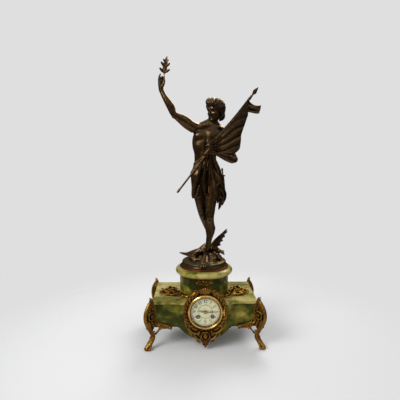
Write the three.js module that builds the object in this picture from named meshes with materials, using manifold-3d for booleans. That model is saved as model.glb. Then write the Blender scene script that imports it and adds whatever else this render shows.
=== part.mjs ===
// A figural mantel clock: an onyx case on four scroll legs, a round pendulum movement behind an
// enamel dial, and a cast bronze standard bearer on a round plinth. Millimetres, +Z up, dial
// towards -Y, origin on the ground under the middle of the case.
import * as THREE from 'three';
import { mergeVertices } from 'three/addons/utils/BufferGeometryUtils.js';
import Module from 'manifold-3d';

// Driving dimensions: case
const slabHalfWidth = 142;
const slabHalfDepth = 82;
const slabTopZ = 129;
const slabThickness = 8;
const slabOverhang = 4;
const caseBottomZ = 56;
const bowHalfWidth = 76;
const bowDepth = 16;
const keelBottomZ = 21;
const keelBackY = -28;
const seatGap = 0.3;

// Driving dimensions: drum, collar and plinth
const drumRadius = 70;
const drumHeight = 56;
const collarRadius = 82;
const collarHeight = 20;
const plinthRingHeight = 6;
const plinthRadius = 65;
const plinthHeight = 12;

// Driving dimensions: legs
const kneeReach = 27.5;
const legThickness = 10;
const legTipRise = 12.5;
const ankleZ = 29;

// Driving dimensions: dial and movement
const dialZ = 105;
const sightRadius = 38.9;
const bezelWidth = 8.7;
const tubeWall = 2.2;
const movementRadius = 40;
const windingX = 19.5;
const windingDrop = 14;
const pendulumLength = 85;
const bobRadius = 11;

// Driving dimensions: statue
const figureHeight = 461;
const staffRadius = 2.6;
const leafLength = 56;

// Levels and places that follow from them
const slabBottomZ = slabTopZ - slabThickness;
const caseHalfWidth = slabHalfWidth - slabOverhang;
const caseHalfDepth = slabHalfDepth - slabOverhang;
const bowFrontY = -caseHalfDepth - bowDepth;
const drumTopZ = slabTopZ + drumHeight;
const collarTopZ = drumTopZ + collarHeight;
const ringTopZ = collarTopZ + plinthRingHeight;
const plinthTopZ = ringTopZ + plinthHeight;
const boreRadius = movementRadius + 5;
const tubeOuter = boreRadius - seatGap;
const tubeInner = tubeOuter - tubeWall;
const bezelRadius = sightRadius + bezelWidth;
const surroundFrontY = bowFrontY - 5;
const bezelBackY = surroundFrontY - seatGap;
const dialFrontY = surroundFrontY + 5.2;
const frontPlateY = dialFrontY + 7.8;
const plateThickness = 2;
const trainDepth = 32;
const backPlateY = frontPlateY + plateThickness + trainDepth;
const pendulumY = backPlateY + plateThickness + 6;
const tubeEndY = -60;
const rearTubeY = 40;
const rearFaceY = slabHalfDepth + 3;
const clearance = 0.3;

// The mounts, the sprays and the statue are drawn at these sizes and scaled to the ones above
const drawnBezelRadius = 47.6;
const drawnSlabHalfWidth = 142;
const drawnSlabHalfDepth = 82;
const drawnFigureHeight = 461;
const mountScale = bezelRadius / drawnBezelRadius;
const figureScale = figureHeight / drawnFigureHeight;

const wasm = await Module();
wasm.setup();

// Surfaces
const finish = (color, roughness, metalness) => new THREE.MeshStandardMaterial({ color, roughness,
  metalness });
const onyx = () => finish(0x6f7d3a, 0.22, 0);
const paleOnyx = () => finish(0xa9b27c, 0.22, 0);
const gilt = () => finish(0x8a6428, 0.38, 0.9);
const bronze = () => finish(0x3a2a1c, 0.42, 0.85);
const redBronze = () => finish(0x5a2417, 0.4, 0.6);
const brass = () => finish(0xb08d4a, 0.35, 0.95);
const steel = () => finish(0x8b8f94, 0.3, 1);
const enamel = () => finish(0xf2efe4, 0.2, 0);
const glazing = () => new THREE.MeshStandardMaterial({ color: 0xdfe8ea, roughness: 0.05,
  transparent: true, opacity: 0.3 });

// A closed geometry as a solid; a geometry that is wound inwards is turned round first
function solidOf(geometry) {
  const plain = geometry.clone();
  plain.deleteAttribute('normal');
  plain.deleteAttribute('uv');
  const merged = mergeVertices(plain, 1e-4);
  const index = Array.from(merged.index.array);
  const triVerts = [];
  for (let i = 0; i < index.length; i += 3) {
    const [a, b, c] = index.slice(i, i + 3);
    if (a !== b && b !== c && c !== a) triVerts.push(a, b, c);
  }
  const vertProperties = new Float32Array(merged.attributes.position.array);
  const vertex = (i) => new THREE.Vector3().fromArray(vertProperties, 3 * i);
  let volume = 0;
  for (let i = 0; i < triVerts.length; i += 3) {
    const [a, b, c] = [vertex(triVerts[i]), vertex(triVerts[i + 1]), vertex(triVerts[i + 2])];
    volume += a.dot(b.cross(c));
  }
  if (volume < 0) triVerts.reverse();
  return new wasm.Manifold(new wasm.Mesh({ numProp: 3, vertProperties,
    triVerts: new Uint32Array(triVerts) }));
}

// A solid back as a geometry
function geometryOf(solid) {
  const { vertProperties, triVerts, numProp } = solid.getMesh();
  const positions = new Float32Array((vertProperties.length / numProp) * 3);
  for (let i = 0; i < positions.length / 3; i += 1) {
    for (let k = 0; k < 3; k += 1) positions[3 * i + k] = vertProperties[numProp * i + k];
  }
  const geometry = new THREE.BufferGeometry();
  geometry.setAttribute('position', new THREE.BufferAttribute(positions, 3));
  geometry.setIndex(new THREE.BufferAttribute(new Uint32Array(triVerts), 1));
  return geometry;
}

const join = (first, ...rest) => rest.reduce((sum, piece) => sum.add(piece), first);
const cut = (first, ...rest) => rest.reduce((left, piece) => left.subtract(piece), first);

// The same solid mirrored across X, across Y or both
function mirrored(solid, x, y) {
  return solidOf(geometryOf(solid).scale(x, y, 1));
}

// A box between two corners
function block(low, high) {
  const size = high.map((value, k) => value - low[k]);
  const middle = high.map((value, k) => (value + low[k]) / 2);
  return solidOf(new THREE.BoxGeometry(...size).translate(...middle));
}

// A turned piece on a vertical axis, from radius and height pairs
function turned(profile, segments, x = 0, y = 0) {
  const points = profile.map(([radius, height]) => new THREE.Vector2(radius, height));
  return solidOf(new THREE.LatheGeometry(points, segments).rotateX(Math.PI / 2).translate(x, y, 0));
}

// A turned piece on an axis along Y through (x, z), from radius and Y pairs
function turnedAlongY(profile, segments, x = 0, z = dialZ) {
  const points = profile.map(([radius, along]) => new THREE.Vector2(radius, along));
  return solidOf(new THREE.LatheGeometry(points, segments).rotateY(Math.PI / segments).translate(x, 0,
    z));
}

// A rod along Y, and a tube along Y
const rod = (x, z, radius, y0, y1, segments = 8) =>
  turnedAlongY([[0, y0], [radius, y0], [radius, y1], [0, y1]], segments, x, z);
const tube = (x, z, inner, outer, y0, y1, segments = 8) =>
  turnedAlongY([[inner, y0], [outer, y0], [outer, y1], [inner, y1], [inner, y0]], segments, x, z);

// A front-view outline with holes as a plate, its rear face at backY
function plate(points, backY, thickness, holes = []) {
  const shape = new THREE.Shape(points.map(([x, z]) => new THREE.Vector2(x, z)));
  for (const hole of holes) shape.holes.push(new THREE.Path(hole.map(([x, z]) => new THREE.Vector2(x,
    z))));
  const geometry = new THREE.ExtrudeGeometry(shape, { depth: thickness, bevelEnabled: false });
  return solidOf(geometry.rotateX(Math.PI / 2).translate(0, backY, 0));
}

// A plan-view outline as a slab between two heights
function planPiece(points, bottomZ, topZ) {
  const shape = new THREE.Shape(points.map(([x, y]) => new THREE.Vector2(x, y)));
  return solidOf(new THREE.ExtrudeGeometry(shape,
    { depth: topZ - bottomZ, bevelEnabled: false }).translate(0, 0, bottomZ));
}

const circle = (x, z, radius, sides, phase = 0) => Array.from({ length: sides }, (_, i) => {
  const angle = phase + (2 * Math.PI * i) / sides;
  return [x + radius * Math.cos(angle), z + radius * Math.sin(angle)];
});

// A bent rod through points, with a round section
function bentRod(points, radius, steps = 8, sides = 5) {
  const curve = new THREE.CatmullRomCurve3(points.map((p) => new THREE.Vector3(...p)));
  const section = new THREE.Shape(circle(0, 0, radius, sides).map(([a, b]) => new THREE.Vector2(a, b)));
  return solidOf(new THREE.ExtrudeGeometry(section, { steps, extrudePath: curve }));
}

// A smooth closed outline through points
function smoothOutline(points, divisions) {
  const curve = new THREE.CatmullRomCurve3(points.map(([a, b]) => new THREE.Vector3(a, b, 0)), true);
  return curve.getPoints(divisions).slice(0, -1).map((p) => [p.x, p.y]);
}

// A rounded body lofted through oval sections: [x, y, z, half width, half depth]. forward is the
// way its front faces; grow widens every section.
function loft(sections, { sides = 10, forward = [0, -1, 0], grow = 0 } = {}) {
  const centres = sections.map(([x, y, z]) => new THREE.Vector3(x, y, z));
  const front = new THREE.Vector3(...forward);
  const last = sections.length - 1;
  const along = centres.map((c, i) => centres[Math.min(i + 1, last)].clone().sub(centres[Math.max(i - 1,
    0)]).normalize());
  const positions = [];
  const push = (p) => positions.push(p.x, p.y, p.z);
  push(centres[0].clone().addScaledVector(along[0], -grow - 0.4 * sections[0][3]));
  sections.forEach(([, , , wide, deep], i) => {
    const side = along[i].clone().cross(front).normalize();
    const depth = side.clone().cross(along[i]);
    for (let k = 0; k < sides; k += 1) {
      const angle = (2 * Math.PI * k) / sides;
      push(centres[i].clone().addScaledVector(side, (wide + grow) * Math.cos(angle))
        .addScaledVector(depth, (deep + grow) * Math.sin(angle)));
    }
  });
  push(centres[last].clone().addScaledVector(along[last], grow + 0.4 * sections[last][3]));
  const ring = (i, k) => 1 + i * sides + (k % sides);
  const end = positions.length / 3 - 1;
  const index = [];
  for (let k = 0; k < sides; k += 1) {
    index.push(0, ring(0, k + 1), ring(0, k), end, ring(last, k), ring(last, k + 1));
    for (let i = 0; i < last; i += 1) {
      index.push(ring(i, k), ring(i, k + 1), ring(i + 1, k + 1), ring(i, k), ring(i + 1, k + 1),
        ring(i + 1, k));
    }
  }
  const geometry = new THREE.BufferGeometry();
  geometry.setAttribute('position', new THREE.Float32BufferAttribute(positions, 3));
  geometry.setIndex(index);
  return solidOf(geometry);
}

// An egg shape with three half sizes, turned about Z and tipped about X
function egg(centre, halves, segments = 12, turn = 0, tip = 0) {
  const geometry = new THREE.SphereGeometry(1, segments,
    Math.max(4, Math.round(segments / 2))).rotateX(Math.PI / 2);
  return solidOf(geometry.scale(...halves).rotateX(tip).rotateZ(turn).translate(...centre));
}

// Case plan: the rectangle with the shallow bow at the front centre
function casePlan(halfWidth, halfDepth, bowFront) {
  const bow = [];
  const bowHalf = bowHalfWidth + (halfDepth - caseHalfDepth);
  const rise = -bowFront - halfDepth;
  const radius = (bowHalf ** 2 + rise ** 2) / (2 * rise);
  const centreY = bowFront + radius;
  const halfAngle = Math.asin(bowHalf / radius);
  const steps = 9;
  for (let i = 0; i <= steps; i += 1) {
    const angle = -halfAngle + (2 * halfAngle * i) / steps;
    bow.push([radius * Math.sin(angle), centreY - radius * Math.cos(angle)]);
  }
  return [[-halfWidth, -halfDepth], ...bow, [halfWidth, -halfDepth], [halfWidth, halfDepth],
    [-halfWidth, halfDepth]];
}

// Front outline of the centre block, with the ogee that runs down to the pendant
function keelOutline() {
  const half = new THREE.Path();
  half.moveTo(bowHalfWidth, caseBottomZ + 1);
  half.bezierCurveTo(bowHalfWidth * 0.82, caseBottomZ - 4, bowHalfWidth * 0.7, caseBottomZ - 21,
    bowHalfWidth * 0.4, caseBottomZ - 24);
  half.quadraticCurveTo(bowHalfWidth * 0.15, caseBottomZ - 26, 0, keelBottomZ);
  const right = half.getPoints(5).map((p) => [p.x, p.y]);
  const left = right.slice(0, -1).map(([x, z]) => [-x, z]).reverse();
  return [[bowHalfWidth, slabBottomZ], ...right, ...left, [-bowHalfWidth, slabBottomZ]];
}

const roundSides = 24;
const bore = (y0, y1) => rod(0, dialZ, boreRadius, y0, y1, roundSides);

// The room below the movement in which the pendulum bob swings
function pendulumRoom() {
  const bobZ = dialZ + pendulumPivotRise - pendulumLength;
  const half = bobRadius + 10;
  return block([-half, pendulumY - 6, bobZ - bobRadius - 3.5],
    [half, pendulumY + 8, dialZ - boreRadius * 0.6]);
}

function onyxCase(grow = 0) {
  const keelPlan = planPiece(casePlan(caseHalfWidth + grow, caseHalfDepth + grow, bowFrontY - grow), 0,
    slabBottomZ);
  const wings = block([-caseHalfWidth - grow, -caseHalfDepth - grow, caseBottomZ - grow],
    [caseHalfWidth + grow, caseHalfDepth + grow, slabBottomZ]);
  const keel = plate(keelOutline(), keelBackY, keelBackY - bowFrontY + 2 + grow).intersect(keelPlan);
  if (grow > 0) return join(wings, keel);
  return cut(join(wings, keel), bore(-120, 120), pendulumRoom());
}

// The pale top slab keeps a bridge under the drum, which the tie rod passes
const bridgeFrontY = -8;
const bridgeBackY = 30;

function onyxTopSlab(grow = 0) {
  const plan = casePlan(slabHalfWidth + grow, slabHalfDepth + grow, bowFrontY - slabOverhang - grow);
  const slab = planPiece(plan, slabBottomZ - grow, slabTopZ + grow);
  if (grow > 0) return slab;
  return cut(slab, bore(-120, bridgeFrontY), bore(bridgeBackY, 120), tieRodHole());
}

const tieRodRadius = 3;
const tieRodHole = () => turned([[0, 0], [tieRodRadius + 0.4, 0], [tieRodRadius + 0.4, plinthTopZ - 6],
  [0, plinthTopZ - 6]], 8);

function onyxDrum(grow = 0) {
  const radius = drumRadius + grow;
  const drum = turned([[0, slabTopZ], [radius, slabTopZ], [radius, drumTopZ], [0, drumTopZ]], roundSides);
  return grow > 0 ? drum : cut(drum, bore(-120, 120), tieRodHole());
}

function onyxCollar() {
  const swell = collarRadius - drumRadius;
  const profile = [[0, drumTopZ], [drumRadius - 1, drumTopZ],
    [drumRadius + swell * 0.75, drumTopZ + 0.2 * collarHeight],
    [collarRadius, drumTopZ + 0.5 * collarHeight],
      [drumRadius + swell * 0.75, drumTopZ + 0.8 * collarHeight],
    [drumRadius, collarTopZ], [0, collarTopZ]];
  return cut(turned(profile, roundSides), tieRodHole());
}

function plinthRing() {
  const profile = [[0, collarTopZ], [plinthRadius + 4, collarTopZ], [plinthRadius + 5.5, collarTopZ + 2],
    [plinthRadius + 2, ringTopZ - 1.5], [plinthRadius + 1.5, ringTopZ], [0, ringTopZ]];
  return cut(turned(profile, roundSides), tieRodHole());
}

function figurePlinth() {
  const profile = [[0, ringTopZ], [plinthRadius, ringTopZ], [plinthRadius, ringTopZ + 3],
    [plinthRadius - 2, ringTopZ + 4.5], [plinthRadius - 2, plinthTopZ - 3],
      [plinthRadius - 4, plinthTopZ], [0, plinthTopZ]];
  return cut(turned(profile, roundSides), tieRodHole());
}

function tieRod() {
  const bottomZ = slabBottomZ - 9;
  return turned([[0, bottomZ], [tieRodRadius, bottomZ], [tieRodRadius, plinthTopZ - 6.5],
    [0, plinthTopZ - 6.5]], 8);
}

function tieNut() {
  const inner = (tieRodRadius + 0.35) / Math.cos(Math.PI / 6);
  const low = slabBottomZ - 6;
  return turned([[inner, low], [7, low], [7, slabBottomZ], [inner, slabBottomZ], [inner, low]], 6);
}

// Legs. A leg is drawn in an upright plane on the diagonal through the slab's corner: out is the
// distance from that corner, positive outwards.
const legPoint = (out, z, across = 0) => {
  const share = Math.SQRT1_2;
  return [slabHalfWidth + (out - across) * share, -slabHalfDepth - (out + across) * share, z];
};

function legOutline() {
  const k = kneeReach;
  const rise = slabTopZ - caseBottomZ;
  const outer = [[0.4 * k, slabTopZ + legTipRise], [0.16 * k, slabTopZ + 6], [0.07 * k, slabTopZ + 1],
    [0.36 * k, slabTopZ - 0.07 * rise], [0.8 * k, slabTopZ - 0.28 * rise], [k, slabTopZ - 0.51 * rise],
    [0.82 * k, slabTopZ - 0.77 * rise], [0.44 * k, caseBottomZ], [0.06 * k, caseBottomZ - 14],
    [-0.16 * k, ankleZ], [0.1 * k, ankleZ - 6], [0.5 * k, ankleZ - 11], [0.86 * k, 6], [0.84 * k, 0]];
  const inner = [[0.1 * k, 0], [-0.1 * k, 7], [-0.4 * k, 17], [-0.52 * k, ankleZ], [-0.42 * k, 40],
    [-0.2 * k, 49], [-0.4 * k, caseBottomZ - 2], [-0.62 * k, caseBottomZ + 12],
      [-0.62 * k, slabBottomZ - 12],
    [-0.3 * k, slabTopZ - 3], [-0.16 * k, slabTopZ + 5], [0.02 * k, slabTopZ + 9]];
  return [...outer, ...inner];
}

function legFrontRight() {
  const rise = slabTopZ - caseBottomZ;
  const shape = new THREE.Shape(legOutline().map(([out, z]) => new THREE.Vector2(out, z)));
  const body = new THREE.ExtrudeGeometry(shape, { depth: legThickness, bevelEnabled: false });
  body.translate(0, 0, -legThickness / 2).rotateX(Math.PI / 2).rotateZ(-Math.PI / 4);
  const leaf = solidOf(body.translate(slabHalfWidth, -slabHalfDepth, 0));
  const eyeZ = slabTopZ - 0.53 * rise;
  const eyeHalf = legThickness / 2 + 2.5;
  const eye = solidOf(new THREE.CylinderGeometry(8.5, 8.5, 2 * eyeHalf, 8).rotateZ(-Math.PI / 4)
    .translate(...legPoint(0.22 * kneeReach, eyeZ)));
  const toe = loft([[...legPoint(0.15 * kneeReach, 9), 7, 5],
    [...legPoint(0.5 * kneeReach, 7), 10.5, 6.5],
    [...legPoint(0.82 * kneeReach, 4), 8, 4]], { sides: 6, forward: [0, 0, 1] });
  const knee = legPoint(-0.2 * kneeReach, caseBottomZ);
  const bracketRadius = 3.2;
  const face = -caseHalfDepth - bracketRadius - clearance;
  const sideFace = caseHalfWidth + bracketRadius + clearance;
  const bracketFront = bentRod([[knee[0] - 2, face, caseBottomZ + 12],
    [slabHalfWidth - 24, face, caseBottomZ + 3],
    [slabHalfWidth - 42, face, caseBottomZ + 3.5], [slabHalfWidth - 50, face, caseBottomZ + 1],
    [slabHalfWidth - 49, face, caseBottomZ - 3.5], [slabHalfWidth - 45.5, face, caseBottomZ - 2]],
      bracketRadius, 7, 4);
  const bracketSide = bentRod([[sideFace, knee[1] + 2, caseBottomZ + 12],
    [sideFace, -slabHalfDepth + 24, caseBottomZ + 3],
    [sideFace, -slabHalfDepth + 38, caseBottomZ + 3.5],
      [sideFace, -slabHalfDepth + 44, caseBottomZ - 2]], bracketRadius, 4, 4);
  const strut = bentRod([[slabHalfWidth - 25, face, caseBottomZ + 2],
    [slabHalfWidth - 20, face + 2, caseBottomZ - 9],
    legPoint(-0.42 * kneeReach, ankleZ + 7)], 2.4, 3, 4);
  const whole = join(leaf, toe, eye, bracketFront, bracketSide, strut);
  const floor = block([-400, -400, -60], [400, 400, 0]);
  return cut(whole, onyxCase(clearance), onyxTopSlab(clearance), floor);
}

// Dial surround: a cast ring with a shell above and a tail that runs down to the pendant
const surroundRise = 63;
const surroundHalf = [[0, surroundRise], [9, 62], [15, 56], [25, 59], [34, 52], [41, 42], [51, 33],
  [56, 16], [59.5, 0],
  [57, -16], [55, -30], [50, -44], [43, -53], [33, -61], [26, -72], [16, -77], [9, -86], [4, -94]];

function surroundOutline() {
  const scale = mountScale;
  const right = surroundHalf.map(([x, z]) => [x * scale, dialZ + z * scale]);
  const left = right.slice(1).reverse().map(([x, z]) => [-x, z]);
  return smoothOutline([...right, [0, dialZ - 97 * scale], ...left], 36);
}

const bezelHingeX = bezelRadius + 3;
const bezelHingeY = bezelBackY - 2.6;
const knuckleRadius = 2.2;
const knuckleHalf = 4;

function dialSurround() {
  const scale = mountScale;
  const body = plate(surroundOutline(), -72, -72 - surroundFrontY);
  const ring = turnedAlongY([[bezelRadius + 1, surroundFrontY + 0.5],
    [bezelRadius + 4.5, surroundFrontY - 3.4],
    [bezelRadius + 8, surroundFrontY + 0.5], [bezelRadius + 1, surroundFrontY + 0.5]], roundSides);
  const shell = [-1.5, 0, 1.5].map((i) => {
    const lean = i * 0.42;
    const reach = bezelRadius + 9;
    return loft([[0.5 * i, surroundFrontY, dialZ + bezelRadius + 2, 2, 2],
      [9 * Math.sin(lean), surroundFrontY - 1.5, dialZ + reach - 3 + 6 * Math.cos(lean) - 6, 3.4, 3],
      [17 * Math.sin(lean), surroundFrontY - 1, dialZ + reach - 4 + 8 * Math.cos(lean), 2.6, 2.4]],
        { sides: 5 });
  });
  const scroll = (way) => bentRod([[44, -38], [40, -52], [28, -57], [19, -66], [15, -78], [22, -80],
    [25, -73], [20, -70]]
    .map(([x, z]) => [way * x * scale, surroundFrontY - 0.5, dialZ + z * scale]), 2.9, 6, 4);
  const wing = (way) => bentRod([[20, 55], [30, 52], [41, 44], [47, 35], [55, 26], [57, 12], [52, 10]]
    .map(([x, z]) => [way * x * scale, surroundFrontY - 0.3, dialZ + z * scale]), 2.7, 5, 4);
  const shield = egg([0, surroundFrontY - 0.5, dialZ - 66 * scale], [9 * scale, 3.6, 11 * scale], 8);
  const drop = loft([[0, surroundFrontY + 2, dialZ - 78 * scale, 6, 4],
    [0, surroundFrontY, dialZ - 86 * scale, 4, 4],
    [0, surroundFrontY, dialZ - 92 * scale, 5.5, 4.5], [0, surroundFrontY, dialZ - 97.5 * scale, 1.5,
      1.5]], { sides: 6 });
  const solid = join(body, ring, ...shell, scroll(-1), scroll(1), wing(-1), wing(1), shield, drop);
  const pipe = tube(0, dialZ, tubeInner, tubeOuter, surroundFrontY + 2, tubeEndY, roundSides);
  const lipBackY = dialFrontY + 1.4;
  const opened = cut(solid, onyxCase(clearance), onyxTopSlab(clearance), onyxDrum(clearance),
    rod(0, dialZ, tubeInner, lipBackY, 0, roundSides),
      rod(0, dialZ, sightRadius + 1.4, -120, 0, roundSides),
    rod(0, dialZ, bezelRadius + clearance, -120, surroundFrontY, roundSides));
  const knuckles = [-1, 1].map((way) => hingeKnuckle(bezelHingeX, bezelHingeY,
    dialZ + way * (knuckleHalf + 2.3), 2, 0));
  const webs = [-1, 1].map((way) => block([bezelHingeX - 1.6, bezelHingeY,
    dialZ + way * (knuckleHalf + 2.3) - 2],
    [bezelHingeX + 1.6, surroundFrontY + 1, dialZ + way * (knuckleHalf + 2.3) + 2]));
  const hingeRoom = hingeKnuckle(bezelHingeX, bezelHingeY, dialZ, knuckleHalf + 5, 1.6);
  const hinged = join(cut(opened, hingeRoom), ...webs, ...knuckles);
  return join(cut(hinged, hingePinHole(bezelHingeX, bezelHingeY)), pipe);
}

// Hinge pieces on an upright axis
const pinRadius = 0.9;
const pinHalf = 8;

function hingeKnuckle(x, y, z, half, grow) {
  const radius = knuckleRadius + grow;
  return turned([[0, z - half], [radius, z - half], [radius, z + half], [0, z + half]], 10, x, y);
}

const hingePinHole = (x, y) =>
  turned([[0, dialZ - 14], [pinRadius + 0.3, dialZ - 14], [pinRadius + 0.3, dialZ + 14],
    [0, dialZ + 14]], 8, x, y);

function hingePin(x, y) {
  return turned([[0, dialZ - pinHalf], [pinRadius, dialZ - pinHalf], [pinRadius, dialZ + pinHalf],
    [0, dialZ + pinHalf]], 8, x, y);
}

// The hinged bezel, rebated at the back for its glass
const glassBackY = bezelBackY - 0.2;
const glassThickness = 1.2;

function bezelDoor() {
  const back = bezelBackY;
  const rebate = sightRadius + 3.3;
  const profile = [[rebate, back], [bezelRadius, back], [bezelRadius, back - 2.4],
    [bezelRadius - 4, back - 4.8],
    [sightRadius, back - 2.2], [sightRadius, glassBackY - glassThickness - clearance],
    [rebate, glassBackY - glassThickness - clearance], [rebate, back]];
  const ring = turnedAlongY(profile, roundSides);
  const tongue = block([bezelRadius - 2, bezelHingeY - 1.5, dialZ - knuckleHalf],
    [bezelHingeX, bezelHingeY + 1.2, dialZ + knuckleHalf]);
  const knuckle = hingeKnuckle(bezelHingeX, bezelHingeY, dialZ, knuckleHalf, 0);
  return cut(join(ring, tongue, knuckle), hingePinHole(bezelHingeX, bezelHingeY));
}

const bezelGlass = () => rod(0, dialZ, sightRadius + 3, glassBackY - glassThickness, glassBackY,
  roundSides);

// Dial: the enamel with its two winding holes, on a brass plate with feet
const windingHole = 3.1;
const windingPlaces = [-1, 1].map((way) => [way * windingX, dialZ - windingDrop]);
const dialFeet = [0.5, 2.64, 4.71].map((angle) => [33 * Math.cos(angle), dialZ + 33 * Math.sin(angle)]);

function dialEnamel() {
  const rim = circle(0, dialZ, sightRadius + 1.1, roundSides, Math.PI / roundSides);
  const holes = [...windingPlaces.map(([x, z]) => circle(x, z, windingHole, 8)),
    circle(0, dialZ, 4.5, 8)];
  return plate(rim, dialFrontY + 1.2, 1.2, holes);
}

function dialPlate() {
  const rim = circle(0, dialZ, tubeInner - clearance, roundSides, Math.PI / roundSides);
  const holes = [...windingPlaces.map(([x, z]) => circle(x, z, windingHole + 1.2, 8)),
    circle(0, dialZ, 5, 8)];
  const back = dialFrontY + 2.7;
  const feet = dialFeet.map(([x, z]) => rod(x, z, 1.6, back - 0.5, frontPlateY, 6));
  return join(plate(rim, back, 1, holes), ...feet);
}

// Wheel train. A wheel or pinion has plain pointed teeth, two outline points a tooth.
function gearOutline(x, z, teeth, tip, root, phase) {
  const points = [];
  for (let i = 0; i < teeth; i += 1) {
    const angle = phase + (2 * Math.PI * i) / teeth;
    const half = Math.PI / teeth;
    points.push([x + tip * Math.cos(angle), z + tip * Math.sin(angle)]);
    points.push([x + root * Math.cos(angle + half), z + root * Math.sin(angle + half)]);
  }
  return points;
}

// Meshing wheels run with their teeth part way in, so their arbors stand this far apart
const toothHeight = 2.2;
const meshDepth = 0.8;
const tipOf = (teeth, module) => (teeth * module) / 2 + module * 0.5 * meshDepth;
const rootOf = (teeth, module) => tipOf(teeth, module) - toothHeight * module;
const spacing = (teethA, teethB, module) => ((teethA + teethB) * module) / 2;

function wheel(place, teeth, module, backY, thickness, { phase = 0, boreHole = 0 } = {}) {
  const holes = boreHole > 0 ? [circle(...place, boreHole, 10)] : [];
  return plate(gearOutline(...place, teeth, tipOf(teeth, module), rootOf(teeth, module), phase), backY,
    thickness, holes);
}

// The place at distance a from one point and b from another, on the chosen side
function meet([x0, z0], a, [x1, z1], b, side) {
  const dx = x1 - x0;
  const dz = z1 - z0;
  const d = Math.hypot(dx, dz);
  const along = (a * a - b * b + d * d) / (2 * d);
  const off = side * Math.sqrt(a * a - along * along);
  return [x0 + (along * dx - off * dz) / d, z0 + (along * dz + off * dx) / d];
}

// The phase that sets a tooth gap of the driven wheel against a tooth of its driver
function meshPhase(driver, driverTeeth, driverPhase, driven, drivenTeeth) {
  const line = Math.atan2(driven[1] - driver[1], driven[0] - driver[0]);
  const share = ((line - driverPhase) * driverTeeth) / (2 * Math.PI);
  return line + Math.PI + (2 * Math.PI * (0.5 + share)) / drivenTeeth;
}

const arborRadius = 1;
const pivotRadius = 0.7;
const centre = [0, dialZ];
const barrelModule = 0.88;
const middleModule = 0.8;
const centreModule = 0.4;
const thirdModule = 0.33;
const goingBarrelPlace = windingPlaces[1];
const strikeBarrelPlace = windingPlaces[0];
const middlePlace = meet(centre, spacing(36, 6, middleModule), goingBarrelPlace,
  spacing(36, 6, barrelModule), 1);
const thirdPlace = [-9, dialZ + Math.sqrt(spacing(72, 6, centreModule) ** 2 - 81)];
const escapePlace = [0, thirdPlace[1] + Math.sqrt(spacing(72, 6, thirdModule) ** 2 - 81)];
const strikePlace = meet(centre, 20, strikeBarrelPlace, spacing(36, 6, barrelModule), -1);
const pendulumPivotRise = 33;
const anchorPlace = [0, dialZ + pendulumPivotRise];
const hammerPlace = [-31, dialZ + 17];

const insideFrontY = frontPlateY + plateThickness;
const barrelFrontY = insideFrontY + 0.8;
const barrelWheelY = barrelFrontY + 12;

// An arbor between the plates, with thinner pivots that run in the plates' holes
function arbor([x, z], radius = arborRadius) {
  const front = insideFrontY + clearance;
  const back = backPlateY - clearance;
  const pivot = Math.min(pivotRadius, radius);
  const frontEnd = frontPlateY + 0.4;
  const backEnd = backPlateY + plateThickness - 0.4;
  return turnedAlongY([[0, frontEnd], [pivot, frontEnd], [pivot, front], [radius, front],
    [radius, back], [pivot, back],
    [pivot, backEnd], [0, backEnd]], 6, x, z);
}

function barrel(place) {
  const [x, z] = place;
  const boreHole = windingArborRadius + 0.35;
  const drum = tube(x, z, boreHole, rootOf(36, barrelModule) - 0.4, barrelFrontY, barrelWheelY + 0.5, 12);
  const teeth = wheel(place, 36, barrelModule, barrelWheelY + 1.5, 1.5, { boreHole });
  return join(drum, teeth);
}

const windingArborRadius = 2.4;

function windingArbor(place) {
  const [x, z] = place;
  const square = rod(x, z, 1.9, dialFrontY + 0.6, frontPlateY - 1, 4);
  const body = rod(x, z, windingArborRadius, frontPlateY - 1.5, backPlateY - clearance, 10);
  const pivot = rod(x, z, pivotRadius * 1.4, backPlateY - 1, backPlateY + plateThickness - 0.4, 6);
  return join(square, body, pivot);
}

const middleWheelY = barrelWheelY + 5.5;
const centreWheelY = barrelWheelY + 9.3;
const thirdWheelY = barrelWheelY + 13.3;
const escapeWheelY = barrelWheelY + 17;
const pinionThickness = 3.6;

const middlePinionPhase = meshPhase(goingBarrelPlace, 36, 0, middlePlace, 6);
const centrePinionPhase = meshPhase(middlePlace, 36, 0, centre, 6);
const thirdPinionPhase = meshPhase(centre, 72, 0, thirdPlace, 6);
const escapePinionPhase = meshPhase(thirdPlace, 72, 0, escapePlace, 6);
const strikePinionPhase = meshPhase(strikeBarrelPlace, 36, 0, strikePlace, 6);

function middleWheel() {
  const pinion = wheel(middlePlace, 6, barrelModule, barrelWheelY + 2.5, pinionThickness,
    { phase: middlePinionPhase });
  return join(arbor(middlePlace), pinion, wheel(middlePlace, 36, middleModule, middleWheelY + 1.2, 1.2));
}

// The centre arbor carries the cannon pinion and the minute hand in front of the front plate
function centreWheel() {
  const [x, z] = centre;
  const pinion = wheel(centre, 6, middleModule, middleWheelY + 2.2, pinionThickness,
    { phase: centrePinionPhase });
  const teeth = wheel(centre, 72, centreModule, centreWheelY + 1, 1);
  const front = rod(x, z, arborRadius, minuteHandY - 1.2, insideFrontY + 1, 6);
  return join(arbor(centre), pinion, teeth, front);
}

function thirdWheel() {
  const pinion = wheel(thirdPlace, 6, centreModule, centreWheelY + 2, 3, { phase: thirdPinionPhase });
  return join(arbor(thirdPlace, 0.8), pinion, wheel(thirdPlace, 72, thirdModule, thirdWheelY + 1, 1));
}

function escapeWheel() {
  const pinion = wheel(escapePlace, 6, thirdModule, thirdWheelY + 2, 3, { phase: escapePinionPhase });
  const [x, z] = escapePlace;
  const teeth = plate(gearOutline(x, z, 40, escapeTip, escapeTip - 1.1, 0), escapeWheelY + 0.8, 0.8);
  return join(arbor(escapePlace, 0.55), pinion, teeth);
}

const escapeTip = 6.6;
const palletGap = 0.8;

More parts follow.
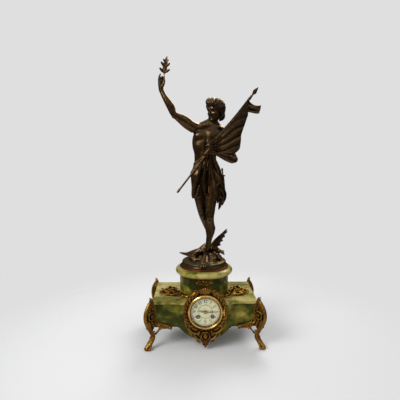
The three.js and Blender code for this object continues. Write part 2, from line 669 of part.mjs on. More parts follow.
// The anchor: two pallets over the escape wheel, on the pendulum's axis
function anchor() {
  const [x, z] = anchorPlace;
  const [, ez] = escapePlace;
  const reach = escapeTip + palletGap;
  const arm = [[x - 1.6, z + 1.6], [x + 1.6, z + 1.6], [reach + 1.2, ez + 3.4], [reach + 0.9, ez + 0.4],
    [reach - 0.2, ez + 1.6],
    [reach - 1.3, ez + 4.4], [x + 1, z - 1.6], [x - 1, z - 1.6], [-reach + 1.3, ez + 4.4],
      [-reach + 0.2, ez + 1.6],
    [-reach - 0.9, ez + 0.4], [-reach - 1.2, ez + 3.4]];
  const crutch = block([-0.8, backPlateY + plateThickness + 0.6, z - 26],
    [0.8, backPlateY + plateThickness + 1.8, z]);
  const fork = block([-0.8, backPlateY + plateThickness + 0.6, z - 27.5], [0.8, pendulumY - 1.2, z - 25]);
  const tail = rod(x, z, 0.7, backPlateY - 1, backPlateY + plateThickness + 1.8, 6);
  return join(arbor(anchorPlace, 0.9), plate(arm, escapeWheelY + 1.6, 2.2), crutch, fork, tail);
}

// Strike side: a wheel whose pins would lift the hammer's tail
function strikeWheel() {
  const pinion = wheel(strikePlace, 6, barrelModule, barrelWheelY + 2.5, pinionThickness,
    { phase: strikePinionPhase });
  const disc = rod(...strikePlace, 8, middleWheelY, middleWheelY + 1.2, 16);
  const pins = circle(...strikePlace, 6.8, 6).map(([x, z]) => rod(x, z, 0.5, middleWheelY + 1,
    middleWheelY + 2.4, 4));
  return join(arbor(strikePlace), pinion, disc, ...pins);
}

function hammer() {
  const [x, z] = hammerPlace;
  const armY = backPlateY + plateThickness + 3;
  const tip = [x + 8.5, z + 9.8];
  const arm = loft([[x, armY, z, 1.4, 1], [tip[0] - 1.5, armY, tip[1] - 1.5, 1.1, 1]], { sides: 6 });
  const head = rod(tip[0], tip[1], 3.2, armY - 1.5, bellMouthY + 4, 10);
  const tail = rod(x, z, 0.7, backPlateY - 1, armY + 1, 6);
  return join(arbor(hammerPlace), arm, head, tail);
}

// Front and back plates, the back one with its four pillars
const pivotPlaces = [middlePlace, centre, thirdPlace, escapePlace, anchorPlace, strikePlace, hammerPlace];
const pillarPlaces = [[30, 22], [14, -34], [-14, -34], [-24, 27]].map(([x, z]) => [x, dialZ + z]);

function frontPlate() {
  const holes = pivotPlaces.map(([x, z], i) => circle(x, z,
    i === 1 ? arborRadius + 0.35 : pivotRadius + 0.35, 6));
  holes.push(...windingPlaces.map(([x, z]) => circle(x, z, windingArborRadius + 0.4, 10)));
  return plate(circle(0, dialZ, movementRadius, roundSides, Math.PI / roundSides), insideFrontY,
    plateThickness, holes);
}

function backPlate() {
  const holes = pivotPlaces.map(([x, z]) => circle(x, z, pivotRadius + 0.35, 6));
  holes.push(...windingPlaces.map(([x, z]) => circle(x, z, pivotRadius * 1.4 + 0.4, 8)));
  const rear = plate(circle(0, dialZ, movementRadius, roundSides, Math.PI / roundSides),
    backPlateY + plateThickness, plateThickness, holes);
  return join(rear, ...pillarPlaces.map(([x, z]) => rod(x, z, 1.8, insideFrontY + clearance,
    backPlateY + 0.5, 8)));
}

// Motion work under the dial: cannon pinion, minute wheel, hour wheel and pipe
const motionModule = 0.7;
const minutePlace = [0, dialZ + spacing(10, 30, motionModule)];
const hourModule = (2 * spacing(10, 30, motionModule)) / 40;
const cannonY = frontPlateY - 0.5;
const hourWheelY = frontPlateY - 2.6;
const pipeRadius = 2.2;
const minuteHandY = dialFrontY - 3.2;
const hourHandY = dialFrontY - 1.4;
const handThickness = 0.8;

function cannonPinion() {
  const teeth = wheel(centre, 10, motionModule, cannonY, 1.6, { boreHole: arborRadius + 0.35 });
  return join(teeth, tube(...centre, arborRadius + 0.35, pipeRadius, cannonY - 1,
    minuteHandY + clearance));
}

function minuteWheel() {
  const phase = meshPhase(centre, 10, 0, minutePlace, 30);
  const teeth = wheel(minutePlace, 30, motionModule, cannonY, 1.4, { phase });
  const pinion = wheel(minutePlace, 8, hourModule, cannonY - 1, 3);
  return join(teeth, pinion);
}

function hourWheel() {
  const phase = meshPhase(minutePlace, 8, 0, centre, 32);
  const boreHole = pipeRadius + 0.35;
  const teeth = wheel(centre, 32, hourModule, hourWheelY, 1.2, { phase, boreHole });
  return join(teeth, tube(...centre, boreHole, hourPipeRadius, hourWheelY - 0.6,
    hourHandY - handThickness - 0.2));
}

const hourPipeRadius = 3.5;

// A hand that points along +Z before it is turned about the dial's centre
function hand(length, width, backY, hubHole, hubRadius, turn) {
  const half = [[hubRadius * 0.5, hubRadius * 0.86], [width * 0.3, length * 0.3],
    [width, length * 0.42], [width * 0.9, length * 0.56],
    [width * 0.25, length * 0.68], [width * 0.5, length * 0.76], [0, length]];
  const rim = circle(0, 0, hubRadius, 12, Math.PI / 2 + 0.5).filter(([x, z]) => z < hubRadius * 0.8);
  const outline = [...half, ...half.slice(0, -1).reverse().map(([x, z]) => [-x, z]), ...rim];
  const c = Math.cos(turn);
  const s = Math.sin(turn);
  const place = ([x, z]) => [x * c + z * s, dialZ + z * c - x * s];
  const holes = [circle(0, 0, hubHole, 10).map(place)];
  return plate(outline.map(place), backY, handThickness, holes);
}

const quarterPast = Math.PI / 2;
const hourTurn = ((9 + 0.25) / 12) * 2 * Math.PI;
const minuteHand = () => hand(sightRadius * 0.84, 1.9, minuteHandY, arborRadius + 0.35, 3.2, quarterPast);
const hourHand = () => hand(sightRadius * 0.56, 2.6, hourHandY, hourPipeRadius + 0.35, 5.6, hourTurn);
const handNut = () => tube(...centre, arborRadius + 0.3, 2.1, minuteHandY - handThickness - 0.9,
  minuteHandY - handThickness, 8);

// Suspension, pendulum, bell and what holds them
function suspensionCock() {
  const [, z] = anchorPlace;
  const back = backPlateY + plateThickness;
  const foot = block([-5, back, z + 3], [5, back + 1.5, z + 5.5]);
  const nose = block([-3, back, z + 3], [3, pendulumY + 2, z + 5]);
  const spring = block([-1.5, pendulumY - 0.2, z + 0.3], [1.5, pendulumY + 0.2, z + 3.5]);
  return join(foot, nose, spring);
}

function pendulum() {
  const [, z] = anchorPlace;
  const bobZ = z - pendulumLength;
  const shaft = turned([[0, bobZ - bobRadius - 2], [0.8, bobZ - bobRadius - 2], [0.8, z], [0, z]], 6, 0,
    pendulumY);
  const bob = turnedAlongY([[0, pendulumY - 3.2], [bobRadius * 0.6, pendulumY - 2.6],
    [bobRadius, pendulumY],
    [bobRadius * 0.6, pendulumY + 2.6], [0, pendulumY + 3.2]], 12, 0, bobZ);
  return join(shaft, bob);
}

const bellMouthY = pendulumY + 8;
const bellCrownY = bellMouthY + 18;
const bellRadius = 31;

function bell() {
  const profile = [[2.4, bellCrownY], [17, bellCrownY - 1], [27, bellCrownY - 7],
    [bellRadius, bellMouthY],
    [bellRadius - 1.6, bellMouthY], [25.4, bellCrownY - 8], [16.4, bellCrownY - 2.8],
      [2.4, bellCrownY - 2], [2.4, bellCrownY]];
  return turnedAlongY(profile, 16);
}

function bellStand() {
  const back = backPlateY + plateThickness;
  const arm = bentRod([[10, back, dialZ - 8], [10, pendulumY + 6, dialZ - 8],
    [6, bellMouthY + 5, dialZ - 5],
    [0, bellMouthY + 10, dialZ], [0, bellCrownY - 2.6, dialZ]], 1.6, 6, 4);
  const collar = rod(0, dialZ, 4, bellCrownY - 4.6, bellCrownY - 2.3, 8);
  const screw = rod(0, dialZ, 1.8, bellCrownY - 3, bellCrownY + 2, 8);
  const head = rod(0, dialZ, 3.6, bellCrownY + 0.3, bellCrownY + 2.2, 8);
  const trimmed = cut(arm, block([-40, back - 10, 0], [40, back, 300]));
  return join(trimmed, collar, screw, head);
}

// Straps that draw the dial ring and the rear ring together inside the case
function strap(way) {
  const outer = boreRadius - 0.8;
  const inner = outer - 1.5;
  const low = Math.min(way * inner, way * outer);
  return block([low, tubeEndY + clearance, dialZ - 4], [low + 1.5, rearTubeY - clearance, dialZ + 4]);
}

function rearRing() {
  const flange = tube(0, dialZ, tubeInner, boreRadius + 7, 72, rearFaceY, roundSides);
  const pipe = tube(0, dialZ, tubeInner, tubeOuter, rearTubeY, 74, roundSides);
  const hole = hingeKnuckle(rearHingeX, rearHingeY, dialZ, knuckleHalf + 5, 0.5);
  const knuckles = [-1, 1].map((way) => hingeKnuckle(rearHingeX, rearHingeY,
    dialZ + way * (knuckleHalf + 2.3), 2, 0));
  const webs = [-1, 1].map((way) => block([rearHingeX - 1.6, rearFaceY - 1,
    dialZ + way * (knuckleHalf + 2.3) - 2],
    [rearHingeX + 1.6, rearHingeY, dialZ + way * (knuckleHalf + 2.3) + 2]));
  const body = cut(flange, onyxCase(clearance), onyxTopSlab(clearance), onyxDrum(clearance));
  return cut(join(cut(join(body, pipe), hole), ...webs, ...knuckles),
    hingePinHole(rearHingeX, rearHingeY));
}

const rearHingeX = boreRadius + 4;
const rearHingeY = rearFaceY + 2.4;

function rearDoor() {
  const face = rearFaceY + clearance;
  const rim = boreRadius + 1;
  const profile = [[0, face], [rim, face], [rim, face + 1.8], [rim - 12, face + 3.4], [0, face + 5.5]];
  const lid = turnedAlongY(profile, roundSides);
  const tongue = block([rim - 1, rearHingeY - 1, dialZ - knuckleHalf],
    [rearHingeX, rearHingeY + 1, dialZ + knuckleHalf]);
  const knuckle = hingeKnuckle(rearHingeX, rearHingeY, dialZ, knuckleHalf, 0);
  const knob = rod(-rim + 6, dialZ, 2, face + 2, face + 7, 8);
  return cut(join(lid, tongue, knuckle, knob), hingePinHole(rearHingeX, rearHingeY));
}

// Gilt mounts on the drum and on the slab
function crestMount() {
  const y = -drumRadius - 1.5;
  const bottom = dialZ + surroundRise * mountScale + 1.5;
  const tall = drumTopZ - 0.5 - bottom;
  const scroll = (way) => bentRod([[2, 0.1], [7, 0.35], [15, 0.5], [18, 0.78], [14, 0.9], [10, 0.75]]
    .map(([x, share]) => [way * x, y + 0.011 * x * x, bottom + share * tall]), 2.2, 6, 4);
  const leaf = loft([[0, y, bottom + 1, 3, 2], [0, y - 1.5, bottom + 0.45 * tall, 5.5, 3],
    [0, y, bottom + 0.93 * tall, 2, 1.6]], { sides: 6 });
  return cut(join(scroll(-1), scroll(1), leaf), onyxDrum(clearance));
}

function spray(way) {
  const wide = slabHalfWidth / drawnSlabHalfWidth;
  const deep = slabHalfDepth / drawnSlabHalfDepth;
  const onSlab = (points) => points.map(([x, y, rise]) => [way * x * wide, y * deep, slabTopZ + rise]);
  const stem = bentRod(onSlab([[46, -58, 4], [60, -60, 5], [76, -48, 5], [92, -46, 4], [106, -34, 5],
    [120, -30, 4], [128, -18, 3]]), 3, 7, 4);
  const curl = bentRod(onSlab([[74, -50, 5], [86, -60, 6], [97, -58, 5], [98, -50, 4], [91, -50, 3]]),
    2.6, 5, 4);
  const second = bentRod(onSlab([[92, -46, 4], [88, -34, 6], [96, -26, 6], [105, -30, 5],
    [102, -36, 3]]), 2.4, 5, 4);
  const leaves = [[62, -51, 0.9], [90, -33, 1.2], [118, -38, -0.5]]
    .map(([x, y, turn]) => egg([way * x * wide, y * deep, slabTopZ + 2], [13, 4.5, 5], 6, way * turn));
  const whole = join(stem, curl, second, ...leaves);
  return cut(whole, block([-200, -200, 0], [200, 200, slabTopZ]), onyxDrum(clearance));
}

// Statue. Places are for the drawn figure standing on the plinth, in the object's own frame with
// z counted from the plinth's top.
const f = (x, y, z) => [x * figureScale, y * figureScale, plinthTopZ + z * figureScale];
const section = ([x, y, z, wide, deep]) => [...f(x, y, z), wide * figureScale, deep * figureScale];
const limb = (rows, options) => loft(rows.map(section), options);
const lump = (centre3, halves, turn = 0, tip = 0, segments = 12) =>
  egg(f(...centre3), halves.map((half) => half * figureScale), segments, turn, tip);

function torso() {
  return limb([[6, 3, 226, 24, 20], [5, 3, 243, 39, 29], [5, 3, 264, 36, 26], [5, 4, 288, 31, 22],
    [4, 2, 310, 35, 26],
    [5, 1, 336, 40, 30], [9, 2, 360, 43, 27], [14, 4, 377, 32, 20], [19, 4, 388, 17, 15],
      [24, 2, 400, 13, 13.5],
    [28, 0, 416, 12, 13]], { sides: 12, forward: [-0.3, -1, 0] });
}

function head() {
  const turn = -0.62;
  const skull = lump([31, 1, 430], [20, 25, 29], turn, 0, 10);
  const jaw = lump([26, -6, 415], [14.5, 17, 15], turn, 0, 8);
  const nose = limb([[18, -21, 434, 2, 2.5], [14, -27, 425, 3.6, 4], [17, -23, 421, 3, 3]], { sides: 6 });
  const hair = [lump([34, 4, 441], [23.5, 27, 21], turn, 0, 10),
    lump([43, 10, 424], [12, 15, 16], turn, 0, 6),
    lump([20, -14, 452], [13, 10, 7], turn, 0, 6)];
  return join(skull, jaw, nose, ...hair);
}

function foot(rows) {
  return limb(rows, { sides: 6, forward: [0, 0, 1] });
}

function legs() {
  const front = limb([[22, 1, 244, 24, 25], [20, -8, 198, 21, 22], [16, -14, 162, 15.5, 17],
    [13, -15, 134, 12.5, 13.5],
    [12, -11, 116, 11.5, 12], [12, -3, 94, 12.5, 14], [10, -1, 66, 9.5, 10.5], [6, -2, 30, 6.8, 8],
      [5, -1, 12, 8, 10]], { sides: 8 });
  const back = limb([[-13, 5, 243, 23, 25], [-13, 4, 200, 20, 22], [-8, 6, 165, 15.5, 17],
    [-1, 11, 134, 12.5, 13.5],
    [3, 17, 116, 11.5, 12], [8, 27, 95, 12, 14], [12, 35, 72, 9, 10], [12, 42, 45, 6.8, 8],
      [11, 42, 33, 7.5, 9]], { sides: 8 });
  const frontFoot = foot([[6, 9, 9, 8, 8.5], [4, -14, 10, 10, 10], [1, -36, 7, 12.5, 7],
    [-2, -54, 4.5, 12, 4.5], [-3, -62, 3.5, 7, 3]]);
  const backFoot = foot([[13, 50, 29, 7, 8], [6, 34, 31, 9.5, 10], [-4, 16, 27, 12, 7],
    [-13, 3, 24, 11, 4.5], [-17, -3, 23, 6, 3]]);
  return join(front, back, frontFoot, backFoot);
}

// The cloth about the hips, higher on the figure's left side than on the right
function loincloth() {
  const wrap = limb([[-4, 4, 192, 33, 31], [0, 3, 216, 40, 33], [5, 3, 244, 43, 33],
    [5, 3, 268, 39.5, 30]], { sides: 10 });
  const slope = new THREE.BoxGeometry(260, 200, 120).translate(0, 0, -60).rotateY(-0.62);
  const below = solidOf(slope.scale(figureScale, figureScale, figureScale).translate(...f(6, 0, 218)));
  const fold = limb([[-28, -22, 196, 7, 9], [-22, -29, 222, 8, 7], [-6, -34, 250, 8, 6],
    [8, -38, 284, 6, 6], [10, -40, 298, 5, 5]], { sides: 6 });
  const hanging = limb([[46, 4, 158, 7, 6], [58, 6, 172, 8, 7], [56, 6, 196, 7, 6], [46, 4, 222, 9, 8],
    [38, 2, 250, 9, 9]], { sides: 6 });
  return join(cut(wrap, below), fold, hanging);
}

function ground() {
  const mound = lump([4, 16, 0], [50, 38, 24], 0.1, 0, 10);
  const front = lump([0, -20, -4], [40, 34, 7], 0, 0, 8);
  const step = lump([-6, 14, 6], [26, 24, 18], 0.5, 0, 8);
  const below = block([-150, -150, plinthTopZ - 60], [150, 150, plinthTopZ]);
  return cut(join(mound, front, step), below);
}

const shoulderCut = [-30, 376];
const armSpaceRight = (gap) => solidOf(new THREE.BoxGeometry(160, 160, 200).translate(-80 - gap, 0,
  0).rotateY(0.35)
  .scale(figureScale, figureScale, figureScale).translate(...f(shoulderCut[0], 0, shoulderCut[1])));

function armRight() {
  const arm = limb([[-16, 3, 372, 15, 15], [-30, -5, 380, 14, 14], [-48, -15, 390, 12, 12],
    [-67, -23, 401, 11, 11], [-83, -28, 411, 9.5, 9.5],
    [-92, -29, 427, 10, 10], [-103, -29, 447, 9, 9], [-113, -28, 466, 6.8, 7],
      [-118, -27, 478, 5.4, 6.2]], { sides: 8 });
  const palm = limb([[-118, -27, 474, 5, 6], [-120, -27, 486, 5, 9], [-121, -27, 497, 4.5, 9.5]],
    { sides: 6 });
  const index = limb([[-119, -31, 494, 2.8, 2.8], [-119, -32, 508, 2.5, 2.5], [-121, -30, 522, 2, 2]],
    { sides: 5 });
  const thumb = limb([[-117, -30, 484, 3, 3], [-110, -33, 494, 2.8, 2.8], [-107, -32, 505, 2.2, 2.2]],
    { sides: 5 });
  const curled = limb([[-122, -22, 497, 4, 7.5], [-118, -22, 505, 3.6, 7], [-112, -23, 503, 3, 6.5],
    [-112, -24, 496, 2.6, 5]], { sides: 5 });
  return join(arm, palm, index, thumb, curled);
}

const elbowSection = [[48, 7, 366, 15, 15], [60, 6, 345, 13.5, 13.5], [74, 3, 318, 11.5, 12],
  [87, -4, 289, 9.5, 10], [80, -12, 286, 10, 10],
  [60, -25, 293, 9.5, 10], [40, -35, 302, 7.5, 8], [27, -40, 307, 6, 7]];

function armLeft(grow = 0) {
  const arm = limb(elbowSection, { sides: 8, grow });
  const fist = limb([[28, -40, 306, 7, 7], [16, -43, 309, 10, 9], [4, -44, 311, 9, 8.5]],
    { sides: 8, grow });
  return join(arm, fist);
}

const armSpaceLeft = (gap) => solidOf(new THREE.BoxGeometry(120, 160, 120).translate(60 + gap, 0,
  -60).rotateY(0.5)
  .scale(figureScale, figureScale, figureScale).translate(...f(50, 0, 372)));

// Standard: a straight staff with a spear head, and the cloth that falls from it
const staffFoot = [-72, -62, 203];
const staffHead = [131, -12.5, 464];
const spearTip = [150, -8, 489];
const onStaff = (t) => staffFoot.map((value, k) => value + (staffHead[k] - value) * t);

function flagStaff(grow = 0) {
  const r = staffRadius / figureScale;
  const knob = [[...onStaff(-0.01), r * 0.9, r * 0.9], [...onStaff(0.012), r * 1.7, r * 1.7],
    [...onStaff(0.035), r, r]];
  const shaft = [[...onStaff(0.5), r, r], [...onStaff(0.97), r * 0.85, r * 0.85],
    [...onStaff(0.985), r * 1.7, r * 1.7]];
  const spear = [[...staffHead, r * 0.9, r * 0.9], [136, -11, 470, r * 2.4, r * 0.8],
    [...spearTip, 0.5, 0.5]];
  return limb([...knob, ...shaft, ...spear], { sides: 8, grow });
}

const flagEdge = new THREE.CatmullRomCurve3([[94, -15, 301], [98, -17, 331], [103, -17, 365],
  [120, -12, 420], [153, -6, 436]]
  .map((p) => new THREE.Vector3(...p)));

function flagPoint(u, v, offset) {
  const hem = new THREE.Vector3(...onStaff(0.445 + 0.535 * u));
  const edge = flagEdge.getPoint(u);
  const point = hem.lerp(edge, v);
  const folds = 5 * Math.sin(v * 9.5 + 1.5 * u) * Math.sin(Math.PI * Math.min(1,
    v * 1.15)) * (1 - 0.4 * u);
  const belly = -9 * Math.sin(Math.PI * v) * Math.sin(Math.PI * Math.min(1, 0.25 + u));
  return f(point.x, point.y + folds + belly + offset, point.z - 3 * Math.sin(v * 7) * (1 - u));
}

// The cloth as a thick sheet: front and back grids closed along their rims
function flagCloth() {
  const rows = 7;
  const columns = 10;
  const positions = [];
  for (const offset of [-1.7, 1.7]) {
    for (let i = 0; i <= rows; i += 1) {
      for (let k = 0; k <= columns; k += 1) positions.push(...flagPoint(i / rows, k / columns, offset));
    }
  }
  const layer = (rows + 1) * (columns + 1);
  const at = (i, k, side) => side * layer + i * (columns + 1) + k;
  const index = [];
  const quad = (a, b, c, d) => index.push(a, b, c, a, c, d);
  for (let i = 0; i < rows; i += 1) {
    for (let k = 0; k < columns; k += 1) {
      quad(at(i, k, 0), at(i, k + 1, 0), at(i + 1, k + 1, 0), at(i + 1, k, 0));
      quad(at(i, k, 1), at(i + 1, k, 1), at(i + 1, k + 1, 1), at(i, k + 1, 1));
    }
  }
  for (let k = 0; k < columns; k += 1) {
    quad(at(0, k, 0), at(0, k, 1), at(0, k + 1, 1), at(0, k + 1, 0));
    quad(at(rows, k, 0), at(rows, k + 1, 0), at(rows, k + 1, 1), at(rows, k, 1));
  }
  for (let i = 0; i < rows; i += 1) {
    quad(at(i, 0, 0), at(i + 1, 0, 0), at(i + 1, 0, 1), at(i, 0, 1));
    quad(at(i, columns, 0), at(i, columns, 1), at(i + 1, columns, 1), at(i + 1, columns, 0));
  }
  const geometry = new THREE.BufferGeometry();
  geometry.setAttribute('position', new THREE.Float32BufferAttribute(positions, 3));
  geometry.setIndex(index);
  const sleeve = limb([[...onStaff(0.455), 4.6, 4.6], [...onStaff(0.95), 4.2, 4.2]], { sides: 8 });
  const cloth = cut(join(solidOf(geometry), sleeve), flagStaff(clearance), armLeft(clearance));
  return largestPiece(cloth);
}

// The largest of the separate pieces that a cut leaves
function largestPiece(solid) {
  const pieces = solid.decompose();
  return pieces.reduce((best, piece) => (piece.volume() > best.volume() ? piece : best));
}

// A lobed leaf on its stem, held between thumb and forefinger
const sprigBase = [-109, -32, 498];

function leafSprig(grow = 0) {
  const [x, y, z] = sprigBase;
  const stem = limb([[x, y, z - 6, 1.3, 1.3], [x + 1, y, z + 8, 1.3, 1.3],
    [x + 1, y, z + 22, 1.2, 1.2]], { sides: 6, grow });
  if (grow > 0) return stem;
  const lobes = 12;
  const half = [];
  for (let i = 0; i <= lobes; i += 1) {
    const t = i / lobes;
    const width = 11 * Math.sin(Math.PI * Math.min(1, 0.06 + t * 0.94)) ** 0.8 * (0.72 + 0.34 * (i % 2));
    half.push([width, (t * leafLength) / figureScale]);
  }
  const outline = [...half, ...half.slice(0, -1).reverse().map(([w, t]) => [-w, t])];
  const [px, py, pz] = f(x, y, z + 18);
  const lean = 0.14;
  const points = outline.map(([w, t]) => [px + (w * Math.cos(lean) + t * Math.sin(lean)) * figureScale,
    pz + (t * Math.cos(lean) - w * Math.sin(lean)) * figureScale]);
  return join(plate(points, py + 1.1, 2.2), stem);
}

function dagger(grow = 0) {
  return limb([[51, -2, 264, 1.4, 1.4], [52, -2, 258, 3, 3], [53, -2, 252, 1.6, 1.6],
    [54, -2, 246, 5.5, 2.2], [54, -2, 242, 3.2, 2.6],
    [57, -2, 216, 2.8, 2.2], [59, -2, 198, 1.2, 1.2]], { sides: 6, grow });
}

// The fallen bird at the figure's feet, one wing up behind the legs and one spread on the ground
function eagle(grow = 0) {
  const options = { sides: 6, grow };
  const body = limb([[56, 14, 18, 5, 4], [40, 22, 22, 11, 8], [22, 26, 26, 15, 12], [4, 22, 26, 12, 10],
    [-12, 4, 22, 6, 6]], options);
  const headPiece = limb([[-10, 6, 23, 6, 6], [-22, -8, 22, 7.5, 7], [-30, -18, 17, 4, 4],
    [-33, -21, 12, 1.5, 2]], options);
  const wingUp = limb([[24, 26, 30, 9, 5], [44, 28, 44, 15, 5], [60, 26, 64, 13, 4], [70, 22, 82, 6, 3],
    [73, 20, 87, 2, 2]], options);
  const wingDown = limb([[4, 16, 24, 8, 6], [-22, 14, 22, 11, 5], [-46, 8, 16, 13, 4],
    [-64, 5, 14, 8, 3], [-71, 4, 17, 2, 2]],
    { ...options, forward: [0, -0.5, 1] });
  const bird = join(body, headPiece, wingUp, wingDown);
  return cut(bird, block([-150, -150, plinthTopZ - 60],
    [150, 150, plinthTopZ + (grow > 0 ? 0 : clearance)]));
}

const wholeFigure = () => join(torso(), head(), legs(), loincloth(), armRight(), armLeft());

function figureBody() {
  const statue = cut(wholeFigure(), armSpaceRight(0), armSpaceLeft(0));
  const base = ground();
  const body = join(statue, base);
  return largestPiece(cut(body, flagStaff(clearance), dagger(clearance), eagle(clearance),
    block([-150, -150, 0], [150, 150, plinthTopZ])));
}

function figureArmRight() {
  return largestPiece(cut(armRight().intersect(armSpaceRight(clearance)), leafSprig(clearance)));
}

function figureArmLeft() {
  return largestPiece(cut(armLeft().intersect(armSpaceLeft(clearance)), flagStaff(clearance)));
}

// The assembly
const clock = new THREE.Group();

function addPart(name, solid, material) {
  const mesh = new THREE.Mesh(geometryOf(solid), material);
  mesh.name = name;
  clock.add(mesh);
}

addPart('onyx_case', onyxCase(), onyx());
addPart('onyx_top_slab', onyxTopSlab(), paleOnyx());
addPart('onyx_drum', onyxDrum(), onyx());
addPart('onyx_collar', onyxCollar(), paleOnyx());
addPart('plinth_ring', plinthRing(), redBronze());
addPart('figure_plinth', figurePlinth(), bronze());
addPart('tie_rod', tieRod(), steel());
addPart('tie_nut', tieNut(), steel());

const leg = legFrontRight();
addPart('leg_front_right', leg, gilt());
addPart('leg_front_left', mirrored(leg, -1, 1), gilt());
addPart('leg_rear_right', mirrored(leg, 1, -1), gilt());
addPart('leg_rear_left', mirrored(leg, -1, -1), gilt());

addPart('dial_surround', dialSurround(), gilt());
addPart('crest_mount', crestMount(), gilt());
addPart('spray_left', spray(-1), gilt());
addPart('spray_right', spray(1), gilt());
addPart('bezel_door', bezelDoor(), gilt());
addPart('bezel_glass', bezelGlass(), glazing());
addPart('bezel_pin', hingePin(bezelHingeX, bezelHingeY), brass());
addPart('dial_enamel', dialEnamel(), enamel());
addPart('dial_plate', dialPlate(), brass());
addPart('hour_hand', hourHand(), gilt());
addPart('minute_hand', minuteHand(), gilt());
addPart('hand_nut', handNut(), brass());

addPart('front_plate', frontPlate(), brass());
addPart('back_plate', backPlate(), brass());
addPart('going_barrel', barrel(goingBarrelPlace), brass());
addPart('strike_barrel', barrel(strikeBarrelPlace), brass());
addPart('winding_arbor_going', windingArbor(goingBarrelPlace), steel());
addPart('winding_arbor_strike', windingArbor(strikeBarrelPlace), steel());
addPart('intermediate_wheel', middleWheel(), brass());
addPart('centre_wheel', centreWheel(), brass());
addPart('third_wheel', thirdWheel(), brass());
addPart('escape_wheel', escapeWheel(), brass());
addPart('anchor', anchor(), steel());
addPart('cannon_pinion', cannonPinion(), brass());
addPart('minute_wheel', minuteWheel(), brass());
addPart('hour_wheel', hourWheel(), brass());
addPart('strike_wheel', strikeWheel(), brass());
addPart('hammer', hammer(), steel());
addPart('suspension_cock', suspensionCock(), brass());
addPart('pendulum', pendulum(), brass());
addPart('bell', bell(), brass());
addPart('bell_stand', bellStand(), steel());
addPart('strap_left', strap(-1), steel());
addPart('strap_right', strap(1), steel());
addPart('rear_ring', rearRing(), brass());
addPart('rear_door', rearDoor(), brass());
addPart('rear_pin', hingePin(rearHingeX, rearHingeY), brass());

addPart('figure_body', figureBody(), bronze());
addPart('figure_arm_right', figureArmRight(), bronze());
addPart('figure_arm_left', figureArmLeft(), bronze());
addPart('flag_cloth', flagCloth(), bronze());
addPart('flag_staff', flagStaff(), bronze());
addPart('leaf_sprig', leafSprig(), bronze());
addPart('dagger', dagger(), bronze());
addPart('eagle', eagle(), bronze());

export default clock;
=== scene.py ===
"""Figural mantel clock: an onyx case on scroll legs with a round enamel dial, and a bronze
standard bearer above it. Metres, +Z up, dial towards -Y. Sizes in the pieces below are written
in millimetres and turned to metres when a mesh is made."""

import math

import bmesh
import bpy
import numpy as np
from bpy.props import FloatProperty, FloatVectorProperty, IntProperty, PointerProperty
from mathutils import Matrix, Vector


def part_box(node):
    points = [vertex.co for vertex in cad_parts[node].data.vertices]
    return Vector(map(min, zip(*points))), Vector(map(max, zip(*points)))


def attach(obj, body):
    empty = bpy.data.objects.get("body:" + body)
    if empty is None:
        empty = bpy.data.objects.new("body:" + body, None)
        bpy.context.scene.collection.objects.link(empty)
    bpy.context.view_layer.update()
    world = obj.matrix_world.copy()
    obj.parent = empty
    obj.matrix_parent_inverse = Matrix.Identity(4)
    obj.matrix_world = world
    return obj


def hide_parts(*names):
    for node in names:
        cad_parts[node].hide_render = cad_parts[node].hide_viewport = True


bl_info = {
    "name": "Figural Mantel Clock",
    "version": (1, 0, 0),
    "blender": (4, 5, 0),
    "location": "View3D > Sidebar > Clock",
    "description": "Builds the onyx case, gilt mounts, dial and bronze statue of a mantel clock",
    "category": "Add Mesh",
}

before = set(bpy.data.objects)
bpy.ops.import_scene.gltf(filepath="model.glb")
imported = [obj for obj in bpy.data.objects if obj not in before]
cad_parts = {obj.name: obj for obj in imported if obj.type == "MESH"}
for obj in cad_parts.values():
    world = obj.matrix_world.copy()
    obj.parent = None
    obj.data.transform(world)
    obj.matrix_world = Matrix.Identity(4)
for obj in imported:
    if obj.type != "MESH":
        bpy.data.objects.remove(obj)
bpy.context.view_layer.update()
MM = 0.001
FAR = 40.0
WINDING_SIDE, WINDING_DROP = 19.5, 14
NUMERAL_FOOT, MINUTE_RING, SWAG_RING = 24.6, 36.2, 20.6
KNUCKLE_STEP = 6.3
TUBE_INNER, TUBE_OUTER = 42.5, 44.7


def centre_of(node):
    """Middle of a CAD node at rest, in millimetres."""
    low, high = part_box(node)
    return [(a + b) / 2 / MM for a, b in zip(low, high)]


def span_of(node, axis):
    """Lowest and highest value of a CAD node along an axis, in millimetres."""
    low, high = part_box(node)
    return low[axis] / MM, high[axis] / MM


SLAB_LOW, SLAB_HIGH = span_of("onyx_top_slab", 2)
SLAB_X = span_of("onyx_top_slab", 0)[1]
SLAB_Y = span_of("onyx_top_slab", 1)[1]
DRUM_RADIUS = span_of("onyx_drum", 0)[1]
DRUM_TOP = span_of("onyx_drum", 2)[1]
COLLAR_RADIUS = span_of("onyx_collar", 0)[1]
COLLAR_TOP = span_of("onyx_collar", 2)[1]
RING_TOP = span_of("plinth_ring", 2)[1]
PLINTH_RADIUS = span_of("figure_plinth", 0)[1]
PLINTH_TOP = span_of("figure_plinth", 2)[1]
DIAL_Z = centre_of("dial_plate")[2]
DIAL_FRONT = span_of("dial_enamel", 1)[0]
BEZEL_RADIUS = -span_of("bezel_door", 0)[0]
SURROUND_FRONT = -99.0
CASE_BOTTOM = 56.0


# Meshes


